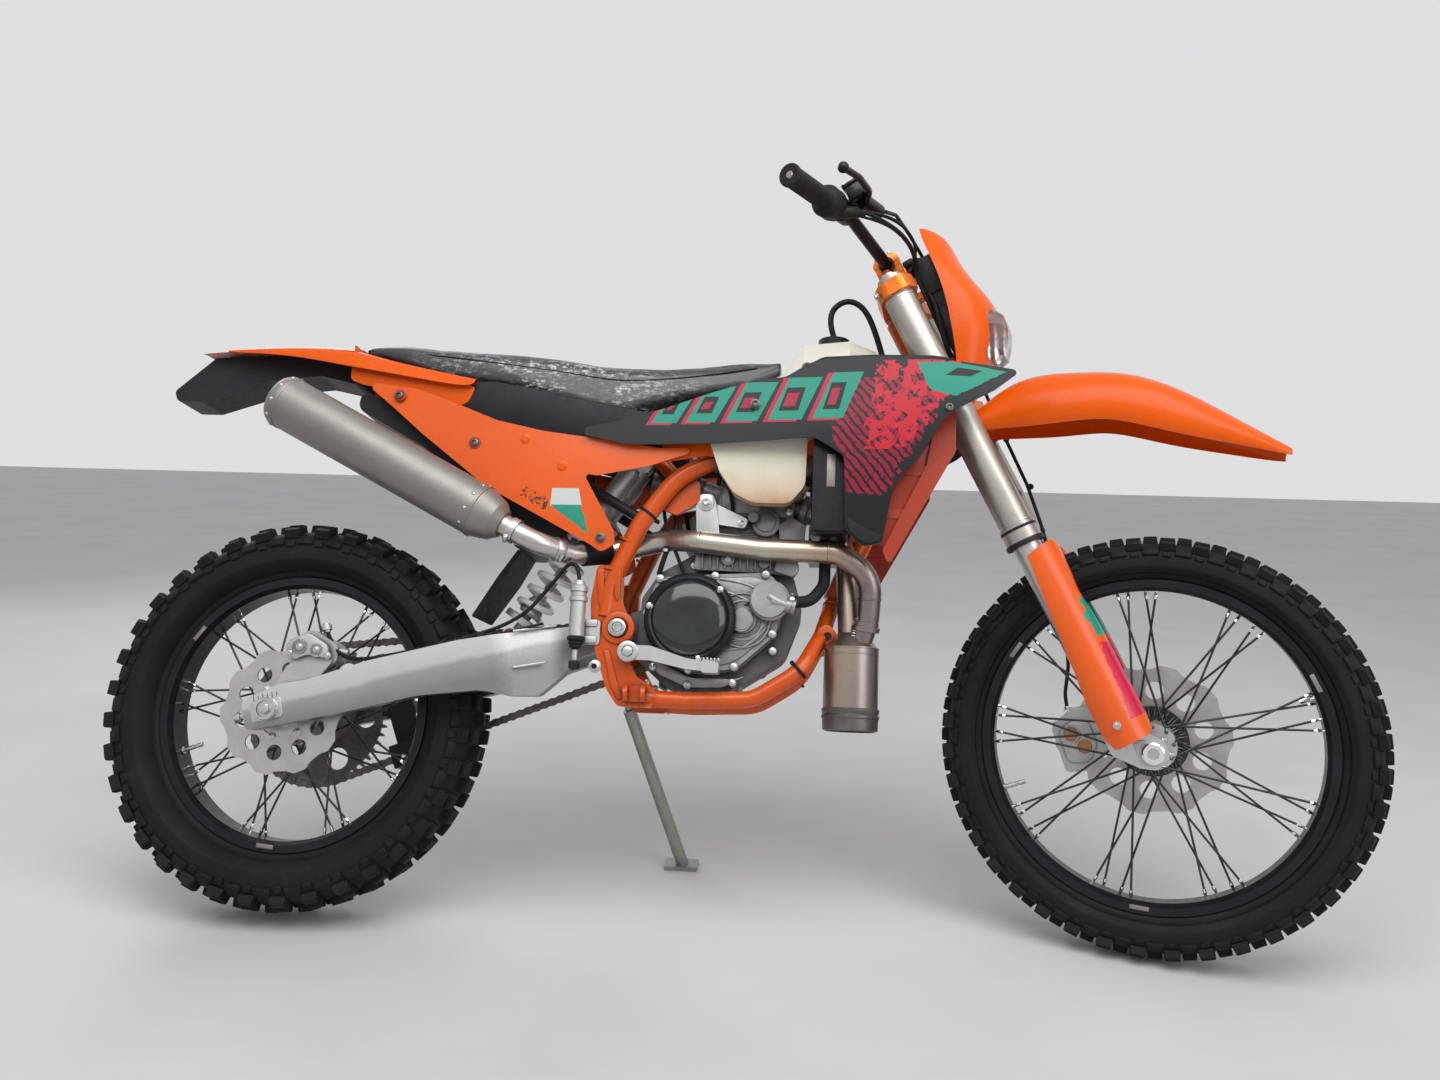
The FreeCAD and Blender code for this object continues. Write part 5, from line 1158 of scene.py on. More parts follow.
# Outlines of the right cover, the left cover and the case
COVER = [(642, 592), (622, 530), (640, 462), (700, 432), (780, 440), (845, 500), (862, 575), (830, 606),
         (740, 600)]
COVER_LEFT = [(716, 585), (716, 446), (780, 440), (850, 500), (840, 585)]
CASE = [(640, 604), (612, 560), (606, 455), (668, 402), (765, 402), (862, 466), (890, 545), (872, 612),
        (785, 636), (700, 640)]
# Studs of the head, lugs under the right cover
HEAD_STUDS = ((748, 722), (862, 722), (770, 800), (846, 796))
SKIRT_LUGS = ((640, 440), (700, 412), (776, 418), (842, 474))
# Middles of the clutch, the flywheel and the water pump
CLUTCH_X, CLUTCH_Z = 702, 520
FLYWHEEL_X, FLYWHEEL_Z = 780, 515
PUMP_X, PUMP_Z = 835, 556


class MOTO_OT_engine(bpy.types.Operator):
    """Adds the castings, covers, bolts and hoses of the engine"""
    bl_idname = "moto.engine"
    bl_label = "Engine"

    def execute(self, context):
        seam = [plate(grown(CASE, 1.012), -2.5, 2.5, 18, 0.8), plate(grown(COVER, 1.02), -70, -63, 18, 1),
                plate(grown(COVER_LEFT, 1.03), 63, 69, 18, 1), plate(grown(COVER, 0.90), -98.5, -95, 22, 1.4)]
        spots = grown(COVER, 0.955)
        bosses = [rod((x, -99.5, z), (x, -72, z), 7.5, 16, 1) for x, z in spots]
        left_spots = grown(COVER_LEFT, 0.93)
        bosses += [rod((x, 66, z), (x, 86.5, z), 7.5, 16, 1) for x, z in left_spots]
        plug = turned([(0, 48), (4, 47), (4, 44.5), (-3, 44), (-3, 35.5), (3, 35), (3, 32), (-3, 31.5),
                       (-3, 24), (9, 23), (9, 19), (14, 18.5), (15, 17), (15, 0.1)],
                       (790, -98, 523), RIGHT, 40)
        pump = turned([(0, 34), (10, 34), (12, 31), (12, 28), (3, 27), (3, 15), (15, 14), (17, 12),
                       (17, 0.1)],
                      (PUMP_X, -104, PUMP_Z), RIGHT, 32)
        spout = turned([(0, 13), (24, 12), (34, 12), (35, 13.5), (40, 13.5), (41, 12), (41, 0.1)],
                       (838, -113, 554), (0.97, 0.02, -0.22), 20)
        arm = hose([(832, -118, 562), (850, -118, 552), (870, -116, 544)], 8, 3, 8)
        ribs = []
        for points in ([(748, -98, 592), (790, -98, 588), (818, -98, 572), (824, -98, 552)],
                       [(742, -98, 574), (772, -98, 568), (800, -98, 556)],
                       [(740, -98, 474), (776, -98, 470), (812, -98, 486), (836, -98, 520)],
                       [(752, -98, 488), (784, -98, 484), (812, -98, 500)],
                       [(652, -98, 586), (690, -98, 594), (728, -98, 590)],
                       [(760, -98, 548), (748, -98, 520), (756, -98, 494)],
                       [(826, -98, 520), (818, -98, 498), (800, -98, 482)]):
            ribs.append(hose(points, 2.6, 3, 4))
        low = [box((650 + 34 * i, 0, 405 + abs(i - 1.6) * 5), (5, 96, 12), 1) for i in range(5)]
        upper = [plate([(700, 610), (704, 640), (736, 650), (838, 644), (866, 624), (862, 606)], -80,
                       -60, 8, 2),
                 plate([(838, 610), (846, 636), (872, 640), (884, 618), (874, 600)], -92, -70, 6, 2),
                 rod((760, -86, 630), (760, -76, 630), 12, 20, 1.5),
                 rod((822, -84, 624), (822, -76, 624), 9, 18, 1.2)]
        upper += [box((716 + 13 * i, -81.5, 627), (3, 5, 30), 0.8) for i in range(11)]
        skirt = [plate([(634, 470), (646, 430), (700, 408), (760, 410), (800, 432), (780, 424), (704, 424),
                        (656, 446)],
                       -84, -76, 8, 2)]
        skirt += [rod((x, -86, z), (x, -70, z), 7, 16, 1) for x, z in SKIRT_LUGS]
        castings = joined(seam + bosses + [plug, pump, spout, arm] + ribs + low + upper + skirt)
        present(castings, "engine_castings", ON_BIKE, "engine_alloy", smooth=30)
        ring = turned([(-22, 78), (-6, 78), (2, 77), (6, 73), (8.5, 68), (6.5, 64.5), (3, 63.5)],
                      (CLUTCH_X, -118, CLUTCH_Z), RIGHT, 64)
        present(ring, "clutch_ring", ON_BIKE, "black_alloy", smooth=30)
        dome = turned([(0, 65), (3.5, 64), (8, 58), (12, 46), (14, 30), (15, 14), (15.2, 0.1)],
                      (CLUTCH_X, -121, CLUTCH_Z), RIGHT, 64)
        present(dome, "clutch_dome", ON_BIKE, "smoked", "black_plastic", smooth=60)
        lid = turned([(0, 58), (5, 58), (8, 54), (10, 40), (13, 38), (14, 34), (11, 31), (11, 0.1)],
                     (FLYWHEEL_X, 110, FLYWHEEL_Z), LEFT, 48)
        present(lid, "flywheel_lid", ON_BIKE, "engine_alloy", smooth=30)
        screws = [((x, -99.5, z), RIGHT) for x, z in spots] + [((x, 86.5, z), LEFT) for x, z in left_spots]
        screws += round_places((CLUTCH_X, -124.5, CLUTCH_Z), 70, 3, RIGHT, 45)
        screws += round_places((FLYWHEEL_X, 116, FLYWHEEL_Z), 50, 6, LEFT)
        screws += round_places((PUMP_X, -110, PUMP_Z), 28, 4, RIGHT, 45)
        screws += [((x, -86, z), RIGHT) for x, z in SKIRT_LUGS + ((760, 630),)]
        screws += [((628, -63, 414), RIGHT), ((628, 63, 414), LEFT), ((876, -63, 560), RIGHT),
                   ((700, -63, 620), RIGHT)]
        present(bolts(screws, 4.2, 4), "engine_screws", ON_BIKE, "steel")
        head = [plate([(742, 716), (744, 770), (764, 806), (804, 800), (800, 742), (822, 716)], -62.5,
                      -57, 9, 1.4),
                plate([(802, 744), (800, 770), (822, 782), (858, 776), (872, 756), (870, 738), (836, 732)],
                      -65, -57, 5, 1.2),
                plate([(742, 716), (744, 770), (764, 806), (852, 800), (868, 762), (866, 716)], 57,
                      61.5, 9, 1.4),
                plate([(758, 806), (764, 823), (850, 817), (862, 800)], -50, 50, 5, 2)]
        head += [box((797, 0, z), (130, 108, 3.2), 1) for z in (655, 668, 681, 694)]
        head += [rod((x, -61, z), (x, 61, z), 8, 16, 1) for x, z in HEAD_STUDS]
        head += [rod((822, -55, 700), (822, -66, 700), 25, 28, 2),
                 rod((822, -66, 700), (822, -69, 700), 17, 28, 1),
                 plate([(848, 664), (844, 696), (866, 712), (892, 696), (890, 664)], -67, -55, 3, 1.6)]
        head.append(rod((882, -14, 734), (894, -14, 730), 31, 24, 1))
        present(joined(head), "cylinder_castings", ON_BIKE, "engine_alloy", smooth=30)
        screws = [((x, side * 61, z), (0, side, 0)) for x, z in HEAD_STUDS for side in (-1, 1)]
        screws += [((x, -65, z), RIGHT) for x, z in ((812, 750), (818, 772), (862, 764), (858, 746))]
        screws += [((x, side * 87.3, z), (0, side, 0)) for x, z in ((669, 714), (696, 738), (718, 726),
                                                                    (780, 692))
                   for side in (-1, 1)]
        present(bolts(screws, 4.6, 4.4), "head_screws", ON_BIKE, "steel")
        stay = []
        for side in (-1, 1):
            upright = plate([(704, 668), (700, 728), (708, 742), (728, 742), (736, 728), (744, 668)],
                            *sorted((side * 87.4, side * 93)), 5, 1)
            stay += [upright, rod((718, side * 84, 726), (718, side * 96, 726), 15, 20, 1)]
        present(joined(stay), "head_stay_plates", ON_BIKE, "bare_alloy")
        top = bolts([((718, side * 96, 726), (0, side, 0)) for side in (-1, 1)], 8, 6)
        present(top, "head_stay_bolts", ON_BIKE, "steel")
        body = [turned([(0, 27), (10, 29), (12, 32), (20, 32), (22, 28), (62, 28), (64, 33), (74, 33),
                        (76, 29), (92, 29)],
                       (704, 0, 763), (-0.97, 0, 0.24), 28),
                box((664, -38, 772), (34, 24, 44), 3), box((668, 40, 774), (30, 26, 30), 3),
                rod((676, 0, 790), (690, 0, 842), 9, 16, 1)]
        present(joined(body), "throttle_body", ON_BIKE, "dark_steel")
        lead = [hose(points, radius) for radius, points in (
            (4, [(812, -36, 820), (800, -48, 846), (760, -62, 842), (742, -84, 800), (738, -84, 760)]),
            (3, [(684, -40, 790), (708, -62, 796), (742, -66, 780), (760, -68, 752), (764, -70, 716)]),
            (3.4, [(664, -52, 772), (640, -66, 742), (646, -76, 690), (668, -76, 640), (684, -74, 604)]),
            (5, [(690, -30, 800), (730, -50, 812), (780, -66, 804), (840, -72, 800), (882, -78, 780)]),
            (4.6, [(656, -58, 742), (672, -70, 690), (650, -78, 640), (640, -70, 600)]),
            (4, [(700, 60, 650), (680, 76, 690), (664, 74, 742), (676, 40, 786)]),
            (4, [(790, 60, 640), (810, 78, 690), (850, 80, 760), (880, 78, 800)]))]
        present(joined(lead), "engine_leads", ON_BIKE, "black_rubber", smooth=60)
        clips = [turned([(0, 5.4), (5, 5.4)], at, along, 14) for at, along in
                 (((742, -66, 780), (1, 0, -1)), ((780, -66, 804), (1, 0, 0)), ((650, -78, 640), UP))]
        for clip in clips:
            apply_modifier(clip, "SOLIDIFY", thickness=0.001)
        starter = [rod((700, -20, 662), (700, 58, 662), 22, 24, 2),
                   rod((700, -26, 662), (700, -20, 662), 12, 20, 1)]
        present(joined(clips + starter), "starter_motor", ON_BIKE, "cast_alloy", "engine_alloy")
        neck = [turned([(0, 11), (14, 11), (15, 13), (20, 13), (21, 10), (40, 10)], at, along, 18)
                for at, along in (((944, -62, 688), (-0.9, 0, -0.3)), ((870, -40, 752), (0.5, -0.6, 0.5)))]
        present(joined(neck), "coolant_necks", ON_BIKE, "cast_alloy", "engine_alloy")
        return {"FINISHED"}


# Exhaust

def band(at, along, radius, width, wall=1.6):
    """A flat clamp band with its screw lug."""
    strap = turned([(-width / 2, radius), (-width / 2, radius + wall), (width / 2, radius + wall),
                    (width / 2, radius), (-width / 2, radius)], at, along, 32, 0.4)
    along = Vector(along).normalized()
    side = along.orthogonal().normalized()
    lug_at, half_screw = Vector(at) + side * (radius + 5), side.cross(along) * 7
    return joined([strap, rod(lug_at - half_screw, lug_at + half_screw, 4, 12, 0.6)])


# Middle of the silencer's front and rear end, and the rivets of each of its rings
SILENCER_FRONT, SILENCER_REAR = (380, -148, 664), (-35, -148, 877)
RIVETS = 10


class MOTO_OT_exhaust(bpy.types.Operator):
    """Adds weld beads, clamps, springs and caps to the exhaust"""
    bl_idname = "moto.exhaust"
    bl_label = "Exhaust"

    def execute(self, context):
        front, rear = Vector(SILENCER_FRONT), Vector(SILENCER_REAR)
        length = (rear - front).length
        axis = (rear - front).normalized()
        beads = []
        for at, along, radius in (((712, -98.9, 655.5), (-1, 0.16, 0.07), 19),
                                  ((930, -116, 640.4), (1, 0, 0), 19), ((1002, -99, 566), (0, -0.2, 1), 19),
                                  ((975, -68, 484), UP, 45.6), ((975, -68, 474), UP, 45.6),
                                  ((560, -56, 642), (-0.9, 0.2, -0.2), 19),
                                  ((955, -31, 671), (0.2, -0.4, -0.9), 20)):
            beads.append(turned([(-2, radius - 0.4), (-1, radius + 1.3), (1, radius + 1.3),
                                 (2, radius - 0.4)],
                                at, along, 40))
        can = turned([(-6, 40), (-4, 46.2), (14, 46.8), (16, 48.4), (20, 48.4), (22, 46.8), (27, 48.4),
                      (31, 48.4), (32, 46.1)], (975, -68, 352), UP, 48)
        present(can, "resonator_cap", ON_BIKE, "dark_steel")
        collar = turned([(0, 20), (1, 24), (9, 24), (10, 21.5), (16, 21.5), (17, 19)], (996, -87, 512),
                        (0.12, -0.15, 1), 28)
        present(joined(beads + [collar]), "exhaust_welds", ON_BIKE, "heat_steel", "dark_steel")
        cap = turned([(-4, 47), (-3, 48.2), (9, 47.6), (18, 42.5), (19, 24), (17, 22), (6, 21), (4, 17),
                      (-20, 17)],
                     rear - axis * 16, axis, 48, 0.6)
        seam = turned([(0, 46.2), (1, 47.6), (4, 47.6), (5, 46.4)], front + axis * 46, axis, 48)
        lip = turned([(0, 20.5), (1, 26), (8, 25.5), (24, 33), (26, 34.5), (27, 33)], front + axis, axis, 40)
        present(joined([cap, seam, lip]), "silencer_caps", ON_BIKE, "silencer_alloy")
        side = axis.orthogonal().normalized()
        rivets = []
        for along, radius in ((58, 46.2), (length - 10, 47.9)):
            for i in range(RIVETS):
                out = Matrix.Rotation(math.tau * i / RIVETS, 3, axis) @ side
                rivets.append(aimed(front + axis * along + out * radius, out))
        rivet = turned([(0, 3.2), (0.8, 2.9), (1.6, 1.8), (1.8, 0.1)], along=UP, steps=12)
        present(scattered(rivet, rivets), "silencer_rivets", ON_BIKE, "steel")
        clamps = [band((470, -117, 630), (-0.74, -0.62, 0.1), 19.4, 16),
                  band((398, -148, 654.5), (-0.89, 0, 0.45), 20.5, 14)]
        present(joined(clamps), "exhaust_clamps", ON_BIKE, "steel")
        sleeve = hose([(548, -62, 640), (530, -74, 636), (508, -90, 630)], 22.5, 3, 24)
        present(sleeve, "link_sleeve", ON_BIKE, "black_rubber", smooth=60)
        coil = [ring_coil((975, y, 498), (985, y - 4, 534), 5, 1.2, 9) for y in (-44, -92)]
        present(joined(coil), "exhaust_springs", ON_BIKE, "steel")
        return {"FINISHED"}


# Frame, swingarm and shock

def bead(at, along, radius, high=1.3, half=2.2):
    """A weld bead round a tube."""
    return turned([(-half, radius - 0.5), (-half * 0.5, radius + high), (half * 0.5, radius + high),
                   (half, radius - 0.5)], at, along, 32)


# Swingarm pivot, and the ends of its bolt across
PIVOT_X, PIVOT_Z, PIVOT_END = 582, 500, 124.2


class MOTO_OT_frame(bpy.types.Operator):
    """Adds weld beads, cast ribs, bolts and ties to the frame"""
    bl_idname = "moto.frame"
    bl_label = "Frame"

    def execute(self, context):
        beads, ribs, ties, screws = [], [], [], []
        for side in (-1, 1):
            y = side * 104
            beads += [bead((563, y, 600), (0.2, 0, 1), 16), bead((650, y, 385), (1, 0, 0), 14),
                      bead((941, side * 17, 563), (-20, side * 48, -67), 14),
                      bead((1080, side * 31, 975), (-127, side * 56, -67), 16),
                      bead((668, side * 94, 768), (0, 1, 0), 13), bead((588, y, 650), (0.45, 0, 0.89), 16)]
            face = side * 116
            ribs.append(turned([(0, 25.5), (0, 28), (3.4, 27), (4.4, 24), (4.4, 18), (2.6, 16.4), (0, 16.2)],
                               (PIVOT_X, face, PIVOT_Z), (0, side, 0), 40))
            for points in ([(541, 598), (546, 545), (552, 530), (556, 545), (552, 598)],
                           [(572, 598), (572, 556), (578, 544), (582, 556), (581, 598)],
                           [(560, 462), (576, 402), (590, 380), (598, 384), (586, 410), (570, 462)],
                           [(600, 380), (644, 378), (644, 386), (604, 390)]):
                ribs.append(plate(points, *sorted((face - side * 0.5, face + side * 2.6)), 3, 1.0))
            ear = [(916, 486), (916, 516), (934, 526), (950, 512), (948, 492), (934, 482)]
            ribs.append(plate(ear, *sorted((side * 66, side * 72)), 8, 1))
            screws += [((547, side * 116, 434), (0, side, 0)), ((540, side * 88, 654), (0, side, 0))]
            ties.append(band((888, y, 440.6), (0.55, 0, 0.5), 14.3, 4.6, 1.2))
            ties.append(band((620, y, 701), (0.6, 0, 0.8), 16.3, 4.6, 1.2))
            ties.append(band((880, side * 100, 876), (0.85, 0, 0.5), 17.3, 4.6, 1.2))
        present(joined(beads), "frame_welds", ON_BIKE, "orange_frame")
        present(joined(ribs), "frame_ribs", ON_BIKE, "orange_frame")
        present(bolts(screws, 8, 5, 18), "frame_bolts", ON_BIKE, "steel")
        present(joined(ties), "frame_ties", ON_BIKE, "black_rubber")
        holes = pair([(0, 0.1), (0, 9), (0.7, 9), (0.9, 8)], 1046, 10, 924, 24)
        holes += pair([(0, 0.1), (0, 7), (0.7, 7), (0.9, 6)], 934, 72, 504, 24)
        holes += pair([(0, 0.1), (0, 6), (0.7, 6), (0.9, 5)], 547, 121.2, 434, 6)
        present(joined(holes), "frame_holes", ON_BIKE, "black_rubber")
        rings = pair([(0, 9), (0, 14), (3, 14), (4, 12), (4, 9)], PIVOT_X, PIVOT_END, PIVOT_Z)
        rings += pair([(0, 0.1), (0, 9.5), (2.4, 9.5), (3, 8.6), (3, 5.6), (0.6, 5.4), (0.6, 0.1)],
                      PIVOT_X, PIVOT_END, PIVOT_Z, 6)
        present(joined(rings), "pivot_caps", ON_BIKE, "steel")
        return {"FINISHED"}


# Ends of the shock: the upper one on the frame, the lower one on the swingarm
SHOCK_TOP, SHOCK_FOOT = (592, 0, 814), (400, 0, 48)


class MOTO_OT_rear(bpy.types.Operator):
    """Adds adjusters, hose, caliper and shock details at the rear"""
    bl_idname = "moto.rear"
    bl_label = "Rear end"

    def execute(self, context):
        blocks, marks, nuts = [], [], []
        for side in (-1, 1):
            blocks.append(plate([(-30, -17), (24, -17), (24, 17), (-30, 17)],
                                *sorted((side * 122, side * 126.4)), 5, 1))
            blocks.append(rod((-66, side * 111, 0), (-40, side * 111, 0), 5, 16, 0.8))
            nuts.append(rod((-60, side * 111, 0), (-53, side * 111, 0), 9.5, 6, 0.8))
            marks += [box((-22 + i * 8, side * 124.4, 22.5), (1.0, 1.2, 6 if i % 2 else 9), 0.1)
                      for i in range(6)]
            nuts.append(rod((0, side * 136, 0), (0, side * 143, 0), 14.5 if side > 0 else 10, 6, 1))
            nuts.append(turned([(0, 14), (0, 18.5), (2, 17.5), (2, 14)], (0, side * 136, 0),
                               (0, side, 0), 36))
        present(joined(blocks), "chain_adjusters", ON_ARM, "bare_alloy")
        present(joined(marks), "adjuster_marks", ON_ARM, "dark_steel")
        present(joined(nuts), "rear_nuts", ON_ARM, "steel")
        line = hose([(553, -128, 70), (562, -127, 108), (548, -116, 132), (508, -98, 104), (440, -98, 54),
                     (330, -104, 43), (200, -107, 45), (146, -104, 52), (112, -88, 78), (98, -72, 118)], 3.4)
        banjo = [turned([(0, 5), (0, 9), (9, 9), (9, 5)], (98, -72, 120), UP, 18),
                 rod((98, -72, 116), (98, -72, 133), 6.5, 6, 0.6)]
        present(line, "rear_brake_line", ON_ARM, "black_rubber", smooth=60)
        clips = [box((s, -105, h), (14, 15, 9), 1.5) for s, h in ((372, 43), (300, 43), (196, 45.5))]
        clips += [box((330, -111, 37), (300, 12, 3), 0.8)]
        present(joined(clips), "line_clips", ON_ARM, "black_plastic")
        body = [plate([(44, 76), (38, 108), (78, 118), (110, 86), (104, 64), (72, 80)], -106, -99, 8, 2),
                rod((60, -106, 96), (60, -98, 96), 16, 28, 2), rod((88, -106, 84), (88, -98, 84), 13, 28, 2),
                rod((120, -86, 76), (134, -86, 68), 7, 12, 1)]
        present(joined(body + banjo), "rear_caliper_shell", ON_ARM, "cast_alloy", "bare_alloy")
        screws = [((60, -106, 96), RIGHT), ((88, -106, 84), RIGHT), ((42, -103, 90), RIGHT),
                  ((104, -103, 70), RIGHT)]
        present(bolts(screws, 4.6, 3.6), "rear_caliper_bolts", ON_ARM, "steel")
        welds = []
        for side in (-1, 1):
            for points in ([(498, side * 94, 31), (430, side * 124.3, 34)],
                           [(420, side * 124.3, -26), (470, side * 110, -28)]):
                welds.append(hose(points, 2.2, 2, 6))
            welds.append(turned([(0, 18), (0, 25.5), (3, 24.5), (4, 21), (4, 18)], (602.65, side * 80.2, 0),
                                (0, side, 0), 36))
        present(joined(welds), "arm_welds", ON_ARM, "cast_alloy", "bare_alloy")
        top = ARM.inverted() @ BIKE @ (Vector(SHOCK_TOP) * MM) / MM
        foot = Vector(SHOCK_FOOT)
        run = (top - foot).normalized()
        length = (top - foot).length
        parts = [turned([(0, 30), (0, 37.5), (3, 38.2), (5, 37.5), (5, 34), (8, 34), (8, 37.5), (10, 38.2),
                         (13, 37.5), (13, 26)],
                        foot + run * (length * 0.62 + 14.4), run, 40),
                 turned([(0, 10), (0, 25), (4, 27), (30, 27), (34, 25), (36, 12)],
                        foot + run * (length * 0.82), run, 32),
                 turned([(0, 8.2), (0, 19), (6, 22), (14, 20), (20, 17), (26, 18), (34, 14), (36, 8.2)],
                        foot + run * 46, run, 28)]
        bottle = top - run * 140 + Vector((0, -46, 0))
        parts.append(turned([(-3, 0.1), (-3, 14), (-1, 18.6), (9, 18.6), (10, 17.4)], bottle, run, 32))
        parts.append(turned([(0, 18.6), (9, 18.6), (11, 15), (16, 13), (17, 0.1)],
                            bottle + run * 104, run, 32))
        present(joined(parts), "shock_rings", ON_ARM, "cast_alloy", "bare_alloy")
        knob = [turned([(0, 9), (1, 10.5), (8, 10.5), (9, 9), (9, 0.1)], bottle - run * 12, run, 12),
                turned([(0, 6), (0, 11), (10, 11), (12, 8), (12, 0.1)], foot + Vector((0, -14, 0)),
                       RIGHT, 24)]
        present(joined(knob), "shock_knobs", ON_ARM, "red_plastic")
        return {"FINISHED"}


# Bodywork

# The shrouds' widening per length, and the half width of the side panels at places along
SHROUD_FLARE = 0.17
SIDE_Y = [(60, 90), (170, 95), (300, 104.5), (550, 126.5), (740, 130)]


def side_at(x):
    """Half width of the side panels at a place along."""
    for (x0, y0), (x1, y1) in zip(SIDE_Y, SIDE_Y[1:]):
        if x <= x1:
            return y0 + (y1 - y0) * (x - x0) / (x1 - x0)
    return SIDE_Y[-1][1]


def web(rows, wall=2.2):
    """A thin skin through rows of points, all rows of one length, on both sides."""
    bpy.ops.mesh.primitive_grid_add(x_subdivisions=len(rows[0]) - 1, y_subdivisions=len(rows) - 1)
    skin = bpy.context.object
    for vertex, point in zip(skin.data.vertices, [point for row in rows for point in row]):
        vertex.co = Vector(point) * MM
    apply_modifier(skin, "SUBSURF", levels=2, render_levels=2)
    apply_modifier(skin, "SOLIDIFY", thickness=wall * MM, offset=0)
    outward(skin)
    return both_sides(skin)


def side_skin(points, shift=0.0, wall=2.4):
    """A thin skin behind the side panels that follows their flare, on both sides."""
    skin = plate(points, 0, wall, 6, 0.6)
    for vertex in skin.data.vertices:
        vertex.co.y += (-side_at(vertex.co.x / MM) - shift) * MM
    return both_sides(skin)


# The tank cap's middle and its finger grips
CAP_X, CAP_GRIPS = 935, 10


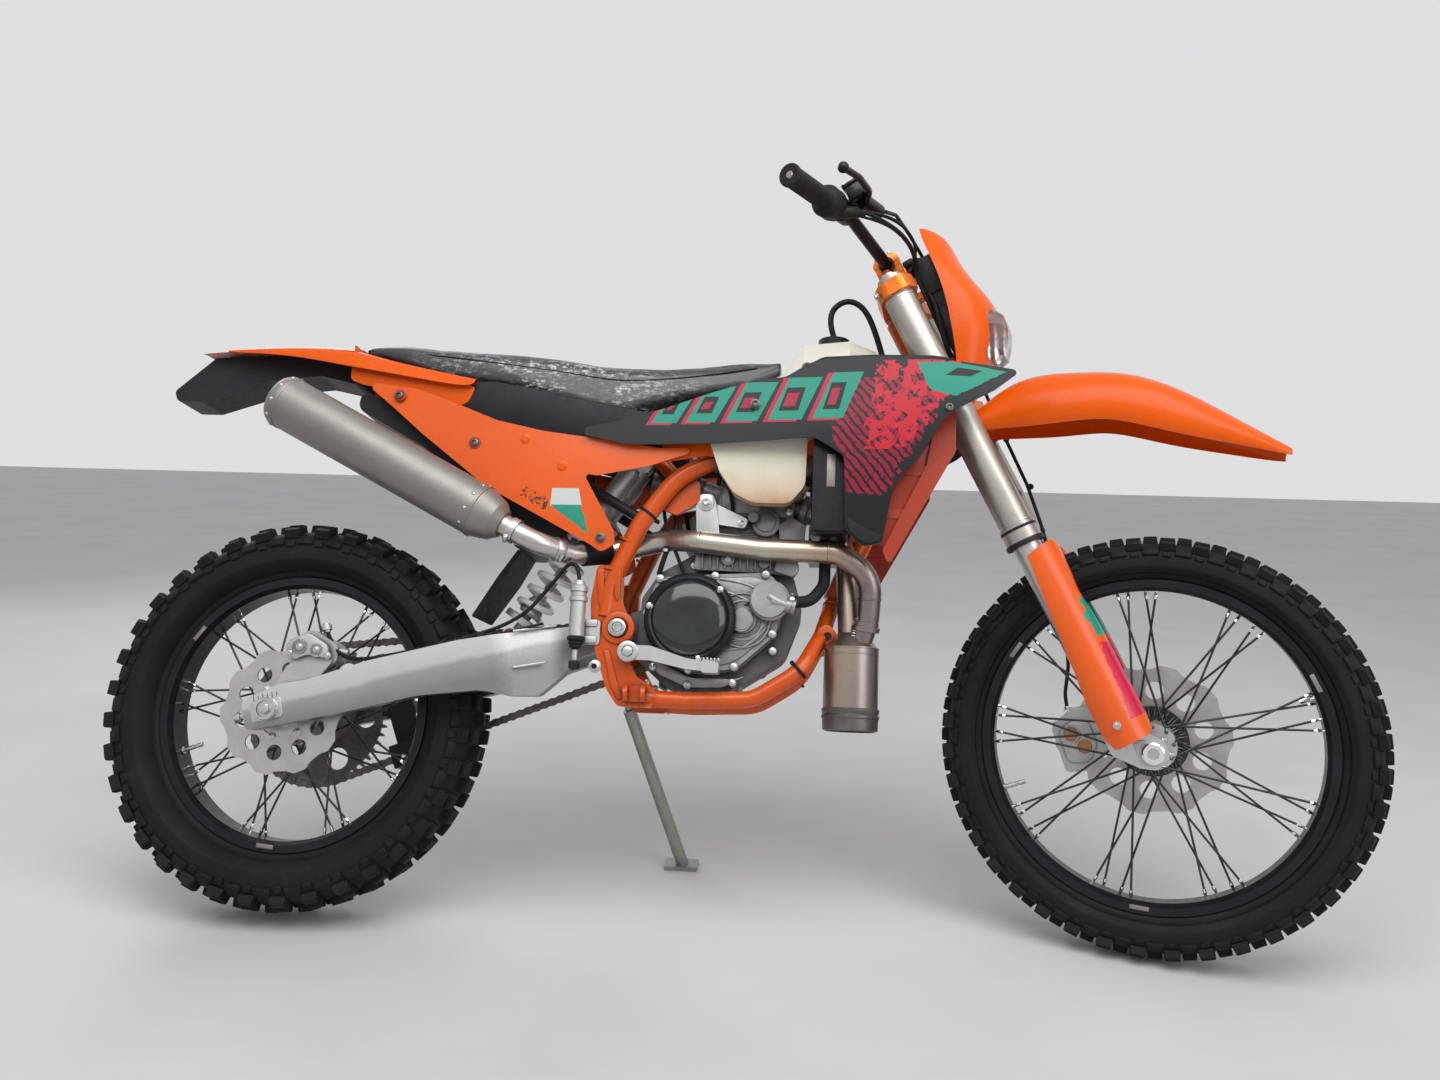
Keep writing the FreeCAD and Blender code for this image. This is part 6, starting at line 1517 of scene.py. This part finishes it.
class MOTO_OT_bodywork(bpy.types.Operator):
    """Adds skins, trims, screws, and details of the tank, the radiators and both levers at the feet"""
    bl_idname = "moto.bodywork"
    bl_label = "Bodywork"

    def execute(self, context):
        wedge = side_skin([(150, 924), (279, 933), (330, 934), (450, 912), (571, 884), (650, 866), (690, 852),
                           (690, 812), (565, 812), (497, 828), (411, 838), (333, 856), (243, 892)])
        present(wedge, "seat_fairing", ON_BIKE, "black_plastic")
        # Louvres in the darker red that the guards' orange shows in shade: painted shade
        louvre = plate([(978, 672), (978, 838), (1102, 838), (1092, 790), (1022, 640)], -168, -166, 3, 0.4)
        present(both_sides(louvre), "guard_louvres", ON_BIKE, "red_plastic")
        tip = side_skin([(640, 786), (640, 818), (706, 830), (768, 836), (742, 798), (716, 800)], 0.5)
        present(tip, "panel_tips", ON_BIKE, "orange_plastic")
        flank = side_skin([(59, 938), (59, 966), (96, 966), (203, 944), (296, 924), (286, 896), (262, 884),
                           (170, 914), (84, 928)], 1.5)
        present(flank, "fender_flanks", ON_BIKE, "orange_plastic")
        tail = web([[(-190, -64, 998), (-60, -80, 1001), (50, -80, 1001), (110, -79, 982), (200, -91, 959),
                     (296, -98, 939)],
                    [(-190, -71, 997), (-60, -89, 999), (50, -95, 994), (110, -99, 978), (200, -106, 956),
                     (296, -112, 936)],
                    [(-190, -72, 992), (-60, -92, 984), (50, -104, 960), (110, -107, 950), (200, -112, 934),
                     (296, -119, 916)]])
        present(tail, "tail_flanks", ON_BIKE, "orange_plastic", smooth=60)
        screws, cups = [], []
        for side in (-1, 1):
            for x, y, z in ((309, 119.5, 816), (160, 107, 904)):
                screws.append(((x, side * (y - 1.2), z), (0, side, 0)))
                cups.append(turned([(0, 5), (0, 10.5), (1.6, 10.5), (2.4, 9.5), (2.4, 7.5), (1, 7)],
                                   (x, side * (y - 1.4), z), (0, side, 0), 28))
            screws += [((x, side * y, z), (0, side, 0))
                       for x, y, z in ((545, 133.5, 650), (800, 174, 880), (1118, 207, 870), (885, 154, 955))]
        plugs = [((x, side * y, z), (0, side, 0)) for x, y, z in ((400, 126, 823), (470, 133, 774))
                 for side in (-1, 1)]
        present(bolts(plugs, 6.6, 1.0, 20), "panel_plugs", ON_BIKE, "orange_plastic")
        present(bolts(screws, 6.5, 4.0, 20), "panel_bolts", ON_BIKE, "dark_steel", "steel")
        present(joined(cups), "panel_cups", ON_BIKE, "red_plastic")
        trim = plate([(874, 953), (913, 972), (1000, 972), (1097, 966), (1132, 958), (1000, 950), (911, 939)],
                     -154, -150, 5, 1)
        for vertex in trim.data.vertices:
            vertex.co.y -= max(0, vertex.co.x - 874 * MM) * SHROUD_FLARE
        present(both_sides(trim), "shroud_trim", ON_BIKE, "black_plastic")
        low = plate([(957, 700), (957, 668), (984, 643), (1012, 649), (1026, 722), (990, 712)], -183,
                    -178.5, 10, 1.6)
        present(both_sides(low), "shroud_feet", ON_BIKE, "black_plastic")
        lid = [turned([(0, 29.2), (2, 31), (12, 31), (14, 29), (20, 28.4), (23, 24), (24, 12), (24, 0.1)],
                      (CAP_X, 0, 1042), UP, 48)]
        for i in range(CAP_GRIPS):
            angle = math.tau * i / CAP_GRIPS
            at = (CAP_X + 29 * math.cos(angle), 29 * math.sin(angle), 1050)
            lid.append(box(at, (8, 8, 13), 1.6, (0, 0, angle)))
        lid.append(rod((CAP_X, 0, 1064), (CAP_X, 0, 1074), 7, 16, 1))
        present(joined(lid), "tank_cap", ON_BIKE, "black_plastic")
        vent = hose([(CAP_X, 0, 1072), (926, -4, 1096), (930, -6, 1128), (958, -8, 1146), (988, -8, 1132),
                     (1010, -6, 1088), (1024, -6, 1036)], 5.5)
        present(vent, "tank_vent", ON_BIKE, "black_rubber", smooth=60)
        fins = []
        for side in (-1, 1):
            fins += [box((977.6, side * 120, 674 + 5.5 * i), (0.8, 82, 0.7), 0) for i in range(30)]
            fins += [box((932, side * 120, z), (60, 88, 7), 2.5) for z in (838, 668)]
            fins.append(rod((950, side * 96, 838), (950, side * 96, 848), 12, 24, 2))
        present(joined(fins), "radiator_fins", ON_BIKE, "black_alloy")
        label = [box((930, side * 166.4, 770), (14, 1.0, 56), 0.3) for side in (-1, 1)]
        present(joined(label), "radiator_labels", ON_BIKE, "silencer_alloy", "bare_alloy")
        clamps = [band((926, -84.5, 658), UP, 10.4, 8), band((872, -106, 556), (1, 0, 0), 10.4, 8)]
        present(joined(clamps), "hose_clamps", ON_BIKE, "steel")
        teeth = [box((731 + 6 * i, y, 450), (2.6, 5, 5), 0.4) for i in range(5)
                 for y in (-148, -140, -132, -124, -116)]
        teeth.append(rod((604, -138, 459), (604, -145, 459), 9, 6, 0.8))
        teeth.append(turned([(0, 10), (0, 18), (3, 17), (4, 14), (4, 10)], (604, -138, 459), RIGHT, 32))
        present(joined(teeth), "pedal_teeth", ON_BIKE, "bare_alloy")
        boot = [turned([(0, 13), (2, 15), (6, 15), (9, 11), (12, 13), (15, 9.5), (18, 11), (21, 7), (23, 5)],
                       (514, -128, 482), (0, 0, -1), 28), box((514, -128, 434), (16, 18, 14), 2)]
        present(joined(boot), "master_boot", ON_BIKE, "black_rubber")
        body = [turned([(0, 13), (1, 15.5), (8, 15.5), (10, 13)], (514, -128, 540), UP, 32),
                turned([(0, 13), (1, 15), (10, 15), (12, 11), (20, 8), (21, 0.1)], (514, -128, 556), UP, 32),
                box((530, -117, 506), (34, 10, 12), 2), box((530, -117, 478), (34, 10, 12), 2)]
        present(joined(body), "master_body", ON_BIKE, "cast_alloy", "bare_alloy")
        sleeve = turned([(0, 8), (1, 10), (4, 10), (5, 8.6), (8, 8.6), (9, 10), (12, 10), (13, 8.6),
                         (16, 8.6), (17, 10), (21, 10), (23, 8), (23, 0.1)], (818, 139, 456), LEFT, 20)
        present(sleeve, "shift_rubber", ON_BIKE, "black_rubber")
        return {"FINISHED"}


# Fork and cockpit, in lengths ahead of, across and up the steering axis

LEG_U, LEG_Y = 22, 102
# Inner and outer end of the bar's left half, and where its grip starts
BAR_INNER, BAR_OUTER = Vector((16, 195, 1012)), Vector((-22, 405, 1030))
BAR_ALONG = (BAR_OUTER - BAR_INNER).normalized()
GRIP_START = BAR_OUTER - BAR_ALONG * 122


def on_legs(profile, t, steps=32):
    """Two lathed pieces that stand on the fork's legs."""
    return [turned(profile, (LEG_U, y, t), UP, steps) for y in (-LEG_Y, LEG_Y)]


def at_bar(reach, u=0.0, t=0.0):
    """A point inwards of the left grip's start, shifted ahead and up."""
    return tuple(GRIP_START - BAR_ALONG * reach + Vector((u, 0, t)))


class MOTO_OT_fork(bpy.types.Operator):
    """Adds clamp bolts, caps, seals, caliper and axle details to the fork"""
    bl_idname = "moto.fork"
    bl_label = "Fork"

    def execute(self, context):
        caps = on_legs([(0, 23.4), (2, 24), (9, 24), (11, 21), (11, 10), (14, 9.6), (14, 0.1)], 905)
        hexes = [rod((LEG_U, y, 914), (LEG_U, y, 924), 11.5, 6, 1) for y in (-LEG_Y, LEG_Y)]
        present(joined(caps + hexes), "fork_caps", ON_FORK, "bare_alloy")
        knobs = on_legs([(0, 6.5), (6, 6.5), (7.5, 5), (7.5, 0.1)], 924, 14)
        present(joined(knobs), "fork_adjusters", ON_FORK, "red_plastic")
        screws = []
        for side in (-1, 1):
            for t in (657, 675, 889):
                screws.append(((-8, side * 127, t), (-1, side * 0.2, 0)))
            for t in (-18, 18):
                screws.append(((72, side * LEG_Y, t * 0.7 - 2), (1, 0, -0.2)))
            screws.append(((LEG_U, side * 150, 62), (0, side, 0)))
        present(bolts(screws, 4.8, 5), "fork_bolts", ON_FORK, "steel")
        stem = [turned([(0, 20), (3, 20), (5, 17), (5, 8), (1, 7.5)], (0, 0, 908), UP, 24),
                rod((0, 0, 898), (0, 0, 909), 17, 6, 1)]
        present(joined(stem), "stem_nut", ON_FORK, "steel")
        seals = on_legs([(0, 27), (0, 32.5), (5, 33.5), (8, 32.5), (9, 30), (26, 30), (28, 31.5),
                         (32, 31.5), (34, 29)],
                        383, 40)
        present(joined(seals), "fork_seals", ON_FORK, "black_plastic")
        rings = []
        for t in (422, 640, 690, 868):
            rings += on_legs([(0, 28.8), (0.6, 29.3), (2.4, 29.3), (3, 28.8)], t, 40)
        present(joined(rings), "fork_rings", ON_FORK, "steel")
        end = [turned([(0, 16), (2, 17.5), (9, 17.5), (11, 15), (11, 9), (3, 8.5), (3, 0.1)], (50.7, -124, 0),
                      RIGHT, 32),
               turned([(0, 17), (10, 17), (12, 15), (12, 0.1)], (50.7, 130, 0), LEFT, 6)]
        present(joined(end), "axle_ends", ON_FORK, "chrome", "steel")
        rib = []
        for side in (-1, 1):
            rib.append(plate([(26, -12), (30, 30), (44, 26), (64, 12), (66, -10), (50, -22)],
                             *sorted((side * 118, side * 126.5)), 6, 1.2))
            rib.append(rod((LEG_U, side * 80, 58), (LEG_U, side * 124, 58), 11, 18, 1.5))
        present(joined(rib), "axle_lugs", ON_FORK, "cast_alloy", "bare_alloy")
        pistons, cores = [], []
        for u, t in ((-66, 64), (-54, 35)):
            pistons.append(turned([(0, 15.5), (2.4, 15), (2.4, 12.6), (0.6, 12), (0.6, 0.1)], (u, 42, t),
                                  RIGHT, 28))
            cores.append(turned([(0, 12), (1.6, 11.4), (1.6, 0.1)], (u, 41.6, t), RIGHT, 24))
        present(joined(cores), "caliper_pistons", ON_FORK, "brass", "bare_alloy")
        shell = pistons + [plate([(-98, 12), (-88, 84), (-52, 96), (-16, 86), (-18, 24), (-58, -2)], 98,
                                 104, 9, 3),
                           plate([(-92, 20), (-84, 76), (-56, 84), (-30, 74), (-34, 28), (-60, 8)], 41,
                                 46.5, 9, 1.6),
                           rod((-84, 74, 92), (-84, 74, 80), 6, 12, 1),
                           rod((-100, 60, 52), (-90, 60, 52), 6, 12, 1)]
        present(joined(shell), "caliper_shell", ON_FORK, "cast_alloy", "bare_alloy")
        screws = [((-92, 72, 50), (-1, 0, 0)), ((-80, 104.6, 30), LEFT), ((-58, 104.6, 82), LEFT),
                  ((-24, 104.6, 40), LEFT), ((-56, 84, 103), UP)]
        present(bolts(screws), "caliper_bolts", ON_FORK, "steel")
        clips = [rod((66, 84, t - 5), (66, 96, t - 5), 5.5, 12, 1) for t in (600, 500)]
        clips += [box((58, 90, 605), (16, 16, 8), 2), box((38, 82, 345), (18, 22, 8), 2)]
        present(joined(clips), "hose_clips", ON_FORK, "black_plastic")
        return {"FINISHED"}


# Ribs round each grip and the distance from one to the next
GRIP_RINGS, GRIP_PITCH = 22, 4.9


class MOTO_OT_cockpit(bpy.types.Operator):
    """Adds grips, switches, fluid tanks, cables, the display and the lamp's inside"""
    bl_idname = "moto.cockpit"
    bl_label = "Cockpit"

    def execute(self, context):
        profile = [(-3, 12), (-2, 26), (0.5, 27), (3.5, 26), (6, 20), (8, 17.6)]
        for i in range(GRIP_RINGS):
            at = 10 + i * GRIP_PITCH
            profile += [(at, 16.6), (at + 0.9, 17.5), (at + 2.6, 17.5), (at + 3.5, 16.6)]
        profile += [(119, 17.6), (122, 19.0), (126, 19.0), (128, 16.5), (128, 7), (125, 6), (125, 0.1)]
        grip = turned(profile, GRIP_START, BAR_ALONG, 32)
        present(both_sides(grip), "rubber_grips", ON_FORK, "black_rubber", replaced=["grips"], smooth=25)
        plug = turned([(125.2, 6.2), (127.5, 6.2), (128.4, 5), (128.4, 0.1)], GRIP_START, BAR_ALONG, 16)
        present(both_sides(plug), "grip_plugs", ON_FORK, "silencer_alloy", "bare_alloy")
        drum = turned([(2, 12), (2, 24.8), (4, 26.4), (24, 26.4), (27, 25.2), (31, 22), (34, 21), (35, 12)],
                      GRIP_START, -BAR_ALONG, 36)
        drum.data.transform(ACROSS)
        outward(drum)
        snout = joined([rod((8, -262, 1000), (34, -244, 992), 10, 18, 2),
                        rod((34, -244, 992), (44, -236, 988), 6, 14, 1)])
        switch = joined([box(at_bar(42), (38, 20, 40), 5), box(at_bar(44, -16, 10), (10, 12, 10), 2),
                         box(at_bar(44, 4, 22), (16, 12, 8), 2)])
        present(joined([drum, snout, switch]), "throttle_housing", ON_FORK, "black_plastic")
        tanks = []
        for side in (-1, 1):
            tanks.append(box((46, side * 236, 1024), (30, 44, 26), 4))
            tanks.append(box((46, side * 236, 1039), (34, 48, 6), 2))
            tanks.append(rod((20, side * 228, 1014), (40, side * 232, 1016), 12, 18, 2))
        present(joined(tanks), "fluid_tanks", ON_FORK, "black_gloss", "black_alloy")
        screws = [((46 + u, side * 236 + y, 1041), UP) for side in (-1, 1) for u, y in ((-12, -18), (12, 18))]
        screws += [((54, side * 222 + y, 1012), (1, 0, 0.2)) for side in (-1, 1) for y in (-9, 9)]
        screws += [((u, y + dy, 976.5), UP) for u in (13, 39) for y in (-45, 45) for dy in (-7, 7)]
        present(bolts(screws, 3.4, 3), "cockpit_screws", ON_FORK, "steel")
        caps = [plate([(1, 957), (2, 970), (16, 977), (36, 977), (50, 970), (51, 957)], y - 13, y + 13, 5, 1)
                for y in (-45, 45)]
        present(joined(caps), "bar_clamps", ON_FORK, "orange_alloy")
        pad = box((26, 0, 978), (34, 58, 14), 5)
        present(pad, "bar_pad", ON_FORK, "black_rubber")
        cables = [hose(points, radius) for radius, points in (
            (3.4, [(44, -236, 988), (74, -200, 960), (84, -120, 930), (66, -56, 930), (60, -50, 880),
                   (60, -48, 800)]),
            (3.0, [(42, -230, 994), (82, -190, 976), (92, -110, 946), (72, -48, 940), (60, -40, 880),
                   (56, -40, 800)]),
            (3.4, [(50, 236, 990), (86, 190, 968), (92, 110, 940), (74, 50, 930), (60, 52, 880),
                   (58, 50, 800)]),
            (2.4, [(20, -236, 1000), (60, -170, 990), (80, -80, 965), (70, -30, 935), (60, -30, 880),
                   (58, -30, 780)]),
            (2.4, [(20, 246, 1000), (60, 170, 990), (80, 80, 965), (70, 30, 935), (60, 30, 880),
                   (58, 30, 780)]),
            (5, [(62, -22, 900), (74, -60, 860), (60, -64, 800), (50, -50, 740), (52, -20, 720)]),
            (5, [(62, 22, 900), (74, 60, 850), (60, 62, 790), (50, 50, 740), (52, 20, 720)]))]
        present(joined(cables), "bar_cables", ON_FORK, "black_rubber", smooth=60)
        shell = [box((84, 0, 905), (44, 96, 74), 7), box((80, 0, 830), (38, 84, 60), 6),
                 box((74, -40, 800), (26, 18, 80), 4), box((74, 40, 800), (26, 18, 80), 4),
                 box((60, 0, 950), (20, 70, 12), 3)]
        present(joined(shell), "display_shell", ON_FORK, "black_plastic")
        glass = box((66, 0, 941), (34, 62, 5), 1.5, (0, -0.5, 0))
        present(glass, "display_glass", ON_FORK, "smoked", "black_plastic")
        bowl = turned([(0, 6), (3, 14), (10, 26), (22, 38), (30, 42)], (1186, 0, 1056), (1, 0, 0), 40)
        apply_modifier(bowl, "SOLIDIFY", thickness=0.0015)
        present(bowl, "lamp_bowl", ON_HEAD, "chrome", "bare_alloy", smooth=60)
        bulb = joined([rod((1188, 0, 1056), (1206, 0, 1056), 8, 18, 3),
                       rod((1204, 0, 1056), (1216, 0, 1056), 5, 14, 3), box((1200, 0, 1020), (14, 90, 4), 1),
                       box((1200, 0, 1094), (14, 100, 4), 1)])
        present(bulb, "lamp_bulb", ON_HEAD, "white_steel")
        return {"FINISHED"}


class MOTO_OT_stage(bpy.types.Operator):
    """Adds the floor, the soft lamps and the camera"""
    bl_idname = "moto.stage"
    bl_label = "Stage"

    def execute(self, context):
        settings = context.scene.moto_stage
        build_floor(settings.floor_size)
        build_lamps(settings.lamp_power)
        build_camera()
        context.scene.view_settings.view_transform = "Standard"
        return {"FINISHED"}


def build_floor(size):
    clear_selection()
    bpy.ops.mesh.primitive_plane_add(size=size, location=(0, 0, 0))
    floor = bpy.context.object
    floor.name = "floor"
    material, tree, shader, coords = new_finish("floor")
    slow = noise(tree, coords, 2.0, 4)
    tree.links.new(ramp(tree, slow, [(0.3, (0.56, 0.56, 0.565)), (0.7, (0.62, 0.62, 0.625))]),
                   shader.inputs["Base Color"])
    shader.inputs["Roughness"].default_value = 0.6
    floor.data.materials.append(material)


# Shares of the lamp power, light of the room on the machine, and what the lens sees of it besides
OVER_SHARE, SIDE_SHARE = 0.88, 0.35
ROOM_LIGHT, ROOM_SEEN = 0.60, 0.35
# Focal length over picture width, the camera's place in metres, and its yaw, pitch and roll in degrees
FOCAL_RATIO = 1082 / 1440
CAMERA_PLACE = (0.1306, -2.0887, 0.8602)
CAMERA_TURN = (-4.0, 5.81, 1.27)
SENSOR = 36.0


def area_lamp(name, place, target, size, power):
    data = bpy.data.lights.new(name, "AREA")
    data.shape = "RECTANGLE"
    data.size, data.size_y = size
    data.energy = power
    lamp = bpy.data.objects.new(name, data)
    bpy.context.scene.collection.objects.link(lamp)
    lamp.location = place
    lamp.rotation_euler = (Vector(target) - Vector(place)).to_track_quat("-Z", "Y").to_euler()


def build_lamps(power):
    area_lamp("lamp_over", (0.3, -1.6, 3.2), (0, -0.1, 0.5), (3.6, 2.0), power * OVER_SHARE)
    area_lamp("lamp_front", (3.0, -2.6, 2.2), (0.2, 0, 0.6), (2.0, 2.0), power * SIDE_SHARE)
    area_lamp("lamp_back", (-2.8, 2.4, 2.6), (0, 0, 0.6), (2.4, 2.0), power * SIDE_SHARE)
    world = bpy.data.worlds.new("room")
    bpy.context.scene.world = world
    world.use_nodes = True
    tree = world.node_tree
    background = tree.nodes["Background"]
    path = tree.nodes.new("ShaderNodeLightPath")
    seen = math_node(tree, "MAXIMUM", path.outputs["Is Camera Ray"],
                     math_node(tree, "MAXIMUM", path.outputs["Is Transmission Ray"],
                               path.outputs["Is Glossy Ray"]))
    background.inputs["Color"].default_value = (0.78, 0.78, 0.79, 1)
    strength = plus(tree, times(tree, seen, ROOM_SEEN), ROOM_LIGHT)
    tree.links.new(strength, background.inputs["Strength"])


def build_camera():
    """A wide lens at hip height, square to the machine's right side."""
    yaw, pitch, roll = (math.radians(angle) for angle in CAMERA_TURN)
    look = Vector((math.sin(yaw) * math.cos(pitch), math.cos(yaw) * math.cos(pitch), -math.sin(pitch)))
    level = Vector((math.cos(yaw), -math.sin(yaw), 0))
    right = level * math.cos(roll) + level.cross(look) * math.sin(roll)
    data = bpy.data.cameras.new("camera")
    data.sensor_width = SENSOR
    data.lens = SENSOR * FOCAL_RATIO
    camera = bpy.data.objects.new("camera", data)
    bpy.context.scene.collection.objects.link(camera)
    camera.matrix_world = basis(right, right.cross(look), -look, Vector(CAMERA_PLACE))
    bpy.context.scene.camera = camera


CLASSES = [LookSettings, WheelSettings, StageSettings, MOTO_OT_finishes, MOTO_OT_wheels, MOTO_OT_chain,
           MOTO_OT_seat, MOTO_OT_engine, MOTO_OT_exhaust, MOTO_OT_frame,
           MOTO_OT_rear, MOTO_OT_bodywork, MOTO_OT_fork, MOTO_OT_cockpit, MOTO_OT_stage]


class MOTO_PT_panel(bpy.types.Panel):
    """Lists the motorcycle's pieces in the sidebar"""
    bl_idname = "MOTO_PT_panel"
    bl_label = "Motorcycle"
    bl_space_type = "VIEW_3D"
    bl_region_type = "UI"
    bl_category = "Motorcycle"

    def draw(self, context):
        for cls in CLASSES:
            if issubclass(cls, bpy.types.Operator):
                self.layout.operator(cls.bl_idname)


def register():
    for cls in CLASSES + [MOTO_PT_panel]:
        bpy.utils.register_class(cls)
    bpy.types.Scene.moto_look = PointerProperty(type=LookSettings)
    bpy.types.Scene.moto_wheels = PointerProperty(type=WheelSettings)
    bpy.types.Scene.moto_stage = PointerProperty(type=StageSettings)


def unregister():
    for name in ("moto_look", "moto_wheels", "moto_stage"):
        delattr(bpy.types.Scene, name)
    for cls in reversed(CLASSES + [MOTO_PT_panel]):
        bpy.utils.unregister_class(cls)


def main():
    register()
    for cls in CLASSES:
        if issubclass(cls, bpy.types.Operator):
            getattr(bpy.ops.moto, cls.bl_idname.split(".")[1])()


if __name__ == "__main__":
    main()
